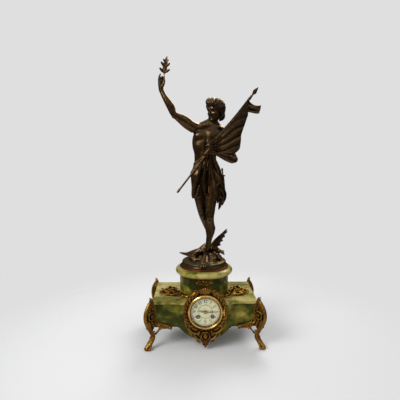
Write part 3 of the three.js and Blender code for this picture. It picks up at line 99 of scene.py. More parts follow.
def make_object(name, verts, faces, smooth=True):
    """A mesh object from points in millimetres and a list or array of faces."""
    mesh = bpy.data.meshes.new(name)
    verts = np.asarray(verts, float) * MM
    if isinstance(faces, np.ndarray):
        corners = faces.shape[1]
        mesh.vertices.add(len(verts))
        mesh.vertices.foreach_set("co", verts.astype(np.float32).ravel())
        mesh.loops.add(faces.size)
        mesh.loops.foreach_set("vertex_index", faces.astype(np.int32).ravel())
        mesh.polygons.add(len(faces))
        mesh.polygons.foreach_set("loop_start", np.arange(0, faces.size, corners, dtype=np.int32))
        mesh.update(calc_edges=True)
        mesh.validate()
    else:
        mesh.from_pydata(verts.tolist(), [], faces)
    mesh.update()
    if smooth:
        mesh.polygons.foreach_set("use_smooth", [True] * len(mesh.polygons))
    obj = bpy.data.objects.new(name, mesh)
    bpy.context.scene.collection.objects.link(obj)
    return obj


def place(obj, body, slot, material, *nodes):
    """Gives a finished piece its body and material, and hides the CAD nodes that it stands for. The slot is
    not used.
    """
    obj.data.materials.clear()
    obj.data.materials.append(material)
    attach(obj, body)
    if nodes:
        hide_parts(*nodes)
    return obj


def set_wear(obj, values):
    """Stores how recessed each point is, 0 proud to 1 deep, for the metal finishes."""
    attribute = obj.data.attributes.new("recess", "FLOAT", "POINT")
    attribute.data.foreach_set("value", np.asarray(values, np.float32))


def sharpen(obj, angle=38):
    """Keeps edges steeper than the angle crisp under smooth shading."""
    for polygon in obj.data.polygons:
        polygon.use_smooth = True
    obj.data.set_sharp_from_angle(angle=math.radians(angle))
    return obj


def fair(rows, steps):
    """Points on a smooth curve through the rows; every column is carried along."""
    rows = np.asarray(rows, float)
    if len(rows) < 3:
        return np.array([rows[0] + (rows[-1] - rows[0]) * t for t in np.linspace(0, 1, steps + 1)])
    padded = np.vstack([2 * rows[0] - rows[1], rows, 2 * rows[-1] - rows[-2]])
    out = []
    count = len(rows) - 1
    for t in np.linspace(0, count, steps + 1):
        i = min(int(t), count - 1)
        u = t - i
        a, b, c, d = padded[i : i + 4]
        curve = 2 * b + (c - a) * u + (2 * a - 5 * b + 4 * c - d) * u * u + (3 * b - a - 3 * c + d) * u**3
        out.append(0.5 * curve)
    return np.array(out)


def turned(name, profile, sides, axis="Z", centre=(0, 0, 0)):
    """A turned mesh from (radius, height) pairs."""
    profile = np.asarray(profile, float)
    x, y, z = centre
    verts, faces = [], []
    for radius, height in profile:
        for angle in np.linspace(0, 2 * math.pi, sides, endpoint=False):
            across, up = radius * math.cos(angle), radius * math.sin(angle)
            verts.append((x + across, y + up, height) if axis == "Z" else (x + across, height, z + up))
    rows = len(profile)
    closed = np.allclose(profile[0], profile[-1])
    for i in range(rows - 1):
        a = i * sides
        b = ((i + 1) % (rows - 1) if closed else i + 1) * sides
        for k in range(sides):
            n = (k + 1) % sides
            faces.append((a + k, a + n, b + n, b + k))
    obj = make_object(name, verts[: (rows - 1) * sides] if closed else verts, faces)
    return face_outward(obj, merge=True)


def face_outward(obj, merge=False):
    """Turns all faces outward; merge joins points that lie in one place."""
    mesh = bmesh.new()
    mesh.from_mesh(obj.data)
    if merge:
        bmesh.ops.remove_doubles(mesh, verts=mesh.verts, dist=1e-6)
    bmesh.ops.recalc_face_normals(mesh, faces=mesh.faces)
    mesh.to_mesh(obj.data)
    mesh.free()
    return obj


# Clay


def coarser():
    return 1.0


def soft_min(a, b, k):
    h = np.clip(0.5 + 0.5 * (b - a) / k, 0, 1)
    return b * (1 - h) + a * h - k * h * (1 - h)


def unit(v):
    v = np.asarray(v, float)
    return v / max(np.linalg.norm(v), 1e-9)


class Clay:
    """A model built up of rounded strands that melt into each other, then cast as one skin.
    Sizes are in millimetres. The mode "add" lays strands on, "carve" presses them in, and work()
    changes the surface by a rule."""

    def __init__(self):
        self.steps = []
        self.low = np.full(3, 1e9)
        self.high = np.full(3, -1e9)

    def _step(self, mode, k):
        if not self.steps or self.steps[-1]["mode"] != mode or self.steps[-1]["k"] != k:
            self.steps.append({"mode": mode, "k": k, "segments": [], "strands": 0})
        return self.steps[-1]

    def strand(self, rows, k=2.0, mode="add", front=(0, -1, 0), steps=None):
        """Rows of x, y, z, half width and, where it isn't round, half depth."""
        rows = [list(r) + [r[3]] if len(r) == 4 else list(r) for r in rows]
        smooth = fair(rows, steps or max(2, 2 * (len(rows) - 1)))
        step = self._step(mode, k)
        front = unit(front)
        for a, b in zip(smooth[:-1], smooth[1:]):
            along = unit(b[:3] - a[:3])
            side = np.cross(along, front)
            if np.linalg.norm(side) < 0.15:
                side = np.cross(along, (1, 0.2, 0.1))
            side = unit(side)
            self._segment(step, a, b, along, side, min(a[3], a[4]), min(b[3], b[4]))
        step["strands"] += 1

    def egg(self, centre, halves, k=2.0, mode="add", axes=None):
        """An egg with three half sizes along x, y and z, or along the given axes."""
        axes = np.eye(3) if axes is None else np.asarray(axes, float)
        step = self._step(mode, k)
        row = np.array([*centre, halves[0], halves[1]], float)
        self._segment(step, row, row, axes[2], axes[0], halves[2], halves[2])
        step["strands"] += 1

    def _segment(self, step, a, b, along, side, cap_a, cap_b):
        depth = np.cross(side, along)
        length = float(np.linalg.norm(b[:3] - a[:3]))
        step["segments"].append(
            [*a[:3], *along, *side, *depth, length, a[3], b[3], a[4], b[4], cap_a, cap_b, step["strands"]]
        )
        if step["mode"] == "add":
            reach = max(a[3], a[4], b[3], b[4], cap_a, cap_b)
            self.low = np.minimum(self.low, np.minimum(a[:3], b[:3]) - reach)
            self.high = np.maximum(self.high, np.maximum(a[:3], b[:3]) + reach)

    def work(self, rule):
        """rule(points, distance) gives the new distance."""
        self.steps.append({"mode": "work", "k": 0, "rule": rule})

    def _ready(self):
        for step in self.steps:
            if step["mode"] == "work" or "table" in step:
                continue
            table = np.array(step["segments"], float)
            step["table"] = table
            step["mid"] = table[:, 0:3] + table[:, 3:6] * table[:, 12:13] / 2
            step["reach"] = table[:, 12] / 2 + table[:, 13:19].max(axis=1)

    def distance(self, points, centre=None, radius=0.0):
        """Distance from the surface at each point, negative inside."""
        d = np.full(len(points), FAR)
        for step in self.steps:
            if step["mode"] == "work":
                d = step["rule"](points, d)
                continue
            table = step["table"]
            if centre is not None:
                away = np.linalg.norm(step["mid"] - centre, axis=1) - step["reach"]
                keep = away < radius + 3 * step["k"] + 6
                if not keep.any():
                    continue
                table = table[keep]
            found = self._group(points, table, step["k"])
            if step["mode"] == "add":
                d = soft_min(d, found, step["k"])
            else:
                d = -soft_min(-d, found, step["k"])
        return d

    @staticmethod
    def _group(points, table, k):
        start, along, side, depth = table[:, 0:3], table[:, 3:6], table[:, 6:9], table[:, 9:12]
        length = table[:, 12]
        t = points @ along.T - (start * along).sum(1)
        s = points @ side.T - (start * side).sum(1)
        q = points @ depth.T - (start * depth).sum(1)
        h = np.clip(t, 0, length)
        share = h / np.maximum(length, 1e-6)
        w = table[:, 13] + (table[:, 14] - table[:, 13]) * share
        e = table[:, 15] + (table[:, 16] - table[:, 15]) * share
        c = table[:, 17] + (table[:, 18] - table[:, 17]) * share
        l = t - h
        s2, q2, l2 = (s / w) ** 2, (q / e) ** 2, (l / c) ** 2
        near = np.sqrt(s2 + q2 + l2)
        slope = np.sqrt(s2 / w**2 + q2 / e**2 + l2 / c**2) + 1e-9
        found = np.where(near < 1e-4, -np.minimum(w, e), near * (near - 1) / slope)
        ids = table[:, 19]
        starts = np.concatenate([[0], np.nonzero(np.diff(ids))[0] + 1])
        found = np.minimum.reduceat(found, starts, axis=1)
        if found.shape[1] == 1:
            return found[:, 0]
        least = found.min(axis=1)
        blend = k / 4
        return least - blend * np.log(np.exp(-np.minimum((found - least[:, None]) / blend, 40)).sum(axis=1))

    def cast(self, name, cell, low=None, high=None, deep=5.0, smooth=2):
        """The skin of the model as an object, with its recess attribute. low and high clip it."""
        self._ready()
        low = np.maximum(self.low - 6, -1e9 if low is None else low)
        high = np.minimum(self.high + 6, 1e9 if high is None else high)
        block = 12
        low = low - cell * 1.5
        counts = np.ceil((high - low + cell * 1.5) / (cell * block)).astype(int)
        field = np.empty(counts * block, np.float32)
        radius = block * cell * math.sqrt(3) / 2
        middles = np.stack(np.meshgrid(*[np.arange(n) for n in counts], indexing="ij"), -1).reshape(-1, 3)
        middles_at = low + (middles + 0.5) * block * cell - cell / 2
        coarse = np.concatenate([self.distance(chunk) for chunk in np.array_split(middles_at,
            len(middles) // 600 + 1)])
        local = np.stack(np.meshgrid(*[np.arange(block)] * 3, indexing="ij"), -1).reshape(-1, 3) * cell
        for index, centre, rough in zip(middles, middles_at, coarse):
            a = index * block
            room = (slice(a[0], a[0] + block), slice(a[1], a[1] + block), slice(a[2], a[2] + block))
            if abs(rough) > 1.6 * radius + 6:
                field[room] = rough
                continue
            values = self.distance(low + a * cell + local, centre, radius)
            field[room] = values.reshape(block, block, block)
        for axis in range(3):
            rim = [slice(None)] * 3
            for end in (0, -1):
                rim[axis] = end
                field[tuple(rim)] = np.maximum(field[tuple(rim)], 0.5 * cell)
        verts, faces = net(field, low, cell)
        verts = relax(verts, faces, smooth)
        normals = normals_of(verts, faces)
        recess = 1 - sample(field, low, cell, verts + normals * deep) / deep
        obj = make_object(name, verts, faces)
        set_wear(obj, np.clip(recess, -0.5, 1))
        return obj


def net(field, low, cell):
    """A skin of quads over the zero level of a grid of distances."""
    inside = field < 0
    total = np.zeros(np.array(field.shape) - 1, np.int8)
    corners = [(i, j, k) for i in (0, 1) for j in (0, 1) for k in (0, 1)]
    for i, j, k in corners:
        nx, ny, nz = total.shape
        total += inside[i : i + nx, j : j + ny, k : k + nz]
    active = (total > 0) & (total < 8)
    cells = np.argwhere(active)
    place_sum = np.zeros((len(cells), 3))
    hits = np.zeros(len(cells))
    for a in corners:
        for axis in range(3):
            if a[axis]:
                continue
            b = list(a)
            b[axis] = 1
            fa = field[tuple((cells + a).T)].astype(float)
            fb = field[tuple((cells + b).T)].astype(float)
            crossed = (fa < 0) != (fb < 0)
            t = np.where(crossed, fa / np.where(crossed, fa - fb, 1), 0)
            point = np.tile(np.array(a, float), (len(cells), 1))
            point[:, axis] = t
            place_sum += point * crossed[:, None]
            hits += crossed
    verts = low + cell * (cells + place_sum / hits[:, None])
    number = np.full(active.shape, -1, np.int64)
    number[active] = np.arange(len(cells))
    faces = []
    for axis in range(3):
        u, v = [(1, 2), (2, 0), (0, 1)][axis]
        first = [slice(1, -1)] * 3
        first[axis] = slice(0, -1)
        second = list(first)
        second[axis] = slice(1, None)
        change = inside[tuple(first)] != inside[tuple(second)]
        at = np.argwhere(change)
        offset = np.ones(3, int)
        offset[axis] = 0
        at = at + offset
        step_u, step_v = np.zeros(3, int), np.zeros(3, int)
        step_u[u] = 1
        step_v[v] = 1
        ring = [number[tuple((at - du * step_u - dv * step_v).T)] for du,
                dv in ((1, 1), (0, 1), (0, 0), (1, 0))]
        quads = np.stack(ring, 1)
        out = inside[tuple(at.T)]
        quads = np.where(out[:, None], quads, quads[:, ::-1])
        faces.append(quads)
    return verts, np.concatenate(faces)


def relax(verts, faces, rounds):
    """Evens a skin without shrinking it."""
    edges = np.concatenate([faces[:, [0, 1]], faces[:, [1, 2]], faces[:, [2, 3]], faces[:, [3, 0]]])
    count = np.bincount(edges[:, 0], minlength=len(verts)) + np.bincount(edges[:, 1], minlength=len(verts))
    for amount in [0.5, -0.52] * rounds:
        mean = np.empty_like(verts)
        for axis in range(3):
            mean[:, axis] = np.bincount(edges[:, 0], verts[edges[:, 1], axis], len(verts)) + np.bincount(
                edges[:, 1], verts[edges[:, 0], axis], len(verts)
            )
        verts = verts + amount * (mean / count[:, None] - verts)
    return verts


def normals_of(verts, faces):
    across = np.cross(verts[faces[:, 2]] - verts[faces[:, 0]], verts[faces[:, 3]] - verts[faces[:, 1]])
    normals = np.empty_like(verts)
    for axis in range(3):
        normals[:, axis] = sum(np.bincount(faces[:, c], across[:, axis], len(verts)) for c in range(4))
    return normals / np.maximum(np.linalg.norm(normals, axis=1), 1e-9)[:, None]


def sample(field, low, cell, points):
    """Values of a grid between its points."""
    at = np.clip((points - low) / cell, 0, np.array(field.shape) - 1.001)
    base = at.astype(int)
    part = at - base
    total = 0
    for i in (0, 1):
        for j in (0, 1):
            for k in (0, 1):
                weight = (
                    (part[:, 0] if i else 1 - part[:, 0])
                    * (part[:, 1] if j else 1 - part[:, 1])
                    * (part[:, 2] if k else 1 - part[:, 2])
                )
                total = total + weight * field[base[:, 0] + i, base[:, 1] + j, base[:, 2] + k]
    return total


def mirrored(obj, name, x=1, y=1):
    """A copy of a skin mirrored across X, across Y or both."""
    mesh = obj.data
    verts = np.empty(len(mesh.vertices) * 3, np.float32)
    mesh.vertices.foreach_get("co", verts)
    verts = verts.reshape(-1, 3) * np.array([x, y, 1]) / MM
    faces = np.empty(len(mesh.loops), np.int32)
    mesh.loops.foreach_get("vertex_index", faces)
    faces = faces.reshape(-1, 4)
    if x * y < 0:
        faces = faces[:, ::-1].copy()
    copy = make_object(name, verts, faces)
    recess = np.empty(len(mesh.vertices), np.float32)
    mesh.attributes["recess"].data.foreach_get("value", recess)
    set_wear(copy, recess)
    return copy


# Finishes


def new_group(name, inputs, outputs):
    """A shader node group with its sockets; returns the tree, its input node and its output node."""
    tree = bpy.data.node_groups.new(name, "ShaderNodeTree")
    for label, kind, value in inputs:
        socket = tree.interface.new_socket(name=label, in_out="INPUT", socket_type=kind)
        socket.default_value = value
    for label, kind in outputs:
        tree.interface.new_socket(name=label, in_out="OUTPUT", socket_type=kind)
    return tree, tree.nodes.new("NodeGroupInput"), tree.nodes.new("NodeGroupOutput")


def node(tree, kind, settings=None, **inputs):
    """A node with its settings, and its inputs set by value or linked from a socket."""
    made = tree.nodes.new(kind)
    for key, value in (settings or {}).items():
        setattr(made, key, value)
    for key, value in inputs.items():
        wire(tree, value, made.inputs[key])
    return made


def wire(tree, value, socket):
    if isinstance(value, bpy.types.NodeSocket):
        tree.links.new(value, socket)
    else:
        socket.default_value = value


def ramp(tree, factor, stops, interpolation="LINEAR"):
    """A colour ramp from (position, colour) stops; a plain number stands for a grey."""
    made = tree.nodes.new("ShaderNodeValToRGB")
    elements = made.color_ramp.elements
    made.color_ramp.interpolation = interpolation
    while len(elements) < len(stops):
        elements.new(0.5)
    for element, (position, colour) in zip(elements, stops):
        element.position = position
        element.color = (*colour, 1) if hasattr(colour, "__len__") else (colour, colour, colour, 1)
    wire(tree, factor, made.inputs["Fac"])
    return made.outputs["Color"]


def mix(tree, factor, a, b):
    made = tree.nodes.new("ShaderNodeMix")
    made.data_type = "RGBA"
    for socket, value in ((made.inputs[0], factor), (made.inputs[6], a), (made.inputs[7], b)):
        if isinstance(value, tuple) and len(value) == 3:
            value = (*value, 1)
        wire(tree, value, socket)
    return made.outputs[2]


def maths(tree, operation, a, b=0.0, clamp=False):
    made = tree.nodes.new("ShaderNodeMath")
    made.operation = operation
    made.use_clamp = clamp
    wire(tree, a, made.inputs[0])
    wire(tree, b, made.inputs[1])
    return made.outputs[0]


def noise(tree, at, scale, detail, roughness=0.5, distortion=0.0):
    made = tree.nodes.new("ShaderNodeTexNoise")
    values = {"Vector": at, "Scale": scale, "Detail": detail, "Roughness": roughness,
              "Distortion": distortion}
    for label, value in values.items():
        wire(tree, value, made.inputs[label])
    return made.outputs["Fac"]


def between(tree, value, low, high):
    """A value from 0 to 1 spread between two others."""
    made = node(tree, "ShaderNodeMapRange", Value=value)
    wire(tree, low, made.inputs["To Min"])
    wire(tree, high, made.inputs["To Max"])
    return made.outputs[0]


def arithmetic(tree):
    """Short forms of three sums on the sockets of a tree."""
    times = lambda a, b, clamp=False: maths(tree, "MULTIPLY", a, b, clamp)
    plus = lambda a, b, clamp=False: maths(tree, "ADD", a, b, clamp)
    less = lambda a, b: maths(tree, "SUBTRACT", a, b)
    return times, plus, less


COLOUR, NUMBER = "NodeSocketColor", "NodeSocketFloat"


def metal_group():
    """Cast and patinated metal: dark in the recesses, mottled on the faces, rubbed bright where proud."""
    tree, given, out = new_group(
        "Cast Metal Patina",
        [
            ("Body", COLOUR, (0.1, 0.06, 0.03, 1)),
            ("Recess", COLOUR, (0.01, 0.008, 0.006, 1)),
            ("Rubbed", COLOUR, (0.4, 0.25, 0.1, 1)),
            ("Tint", COLOUR, (0.2, 0.16, 0.05, 1)),
            ("Depth", NUMBER, 0.0),
            ("Grain", NUMBER, 60.0),
            ("Smooth", NUMBER, 0.3),
            ("Rough", NUMBER, 0.55),
            ("Wear", NUMBER, 0.5),
        ],
        [("Color", COLOUR), ("Roughness", NUMBER), ("Height", NUMBER)],
    )
    times, plus, less = arithmetic(tree)
    value = given.outputs
    at = node(tree, "ShaderNodeTexCoord").outputs["Object"]
    broad = noise(tree, at, value["Grain"], 4.0, 0.6)
    fine = noise(tree, at, times(value["Grain"], 9.0), 3.0, 0.65)
    spots = noise(tree, at, times(value["Grain"], 2.7), 5.0)
    depth = plus(value["Depth"], times(less(fine, 0.5), 0.5))
    deep = times(less(depth, 0.12), 2.4, clamp=True)
    proud = times(times(less(0.02, depth), 5.0, clamp=True), value["Wear"])
    tinted = mix(tree, ramp(tree, broad, [(0.42, 0.0), (0.62, 1.0)]), value["Body"], value["Tint"])
    speckle = times(ramp(tree, spots, [(0.5, 0.0), (0.7, 1.0)]), 0.45)
    mottled = mix(tree, speckle, tinted, value["Recess"])
    rubbed = mix(tree, proud, mottled, value["Rubbed"])
    spread = times(plus(spots, times(deep, 0.6)), 0.9, clamp=True)
    wire(tree, mix(tree, deep, rubbed, value["Recess"]), out.inputs["Color"])
    wire(tree, between(tree, spread, value["Smooth"], value["Rough"]), out.inputs["Roughness"])
    wire(tree, plus(fine, spots), out.inputs["Height"])


def stone_group():
    """Banded onyx: cloudy drifts of deep to pale green, milky streaks and thin rusty veins."""
    tree, given, out = new_group(
        "Banded Onyx",
        [
            ("Deep", COLOUR, (0.01, 0.03, 0.008, 1)),
            ("Green", COLOUR, (0.06, 0.1, 0.02, 1)),
            ("Light", COLOUR, (0.25, 0.27, 0.06, 1)),
            ("Pale", COLOUR, (0.5, 0.5, 0.3, 1)),
            ("Vein", COLOUR, (0.2, 0.09, 0.02, 1)),
            ("Scale", NUMBER, 12.0),
            ("Tone", NUMBER, 0.0),
            ("Vein Share", NUMBER, 0.5),
        ],
        [("Color", COLOUR), ("Roughness", NUMBER), ("Height", NUMBER)],
    )
    times, plus, less = arithmetic(tree)
    value = given.outputs
    at = node(tree, "ShaderNodeTexCoord").outputs["Object"]
    mapping = node(tree, "ShaderNodeMapping", Vector=at, Scale=(0.75, 0.8, 1.35), Rotation=(0.3, 0.45, 0.1))
    stretched = mapping.outputs[0]
    drift = noise(tree, stretched, value["Scale"], 7.0, 0.55, 1.1)
    bands = node(
        tree,
        "ShaderNodeTexWave",
        {"wave_type": "BANDS", "bands_direction": "DIAGONAL"},
        Vector=stretched,
        Scale=times(value["Scale"], 0.55),
        Distortion=9.0,
        Detail=4.0,
    )
    clouds = noise(tree, at, times(value["Scale"], 2.6), 6.0, 0.6, 0.6)
    tone = plus(times(drift, 0.75), times(bands.outputs["Fac"], 0.12))
    tone = plus(tone, times(less(clouds, 0.5), 0.55))
    tone = plus(tone, value["Tone"], clamp=True)
    shade = mix(tree, ramp(tree, tone, [(0.28, 0.0), (0.46, 1.0)]), value["Deep"], value["Green"])
    shade = mix(tree, ramp(tree, tone, [(0.42, 0.0), (0.58, 1.0)]), shade, value["Light"])
    shade = mix(tree, ramp(tree, tone, [(0.56, 0.0), (0.74, 1.0)]), shade, value["Pale"])
    seams = noise(tree, stretched, times(value["Scale"], 1.7), 5.0, distortion=1.6)
    line = ramp(tree, seams, [(0.485, 0.0), (0.5, 1.0), (0.515, 0.0)])
    wire(tree, mix(tree, times(line, value["Vein Share"]), shade, value["Vein"]), out.inputs["Color"])
    wire(tree, between(tree, clouds, 0.08, 0.2), out.inputs["Roughness"])
    wire(tree, line, out.inputs["Height"])


def new_material(name):
    material = bpy.data.materials.new(name)
    material.use_nodes = True
    tree = material.node_tree
    return material, tree, tree.nodes["Principled BSDF"]


def bump(tree, shader, height, strength, distance):
    made = node(tree, "ShaderNodeBump", Height=height, Strength=strength, Distance=distance)
    tree.links.new(made.outputs["Normal"], shader.inputs["Normal"])


def grouped(name, group_name, colours, values):
    """A material with one shared node group in it; returns the material, tree, shader and group."""
    material, tree, shader = new_material(name)
    group = tree.nodes.new("ShaderNodeGroup")
    group.node_tree = bpy.data.node_groups[group_name]
    for label, colour in colours.items():
        group.inputs[label].default_value = (*colour, 1)
    for label, value in values.items():
        group.inputs[label].default_value = value
    tree.links.new(group.outputs["Color"], shader.inputs["Base Color"])
    tree.links.new(group.outputs["Roughness"], shader.inputs["Roughness"])
    return material, tree, shader, group


def gloss(shader, level, tint, coat, coat_roughness):
    """How a surface shines: its specular level and tint, and a clear coat."""
    shader.inputs["Specular IOR Level"].default_value = level
    shader.inputs["Specular Tint"].default_value = (*tint, 1)
    shader.inputs["Coat Weight"].default_value = coat
    shader.inputs["Coat Roughness"].default_value = coat_roughness


def metal(name, body, recess, rubbed, tint, smooth=0.3, rough=0.5, wear=0.5, grain=60.0, depth=True,
          coat=0.0):
    """A cast metal finish; depth reads the recess stored in the piece's mesh."""
    colours = {"Body": body, "Recess": recess, "Rubbed": rubbed, "Tint": tint}
    values = {"Grain": grain, "Smooth": smooth, "Rough": rough, "Wear": wear}
    material, tree, shader, group = grouped(name, "Cast Metal Patina", colours, values)
    if depth:
        stored = node(tree, "ShaderNodeAttribute", {"attribute_name": "recess"})
        tree.links.new(stored.outputs["Fac"], group.inputs["Depth"])
    shader.inputs["Metallic"].default_value = 0.9
    gloss(shader, 0.3, (0.8, 0.64, 0.44), coat, 0.24)
    bump(tree, shader, group.outputs["Height"], 0.35, 0.00015)
    return material


def stone(name, deep, green, light, pale, vein, scale=12.0, tone=0.0, vein_share=0.5):
    """A polished onyx; tone lifts it towards its paler colours."""
    colours = {"Deep": deep, "Green": green, "Light": light, "Pale": pale, "Vein": vein}
    values = {"Scale": scale, "Tone": tone, "Vein Share": vein_share}
    material, tree, shader, group = grouped(name, "Banded Onyx", colours, values)
    gloss(shader, 0.14, (1.0, 0.88, 0.45), 0.05, 0.06)
    bump(tree, shader, group.outputs["Height"], 0.08, 0.0002)
    return material


# Settings


def colour_setting(name, description, default):
    return FloatVectorProperty(
        name=name, description=description, subtype="COLOR", size=3, min=0, max=1, default=default
    )


class ClockStoneSettings(bpy.types.PropertyGroup):
    """Colours of the onyx."""

    deep: colour_setting("Deep green", "Darkest tone of the onyx", (0.011, 0.013, 0.0012))
    green: colour_setting("Green", "Main tone of the case", (0.034, 0.042, 0.005))
    light: colour_setting("Yellow green", "Lighter drifts in the onyx", (0.17, 0.142, 0.016))
    pale: colour_setting("Pale", "Milky bands in the onyx", (0.4, 0.335, 0.11))
    vein: colour_setting("Vein", "Thin rusty veins", (0.13, 0.06, 0.012))
    drift: FloatProperty(name="Band scale", description="How close the bands lie", default=13.0, min=2,
                         max=60)
    bevel: FloatProperty(
        name="Edge round", description="Radius of the polished edges", default=0.0016, min=0.0002,
        max=0.004, unit="LENGTH"
    )


class ClockMetalSettings(bpy.types.PropertyGroup):
    """Colours of the mounts and the statue."""

    gilt: colour_setting("Gilt", "Antique gilding of the mounts", (0.24, 0.125, 0.02))
    gilt_rubbed: colour_setting("Rubbed gilt", "Gilding where it is proud", (0.78, 0.47, 0.1))
    bronze: colour_setting("Bronze", "Brown patina of the statue", (0.05, 0.021, 0.005))
    bronze_rubbed: colour_setting("Rubbed bronze", "Bronze where it is proud", (0.3, 0.145, 0.04))
    recess: colour_setting("Recess", "Darkened hollows of the castings", (0.01, 0.006, 0.003))
    fold_height: FloatProperty(
        name="Fold height", description="How far the folds of the hip cloth stand out", default=0.0042,
        min=0, max=0.008,
        unit="LENGTH",
    )
    fineness: FloatProperty(
        name="Casting detail", description="Cell size of the cast skins", default=0.00115, min=0.0006,
        max=0.004, unit="LENGTH"
    )


class ClockDialSettings(bpy.types.PropertyGroup):
    """The enamel dial."""

    enamel: colour_setting("Enamel", "Ground colour of the dial", (0.66, 0.62, 0.36))
    numeral_size: FloatProperty(
        name="Numeral height", description="Height of the hour numbers", default=0.0082, min=0.004,
        max=0.012, unit="LENGTH"
    )
    minutes: IntProperty(name="Minute marks", description="Marks round the dial", default=60, min=12,
                         max=120)


class ClockStageSettings(bpy.types.PropertyGroup):
    """Backdrop and lamps."""

    backdrop: colour_setting("Backdrop", "Colour behind the clock", (0.737, 0.737, 0.745))
    key: FloatProperty(name="Key lamp", description="Power of the main lamp", default=38.0, min=0, max=500,
                       unit="POWER")


# Statue


def on_plinth(x, y, z):
    """A place on the statue, with z counted from the plinth's top."""
    return (x, y, z + PLINTH_TOP)


def rows_up(rows):
    """Strand rows of the statue raised to the plinth's top."""
    return [[x, y, z + PLINTH_TOP, *sizes] for x, y, z, *sizes in rows]


def lay_torso(clay):
    front = (-0.3, -1, 0)
    add = lambda rows, k=5.0, mode="add", way=front: clay.strand(rows_up(rows), k, mode, way)
    egg = lambda at, halves, k=7.0, mode="add": clay.egg(on_plinth(*at), halves, k, mode)
    add([[4, 3, 220, 27, 22], [5, 3, 243, 37.5, 27], [4.5, 3, 264, 35.5, 25], [3.5, 4, 288, 31.5, 22],
         [3.5, 2, 310, 32.5, 23.5],
         [5, 1, 336, 37, 26], [9, 3, 360, 38, 22.5], [13, 4, 377, 27, 17.5], [19, 4, 388, 15, 13]])
    add([[20, 4, 380, 15, 13.5], [23, 2, 396, 12, 12.5], [27, 0, 410, 11.8, 12.8], [29, 0, 424, 12, 13]])
    for at, halves in (
        ((-10, -10.5, 354), (19, 11.5, 15)), ((25, -12.5, 356), (22, 12, 17)),
        ((-8, -8, 328), (20, 12, 20)), ((19, -9, 328), (18, 12, 20)),
        ((4, -11, 300), (17, 11, 26)),
        ((3, -14, 262), (15, 9, 16)),
        ((-20, 9, 336), (13, 14, 27)), ((31, 9, 336), (13, 14, 27)),
        ((-8, 20, 356), (13, 8, 17)), ((28, 21, 356), (13, 8, 17)),
        ((-13, 19, 236), (20, 17, 20)), ((21, 19, 236), (20, 17, 20)),
        ((-25, 0, 378), (15, 14, 15)), ((46, 6, 366), (15, 15, 18)),
        ((-6, -6, 377), (21, 10, 9)), ((32, -6, 377), (16, 10, 9)),
    ):
        egg(at, halves)
    add([[24, 7, 402, 8, 7], [4, 8, 388, 11, 8], [-16, 4, 381, 10, 9]])
    add([[26, 7, 400, 8, 7], [37, 8, 385, 10, 8], [46, 6, 374, 10, 9]])
    add([[17, -11, 384, 2.4], [0, -14, 383, 2.2], [-18, -9, 384, 2.2]], 6.0)
    add([[24, -11, 384, 2.4], [36, -10, 382, 2.2], [46, -4, 377, 2.2]], 6.0)
    add([[18, -10, 386, 2.6], [25, -9, 400, 3.2], [36, -2, 416, 3.2]], 4.0)
    add([[8, -31, 374, 1.8], [6, -28.5, 352, 1.5], [4, -26, 330, 1.2], [3.5, -25, 306, 0.9]], 6.0, "carve")
    add([[7, 32, 372, 2.6], [6, 30, 340, 2.6], [6, 27, 300, 2.6]], 4.0, "carve")
    add([[4, 40, 250, 2.6], [4, 38, 222, 3.2]], 4.0, "carve")
    egg((-15, -22.6, 348), (1.3, 1.0, 1.3), 1.4)
    egg((28, -24.6, 349), (1.3, 1.0, 1.3), 1.4)


def lay_leg(clay, rows, masses, foot, toes, ankle, knee):
    for row in (rows, *masses):
        clay.strand(rows_up(row), 4.0)
    for at, halves in knee:
        clay.egg(on_plinth(*at), halves, 5.0)
    clay.strand(rows_up(foot), 3.0, front=(0, 0, 1))
    for at, halves in ankle:
        clay.egg(on_plinth(*at), halves, 3.0)
    for toe in toes:
        clay.strand(rows_up(toe), 1.4, front=(0, 0, 1))


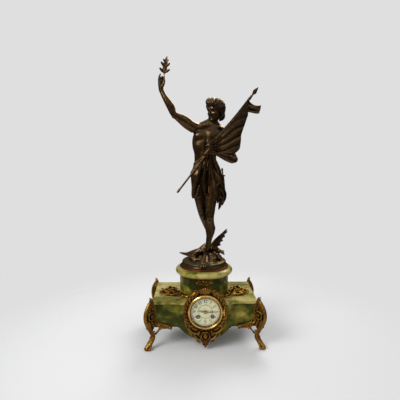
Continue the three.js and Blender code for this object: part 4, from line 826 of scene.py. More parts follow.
def lay_legs(clay):
    lay_leg(
        clay,
        [[22, 1, 244, 23, 24], [21, -7, 198, 19.5, 20.5], [18, -13, 162, 15, 16],
         [16, -15, 134, 12.3, 12.8],
         [16.5, -11, 116, 11.2, 11.2], [18, -3, 94, 12, 12.8], [15.5, -1, 66, 9.2, 10],
         [9, -1, 30, 6.5, 7.4], [6, 0, 12, 7, 8.5]],
        [
            [[27, -6, 228, 12, 12], [26, -16, 192, 12, 11], [20, -22, 152, 8, 7]],
            [[10, -8, 214, 10, 10], [10, -15, 176, 9, 9], [11, -19, 144, 6.5, 6]],
            [[22, 15, 222, 12, 11], [19, 9, 180, 10, 9.5], [16, 3, 138, 6.5, 6.5]],
            [[12, 5, 118, 4, 5], [11, 7, 94, 7.5, 9], [12, 7, 68, 4.8, 5]],
            [[21, 4, 116, 4, 5], [25, 6, 91, 8.4, 9], [21, 7, 66, 5.2, 5]],
            [[16, -15, 118, 4.4, 4], [14, -11, 62, 3.2, 3.2], [8.5, -8, 28, 3.4, 3.4]],
            [[14, 8, 54, 2.8, 3.6], [9.5, 9, 22, 2.8, 3.6]],
        ],
        [[6, 9, 9, 7.5, 8], [4, -12, 12, 9, 9.5], [1, -36, 8.8, 11.5, 7.2], [-2, -55, 4.5, 12, 5]],
        [[[-7.5, -51, 4.5, 5.2, 4.4], [-9.5, -62, 2.4, 4.8, 4], [-10.5, -69.5, -3, 4, 3.4]]]
        + [[[-2.6 + 4.3 * i, -54 + 2.0 * i, 4.2, 2.9, 3.2], [-3.3 + 4.8 * i, -65 + 2.4 * i, 2, 2.6, 2.8],
            [-3.6 + 5.0 * i, -70.5 + 2.6 * i, -3.4 + 0.5 * i, 2.4, 2.4]] for i in range(4)],
        [((-1.5, -2, 25), (3, 4, 4.4)), ((12, 2, 23), (3, 4, 4.4)), ((6, 10, 7), (7.5, 8.5, 7.5))],
        [((15.5, -23.5, 129), (7.5, 5, 9)), ((10, -19, 141), (6, 6, 9)), ((22, -17, 146), (6, 7, 12))],
    )
    lay_leg(
        clay,
        [[-13, 5, 243, 22, 24], [-13, 4, 200, 19, 20], [-9, 6, 165, 15.5, 15.5], [-3, 11, 134, 13, 12.6],
         [2, 17, 116, 11.2, 11.2],
         [12, 27, 95, 11.8, 12.5], [19, 35, 72, 9.6, 9.4], [17, 42, 45, 6.4, 7.2], [14, 43, 33, 6.8, 8]],
        [
            [[-18, -4, 226, 12, 12], [-18, -6, 192, 12, 11], [-10, -2, 152, 8, 7]],
            [[-5, -2, 212, 10, 10], [-4, -2, 178, 9, 9], [0, 2, 146, 6.5, 6]],
            [[-12, 18, 222, 12, 11], [-9, 20, 182, 10, 9.5], [-2, 24, 140, 6.5, 6.5]],
            [[3, 33, 112, 4, 5], [11, 41, 92, 7.5, 8.5], [17, 45, 68, 4.5, 5]],
            [[11, 32, 112, 4, 5], [20, 40, 90, 8.5, 8.5], [25, 44, 68, 5.0, 5]],
            [[2, 7, 118, 4.2, 4], [13, 24, 76, 3.2, 3.2], [15, 34, 45, 3.4, 3.4]],
            [[20, 50, 60, 2.8, 3.6], [17, 51, 42, 2.8, 3.6]],
        ],
        [[13, 50, 29, 6.8, 7.5], [6, 36, 31.5, 8.6, 8.8], [-4, 18, 28, 11, 6.8], [-11, 6, 26, 10.6, 4.6]],
        [[[-4, 2, 25.5, 4.8, 4], [-9, -3.5, 25, 4.2, 3.6], [-12, -8, 24.5, 3.6, 3]]]
        + [[[-8.5 - 3.4 * i, 3 + 1.6 * i, 25.4, 2.7, 2.8], [-13 - 3.7 * i, -2 + 2.4 * i, 25, 2.4, 2.5],
            [-15 - 3.8 * i, -4.5 + 2.8 * i, 24, 2.1, 2]] for i in range(4)],
        [((11.5, 42, 43), (3, 4, 4)), ((20.5, 43, 42), (3, 4, 4)), ((14, 52, 28), (7, 7.5, 7))],
        [((-1.5, 0.5, 129), (7.5, 5, 9)), ((-7, 2, 144), (6, 7, 11)), ((3, 4, 142), (6, 6, 9))],
    )


HEAD_AT = np.array([30.0, 0.0, 424.0])
FACING = unit((-0.62, -0.78, -0.05))
HEAD_SIDE = unit(np.cross(FACING, (0, 0, 1))) * -1
HEAD_UP = np.cross(HEAD_SIDE, FACING) * -1


def on_head(side, forward, up):
    """A place on the head: side to the figure's left, forward to the face, up to the crown."""
    return tuple(HEAD_AT + np.array([0, 0,
                                     PLINTH_TOP]) + HEAD_SIDE * side + FACING * forward + HEAD_UP * up)


def lay_head(clay):
    axes = np.array([HEAD_SIDE, FACING, HEAD_UP])
    egg = lambda at, halves, k=3.0, mode="add": clay.egg(on_head(*at), halves, k, mode, axes)
    line = lambda rows, k=1.4, mode="add": clay.strand([[*on_head(*r[:3]), *r[3:]] for r in rows], k, mode,
                                                       FACING)
    clay.strand(rows_up([[22, 3, 390, 12, 12.5], [27, 0, 408, 11.6, 12.6], [29, 1, 420, 11.8, 12.8]]), 3.0)
    egg((0, -4, 8), (20, 25, 21))
    egg((0, 8, 7), (17.5, 15, 14))
    egg((0, 5, -8), (16, 16.5, 21))
    egg((0, 8, -19), (12, 12, 9))
    egg((0, 17, -25), (5.6, 4.6, 4.6))
    for side in (-1, 1):
        egg((9.4 * side, 14.4, -7.5), (4.8, 5.2, 5.2))
        egg((13 * side, 4, -15), (3.6, 8, 8))
        line([[12.5 * side, 17, 3.4, 1.8], [8 * side, 20.6, 5, 1.9], [3.4 * side, 22.4, 4.2, 1.8]])
        egg((7.2 * side, 22.4, -0.4), (4.6, 3.4, 2.9), 1.6, "carve")
        egg((7.2 * side, 17.3, -0.6), (3.7, 3.6, 3.3), 0.6)
        line([[11 * side, 18.6, -0.6, 0.7], [7.4 * side, 21.2, 1.2, 0.8], [3.9 * side, 19.8, -0.4, 0.7]],
             0.6)
        line([[10.6 * side, 18.4, -1.4, 0.6], [7.3 * side, 20.4, -2.8, 0.65],
              [4.1 * side, 19.6, -1.4, 0.6]], 0.6)
        egg((2.9 * side, 22.8, -10.6), (1.9, 2.5, 1.7), 0.9)
        line([[20 * side, -1, 3, 1.4], [21.5 * side, -4, 1.5, 1.5], [21 * side, -4.5, -4, 1.5],
              [19.6 * side, -1, -9, 1.6]], 1.0)
    line([[0, 20.6, 2.5, 1.9], [0, 23.6, -3.4, 2], [0, 25.9, -8.2, 2.4], [0, 24.6, -10.4, 2.1]])
    line([[-5.2, 19.4, -16, 0.8], [-1.7, 22.2, -14.9, 1.3], [0, 22, -15.3, 1.2], [1.7, 22.2, -14.9, 1.3],
          [5.2, 19.4, -16, 0.8]], 0.8)
    line([[-4.4, 19.2, -17.4, 0.8], [0, 21.9, -18.3, 1.6], [4.4, 19.2, -17.4, 0.8]], 0.8)
    line([[-5, 21, -16.5, 0.4], [0, 23.2, -16.5, 0.45], [5, 21, -16.5, 0.4]], 0.5, "carve")
    line([[-2.5, 22.2, -21.6, 1], [2.5, 22.2, -21.6, 1]], 1.2, "carve")
    lay_hair(clay, egg, line)


def lay_hair(clay, egg, line):
    """Full wavy hair, swept from the crown to the brow, the temples and the nape."""
    egg((0, -5.5, 10.5), (24, 27, 22.5), 1.6)
    egg((0, -17, -5), (20.5, 14.5, 17), 3.0)
    rng = np.random.default_rng(7)
    for ring, (down, count, length) in enumerate(((0.25, 7, 0.7), (0.62, 12, 0.75), (1.02, 15, 0.72),
                                                  (1.42, 15, 0.6))):
        for i in range(count):
            turn = 2 * math.pi * (i + 0.5 * (ring % 2)) / count + rng.uniform(-0.1, 0.1)
            if down > 1.2 and math.cos(turn) > 0.0 or down > 0.8 and math.cos(turn) > 0.62:
                continue
            phase = rng.uniform(-0.5, 0.5)
            rows = []
            for step in range(6):
                t = step / 5
                polar = down + length * t
                around = turn + 0.2 * math.sin(math.pi * 1.6 * t + phase) + 0.18 * t
                lift = 0.6 + 1.5 * math.sin(math.pi * t)
                low = max(0, polar - 1.45) * 9
                rows.append([
                    (22.5 + lift) * math.sin(polar) * math.sin(around),
                    -5 + (26 + lift) * math.sin(polar) * math.cos(around),
                    10 + (21.5 + lift) * math.cos(polar) - low, 4.1 - 1.9 * t, 3.0 - 1.4 * t])
            line(rows, 1.8)
    for i, (side, reach) in enumerate(((-15, 16), (-9, 23.5), (-3, 27.5), (4, 28), (10.5, 25.5))):
        line([[side * 0.3 - 5, -2, 32.4, 3.6], [side * 0.6 - 2, 11, 32.2, 4.6],
              [side, reach - 1.5, 26.5 - 0.5 * i, 4.8],
              [side + 4, reach + 3, 19.5, 4.0], [side + 9, reach + 0.5, 14.8, 2.2]], 0.7)
    for side, back, up in ((-14, -16, -14), (-8, -24, -16), (0, -27, -17), (8, -25, -16), (15, -18, -14),
                           (19, -9, -9), (-19, -8, -9)):
        line([[side * 0.9, back + 1, up + 14, 4.2], [side, back - 2.4, up + 5, 4.8],
              [side * 1.06, back - 1, up - 4, 4],
              [side * 0.88, back + 3.5, up - 8, 2.2]], 1.0)


def lay_right_arm(clay):
    add = lambda rows, k=3.5: clay.strand(rows_up(rows), k)
    add([[-16, 3, 374, 14, 14], [-30, -5, 380, 13.5, 13.5], [-48, -15, 390, 11.3, 11.3],
         [-67, -23, 401, 10.2, 10.2],
         [-83, -28, 411, 9, 9], [-92, -29, 427, 9, 9.4], [-103, -29, 447, 8, 8.4],
         [-113, -28, 466, 6.8, 7], [-117.5, -27, 478, 6.2, 6.6]])
    add([[-34, -9, 388, 7, 7], [-52, -17, 399, 9, 9], [-70, -24, 408, 6, 6]])
    add([[-34, -3, 372, 8, 8], [-52, -13, 384, 9, 9], [-74, -23, 399, 5.5, 6]])
    add([[-84, -26, 418, 6, 6.5], [-90, -30, 432, 8.4, 8.4], [-104, -30, 454, 5.5, 6]])
    clay.egg(on_plinth(-84, -25, 405), (4.5, 4.5, 4.5), 3.0)
    add([[-117, -27, 474, 6.2, 6.6], [-118.5, -27, 486, 7, 8.6], [-119.5, -27, 497, 6.4, 9.4]], 2.5)
    for rows in (
        [[-122, -32, 494, 3.4], [-122.5, -33.5, 504, 3], [-121, -32.5, 511, 2.5], [-119, -30, 517, 1.7]],
        [[-120, -29, 496, 3.4], [-117, -31.5, 506, 3], [-112.5, -33, 508, 2.7], [-109.5, -32.5, 502, 2.3]],
        [[-122, -24.5, 496, 2.9], [-119, -24, 505, 2.7], [-112.5, -25, 505, 2.4], [-112, -26, 497, 2.2]],
        [[-121.5, -19.5, 494, 2.7], [-118, -18, 501, 2.5], [-112, -19, 500.5, 2.2], [-112.5, -21, 493, 2]],
        [[-116, -31, 481, 4.2], [-111, -34, 489, 3.6], [-108.5, -35, 497, 3], [-108, -34, 503, 2.3]],
    ):
        add(rows, 1.2)


def lay_left_arm(clay):
    add = lambda rows, k=3.5: clay.strand(rows_up(rows), k)
    add([[46, 6, 368, 14, 14], [59, 6, 345, 12.5, 12.5], [73, 3, 318, 10.5, 11], [86, -3, 291, 8.8, 9.4]])
    add([[86, -4, 290, 9, 9], [78, -13, 287, 9, 9], [60, -25, 293, 8.5, 9], [40, -35, 302, 6.6, 7],
         [28, -40, 306, 5.4, 6.2]])
    add([[54, 0, 350, 8, 8], [66, -4, 326, 9, 9], [77, -6, 302, 6, 6]])
    add([[58, 13, 350, 8, 8], [72, 12, 320, 8, 8], [84, 2, 296, 5.5, 6]])
    add([[78, -15, 292, 6, 6], [62, -26, 298, 8, 8], [44, -34, 304, 5.5, 5.5]])
    clay.egg(on_plinth(89, -3, 286), (4.5, 5, 5), 3.0)
    add([[28, -40, 306, 6, 6.2], [19, -43, 309, 8.5, 7.5], [9, -44, 311, 8, 7.5]], 2.5)
    along = unit((0.607, 0.148, 0.780))
    for i in range(4):
        x, y, z = np.array([8.5, -49.5, 310.5]) + along * (i - 1.5) * 5.0
        add([[x + 6, y + 1, z + 1, 3.2], [x, y - 0.5, z, 3.3], [x - 6, y + 2, z - 2, 3],
             [x - 7.5, y + 8, z - 4, 2.7], [x - 3, y + 12, z - 5, 2.4]], 1.1)
    add([[21, -47, 316, 3.6], [14, -50.5, 322, 3.2], [9, -50, 326, 2.6]], 1.4)


def hip_cloth_rule(points, distance):
    """Cloth about the hips as a rise of the surface, with folds that fan out of the fist."""
    x, y, z = points[:, 0], points[:, 1], points[:, 2] - PLINTH_TOP
    top = np.interp(x, [-40, -22, 4, 22, 40, 60], [281, 286, 301, 302, 286, 268])
    low_front = np.interp(x, [-40, -20, 4, 20, 36, 56], [178, 181, 190, 201, 216, 240])
    low_back = np.interp(x, [-40, 0, 30, 56], [174, 180, 204, 232])
    share = np.clip((y + 12) / 24, 0, 1)
    low = low_front * (1 - share) + low_back * share
    top = top * (1 - share) + (278 - 0.06 * x) * share
    wave = 2.0 * np.sin(x * 0.22 + 1.0)
    inside = np.minimum(top - z, z - low - wave)
    mask = np.clip(inside / 1.8 + 0.5, 0, 1)
    away_x, away_z = x - 13, 306 - z
    angle = np.arctan2(away_x, np.maximum(away_z, 1))
    reach = np.hypot(away_x, away_z)
    grow = np.clip(reach / 70, 0.12, 1)
    front = 0.5 + 0.5 * np.cos(angle * 17 + 0.7 * np.sin(reach * 0.045) + 0.5)
    fine = 0.5 + 0.5 * np.cos(angle * 36 + 1.4 + 0.03 * z)
    around = np.arctan2(x - 4, y - 2)
    back = 0.5 + 0.5 * np.cos(around * 11 + 0.035 * (z - 200) * np.sin(around * 2))
    pleat = (front**1.6 + 0.35 * fine) * (1 - share) + back**1.5 * share
    height = bpy.context.scene.clock_metal.fold_height / MM
    return distance - mask * (1.6 + height * grow * pleat)


def lay_hip_cloth(clay):
    add = lambda rows, k=2.5: clay.strand(rows_up(rows), k)
    clay.work(hip_cloth_rule)
    add([[36, -8, 270, 6, 5], [44, -4, 248, 7, 7], [48, 2, 222, 7, 6], [51, 6, 196, 8, 7],
         [49, 6, 172, 7, 6], [43, 5, 147, 2.2, 2.2]])
    add([[40, 6, 262, 6, 6], [48, 10, 236, 6, 6], [56, 11, 207, 5, 6], [58, 11, 186, 6, 6],
         [53, 10, 162, 4, 4]])
    for rows in (
        [[40, -6, 212, 4, 4], [43, -5, 196, 5, 5], [41, -4, 180, 4.4, 4], [38, -3, 166, 2, 2]],
        [[46, -4, 206, 3, 3], [52, -4, 196, 3.4, 3.2], [56, -2, 184, 3.4, 3.2], [52, -2, 172, 3, 3],
         [46, -2, 166, 2, 2]],
        [[42, -5, 188, 2.6, 3], [48, -6, 182, 3, 3], [55, -3, 172, 3, 3], [52, 0, 160, 2.4, 2.4]],
        [[58, 4, 204, 2.6, 3], [62, 4, 192, 3, 3.2], [61, 4, 178, 3, 3.2], [56, 3, 166, 2, 2]],
        [[41, -4, 172, 2.4, 2.6], [46, -4, 164, 2.8, 2.8], [47, -1, 154, 2, 2]],
    ):
        add(rows, 1.2)
    add([[-14, -32, 216, 3.5, 4], [-20, -30, 198, 4, 4.5], [-25, -24, 184, 3, 3]])
    add([[-4, -38, 292, 3, 3], [-10, -34, 268, 3.4, 3], [-20, -29, 236, 4, 3.4], [-27, -20, 206, 3.6, 3.6],
         [-30, -12, 182, 2.4, 2.6]])
    add([[6, -42, 298, 4, 4], [2, -38, 270, 4, 3.4], [-2, -36, 236, 4, 3.6], [-1, -34, 206, 3, 3],
         [2, -33, 192, 1.8, 2]])
    add([[14, -42, 300, 3.4, 4], [14, -38, 276, 3.4, 3.4], [14, -38, 248, 3.2, 3.2],
         [11, -36, 222, 2.6, 2.8]])
    add([[22, -40, 300, 3, 3.4], [28, -33, 282, 3.4, 3], [36, -24, 262, 3.4, 3], [42, -14, 246, 3, 3]])


def lay_ground(clay):
    for at, halves, k in (
        ((4, 16, 0), (50, 38, 22), 6.0), ((0, -20, -4), (40, 34, 7), 6.0),
        ((-8, 14, 5), (26, 22, 18), 4.0), ((24, 30, 4), (24, 18, 18), 4.0),
        ((-26, 6, 2), (18, 14, 12), 4.0),
    ):
        clay.egg(on_plinth(*at), halves, k)

    def rough(points, distance):
        x, y, z = points[:, 0], points[:, 1], points[:, 2]
        swell = np.sin(x * 0.31 + 2 * np.sin(y * 0.13)) * np.sin(y * 0.27 + 1.3)
        swell = swell + 0.6 * np.sin(x * 0.11 + z * 0.4) * np.sin(y * 0.5)
        return distance + 0.8 * swell

    clay.work(rough)


HEAD_CELL = 0.85
NECK = 392.0


def model_figure():
    clay = Clay()
    lay_ground(clay)
    lay_torso(clay)
    lay_legs(clay)
    lay_hip_cloth(clay)
    lay_head(clay)

    def off_plinth(points, distance):
        inside = np.minimum(PLINTH_TOP - 1.0 - points[:, 2],
                            PLINTH_RADIUS - 3 - np.hypot(points[:, 0], points[:, 1]))
        return np.maximum(distance, inside)

    clay.work(off_plinth)
    return clay


def finish(name):
    return bpy.data.materials[name]


class CLOCK_OT_finishes(bpy.types.Operator):
    """Make the finishes that the pieces share"""

    bl_idname = "clock.finishes"
    bl_label = "Finishes"

    def execute(self, context):
        stones = context.scene.clock_stone
        metals = context.scene.clock_metal
        metal_group()
        stone_group()
        tones = (stones.deep, stones.green, stones.light, stones.pale, stones.vein)
        stone("Body Onyx", *tones, scale=stones.drift, tone=-0.02)
        stone("Slab Onyx", *tones, scale=stones.drift * 1.3, tone=0.25, vein_share=0.3)
        stone("Drum Onyx", *tones, scale=stones.drift * 1.1, tone=0.02)
        stone("Collar Onyx", *tones, scale=stones.drift * 1.2, tone=0.22, vein_share=0.25)
        olive = (0.078, 0.044, 0.01)
        metal("Statue Bronze", metals.bronze, metals.recess, metals.bronze_rubbed, olive, smooth=0.26,
              rough=0.42, wear=0.55, grain=16.0, coat=0.34)
        metal("Cloth Bronze", (0.03, 0.016, 0.007), metals.recess, (0.2, 0.108, 0.042),
              (0.052, 0.033, 0.014), smooth=0.32, rough=0.5, wear=0.45, grain=16.0,
              coat=0.12)
        metal("Gilt Bronze", metals.gilt, metals.recess, metals.gilt_rubbed, (0.15, 0.05, 0.01),
              smooth=0.26, rough=0.5, wear=0.7, grain=32.0)
        metal("Red Bronze", (0.09, 0.022, 0.008), metals.recess, (0.26, 0.1, 0.04), (0.06, 0.025, 0.01),
              wear=0.4, depth=False)
        metal("Base Bronze", (0.05, 0.036, 0.016), metals.recess, (0.16, 0.13, 0.075),
              (0.08, 0.066, 0.034), smooth=0.22, rough=0.4, wear=0.4, depth=False)
        metal("Dark Bronze", (0.08, 0.05, 0.02), metals.recess, (0.3, 0.2, 0.09), (0.1, 0.07, 0.03),
              wear=0.4, depth=False)
        metal("Bright Gilt", (0.75, 0.47, 0.15), metals.recess, metals.gilt_rubbed, (0.6, 0.34, 0.09),
              smooth=0.16, rough=0.34, wear=0.3, depth=False)
        metal("Brass", (0.6, 0.42, 0.16), (0.2, 0.12, 0.04), (0.8, 0.6, 0.3), (0.5, 0.36, 0.14),
              smooth=0.22, rough=0.4, depth=False)
        metal("Bell Metal", (0.45, 0.34, 0.16), (0.12, 0.08, 0.03), (0.6, 0.5, 0.3), (0.36, 0.3, 0.14),
              smooth=0.25, rough=0.45, depth=False)
        metal("Steel", (0.3, 0.3, 0.31), (0.08, 0.06, 0.05), (0.55, 0.56, 0.58), (0.24, 0.25, 0.29),
              smooth=0.2, rough=0.4, depth=False)
        return {"FINISHED"}


class CLOCK_OT_figure(bpy.types.Operator):
    """Cast the body and head of the standard bearer"""

    bl_idname = "clock.figure"
    bl_label = "Standard bearer"

    def execute(self, context):
        cell = context.scene.clock_metal.fineness / MM * coarser()
        clay = model_figure()
        neck = PLINTH_TOP + NECK
        body = clay.cast("statue_body", cell, high=(60, 60, neck))
        head = clay.cast("statue_head", min(cell, HEAD_CELL * coarser()), low=(-10, -50, neck))
        for piece in (body, head):
            place(piece, "case", "statue_bronze", finish("Statue Bronze"), "figure_body")
        return {"FINISHED"}


class CLOCK_OT_arms(bpy.types.Operator):
    """Cast the raised right arm and the left arm that holds the staff"""

    bl_idname = "clock.arms"
    bl_label = "Arms"

    def execute(self, context):
        cell = HEAD_CELL * 1.15
        for name, lay in (("figure_arm_right", lay_right_arm), ("figure_arm_left", lay_left_arm)):
            clay = Clay()
            lay(clay)
            place(clay.cast(name.replace("figure", "statue"), cell), "case", "statue_bronze",
                  finish("Statue Bronze"), name)
        return {"FINISHED"}


# Standard, sprig, dagger, bird

STAFF_FOOT = np.array([-72, -62, 203 + PLINTH_TOP])
STAFF_HEAD = np.array([131, -12.5, 464 + PLINTH_TOP])
STAFF_RADIUS = 2.6


def on_staff(share):
    return STAFF_FOOT + (STAFF_HEAD - STAFF_FOOT) * share


def model_staff():
    clay = Clay()
    wide = lambda share, radius: [*on_staff(share), radius]
    clay.strand([wide(-0.006, 2.9), wide(0.006, 3.3), wide(0.018, 2.6)], 0.8)
    clay.strand([wide(0.02, STAFF_RADIUS), wide(0.5, STAFF_RADIUS), wide(0.985, 2.2)], 0.8, steps=6)
    clay.strand([wide(0.972, 3.9), wide(0.978, 3.9)], 0.6)
    clay.strand([wide(0.992, 3.4), wide(0.997, 3.4)], 0.6)
    base, tip = on_plinth(131, -12.5, 464), on_plinth(150, -8, 489)
    at = lambda share: [a + (b - a) * share for a, b in zip(base, tip)]
    clay.strand([[*at(0.0), 2.2, 2.0], [*at(0.22), 3.2, 1.8], [*at(0.42), 6.2, 1.9], [*at(0.7), 4.2, 1.5],
                 [*at(0.98), 0.7, 0.7]],
                0.6, front=(0.3, -1, 0), steps=12)
    clay.strand([[*at(0.12), 1.2], [*at(0.5), 1.5], [*at(0.96), 0.5]], 0.8, front=(0, 0, 1))
    return clay


FLAG_EDGE = [[89, -14, 307], [99, -16, 323], [102, -17, 357], [110, -14, 380], [121, -12, 412]]
FLAG_FOLDS = ((-0.3, 4.5), (-0.1, 8.5), (0.15, 9.0), (0.38, 7.5), (0.58, 5.5), (0.74, 3.6))


def fold_height(angle, reach):
    """How far the cloth stands out at an angle round the fist: broad crests with narrow valleys between."""
    crest = max(math.exp(-(((angle - at) / 0.1) ** 2)) for at, _ in FLAG_FOLDS)
    size = np.interp(angle, [at for at, _ in FLAG_FOLDS], [tall for _, tall in FLAG_FOLDS])
    soft = 0.5 + 0.5 * math.sin(angle * 24 + 0.7 + reach * 0.02)
    return size * (0.9 * crest + 0.1 * soft) * min(1, reach / 55)


def flag_sheet(rows, columns):
    """The gathered cloth: rows run from the fist to the staff's head, columns to the free edge."""
    edge = fair(FLAG_EDGE, rows) + [0, 0, PLINTH_TOP]
    grid = np.zeros((rows + 1, columns + 1, 3))
    gather = np.array([2, -47, 324 + PLINTH_TOP])
    for i in range(rows + 1):
        u = i / rows
        hem = on_staff(0.435 + 0.535 * u) + np.array([-0.79, 0, 0.615]) * (3.4 + 13.5 * (1 - u) ** 3) + [0,
            -5.2, 0]
        for k in range(columns + 1):
            v = k / columns
            point = hem + (edge[i] - hem) * v
            away = point - gather
            reach = math.hypot(away[0], away[2])
            angle = math.atan2(away[2], away[0]) + 0.05 * math.sin(reach * 0.05)
            held = min(1, 0.15 + v * 8) * (1 - 0.35 * u)
            folds = fold_height(angle, reach) * held
            fine = 0.16 * math.sin(angle * 55 + 0.06 * reach) * held * min(1, reach / 70)
            belly = -8 * math.sin(math.pi * v) * math.sin(math.pi * min(1, 0.25 + u))
            sag = -12.5 * math.sin(math.pi * v) * (1 - u) ** 3 - 1.5 * math.sin(v * 17) * (1 - u) ** 4
            grid[i, k] = point + [0, 2 - folds + fine + belly, sag]
    return grid


def flag_tail(rows, columns):
    """The end of the cloth, blown out beyond the staff's head."""
    inner = fair([[106, -8, 421], [114, -9, 437], [124, -10, 451]], rows)
    outer = fair([[153, -9, 419], [157, -7, 430], [159, -6, 440]], rows)
    grid = np.zeros((rows + 1, columns + 1, 3))
    for i in range(rows + 1):
        u = i / rows
        for k in range(columns + 1):
            v = k / columns
            point = inner[i] + (outer[i] - inner[i]) * v
            wave = 3.2 * math.sin(u * 8.5 - v * 2.0) * math.sin(math.pi * min(1,
                0.15 + v)) + 1.2 * math.sin(u * 17 + v * 3)
            dip = -6 * math.sin(math.pi * v) * (0.35 + 0.65 * u) + 2.2 * math.sin(v * 5) * (1 - u)
            grid[i, k] = point + [0, wave, PLINTH_TOP + dip]
    return grid


def thicken(name, grid, half):
    """A closed sheet with rounded rims from a grid of points."""
    rows, columns = grid.shape[0], grid.shape[1]
    du = np.gradient(grid, axis=0)
    dv = np.gradient(grid, axis=1)
    normal = np.cross(du, dv)
    normal /= np.maximum(np.linalg.norm(normal, axis=2), 1e-9)[..., None]
    rim = np.ones((rows, columns))
    for share, level in ((0, 0.35), (1, 0.8)):
        rim[share], rim[-1 - share] = np.minimum(rim[share], level), np.minimum(rim[-1 - share], level)
        rim[:, share], rim[:, -1 - share] = np.minimum(rim[:, share],
                                                       level), np.minimum(rim[:, -1 - share], level)
    offset = normal * (half * rim)[..., None]
    verts = np.concatenate([(grid - offset).reshape(-1, 3), (grid + offset).reshape(-1, 3)])
    layer = rows * columns
    at = lambda i, k, side: side * layer + i * columns + k
    faces = []
    for i in range(rows - 1):
        for k in range(columns - 1):
            faces.append((at(i, k, 0), at(i, k + 1, 0), at(i + 1, k + 1, 0), at(i + 1, k, 0)))
            faces.append((at(i, k, 1), at(i + 1, k, 1), at(i + 1, k + 1, 1), at(i, k + 1, 1)))
    for k in range(columns - 1):
        faces.append((at(0, k, 0), at(0, k, 1), at(0, k + 1, 1), at(0, k + 1, 0)))
        faces.append((at(rows - 1, k, 0), at(rows - 1, k + 1, 0), at(rows - 1, k + 1, 1),
                      at(rows - 1, k, 1)))
    for i in range(rows - 1):
        faces.append((at(i, 0, 0), at(i + 1, 0, 0), at(i + 1, 0, 1), at(i, 0, 1)))
        faces.append((at(i, columns - 1, 0), at(i, columns - 1, 1), at(i + 1, columns - 1, 1),
                      at(i + 1, columns - 1, 0)))
    return make_object(name, verts, np.array(faces))


def sheet_recess(grid, reach=4):
    """How far each point of a grid lies behind its neighbours, for both faces of the sheet."""
    du, dv = np.gradient(grid, axis=0), np.gradient(grid, axis=1)
    normal = np.cross(du, dv)
    normal /= np.maximum(np.linalg.norm(normal, axis=2), 1e-9)[..., None]
    mean = np.zeros_like(grid)
    for axis in (0, 1):
        for step in (-reach, reach):
            mean += np.take(grid, np.clip(np.arange(grid.shape[axis]) + step, 0, grid.shape[axis] - 1),
                            axis=axis) / 4
    rise = ((mean - grid) * normal).sum(axis=2)
    return np.concatenate([np.clip(-rise / 2.4, -0.5, 0.9).ravel(), np.clip(rise / 2.4, -0.5, 0.9).ravel()])


class CLOCK_OT_standard(bpy.types.Operator):
    """Make the staff with its spear head and the gathered cloth of the standard"""

    bl_idname = "clock.standard"
    bl_label = "Standard"

    def execute(self, context):
        coarse = coarser()
        staff = model_staff().cast("standard_staff", 0.75 * coarse, deep=2.5)
        place(staff, "case", "statue_bronze", finish("Statue Bronze"), "flag_staff")
        grid = flag_sheet(int(110 / coarse), int(150 / coarse))
        cloth = thicken("standard_cloth", grid, 1.6)
        set_wear(cloth, sheet_recess(grid))
        place(cloth, "case", "statue_bronze", finish("Cloth Bronze"), "flag_cloth")
        grid = flag_tail(int(44 / coarse), int(60 / coarse))
        tail = thicken("standard_tail", grid, 1.3)
        set_wear(tail, sheet_recess(grid))
        place(tail, "case", "statue_bronze", finish("Cloth Bronze"), "flag_cloth")
        sleeve = Clay()
        sleeve.strand([[*(on_staff(0.455) + [0, 1.5, 0]), 3.8], [*(on_staff(0.7) + [0, 1.5, 0]), 4.0],
                       [*on_staff(0.962), 3.4]], 1.0,
                      steps=6)
        for z, lean, wide in ((0, 0.0, 3.2), (-5, -3.5, 3.4), (4.5, 2.5, 2.8), (-9.5, -8, 2.8)):
            sleeve.strand([[*on_plinth(3 + abs(z) * 0.6, -47.5, 325 + z * 0.5), wide * 0.6],
                           [*on_plinth(13, -50, 328 + z), wide],
                           [*on_plinth(27, -49, 333 + z + lean), wide * 0.9],
                           [*on_plinth(44, -44, 341 + z + 2.4 * lean), wide * 0.5]], 1.0)
        piece = sleeve.cast("standard_sleeve", 0.8 * coarse, deep=2.5)
        place(piece, "case", "statue_bronze", finish("Cloth Bronze"), "flag_cloth")
        return {"FINISHED"}


SPRIG_BASE = (-109, -32, 498)


def model_sprig():
    """A lobed oak leaf with its midrib and side veins."""
    clay = Clay()
    x, y, z = on_plinth(*SPRIG_BASE)
    lean = 0.14
    at = lambda side, up, out=0.0: (
        x + side * math.cos(lean) + up * math.sin(lean), y + out,
        z + 18 + up * math.cos(lean) - side * math.sin(lean)
    )
    clay.strand([[x, y, z - 6, 1.3], [x + 1, y, z + 8, 1.3], [*at(0, 2), 1.3], [*at(0.3, 28), 1.0],
                 [*at(1.5, 46), 0.7]], 0.8)
    clay.strand([[*at(0, 1.5), 2.2, 0.8], [*at(0, 9), 6.4, 0.9], [*at(0, 22), 6.0, 0.9],
                 [*at(0.4, 32), 5.0, 0.9],
                 [*at(0.6, 39), 3.4, 0.9], [*at(2.2, 47), 1.1, 0.7]], 0.9)
    for root, tip, reach, wide in ((5, 14, 13.4, 3.9), (20, 30, 11.6, 3.9), (31, 38.5, 6.6, 2.8)):
        for side in (-1, 1):
            curl = -1.2 - 0.9 * (side < 0)
            clay.strand([[*at(0, root), 3.6, 0.9], [*at(side * reach * 0.55, (root + tip) / 2 - 0.5, -0.6),
                                                    wide, 0.9],
                         [*at(side * reach, tip, curl), wide * 0.55, 0.7]], 0.7)
            clay.strand([[*at(0, root - 2, -1.0), 0.6], [*at(side * reach * 0.9, tip - 1, curl - 0.6),
                                                         0.4]], 0.5)
    return clay


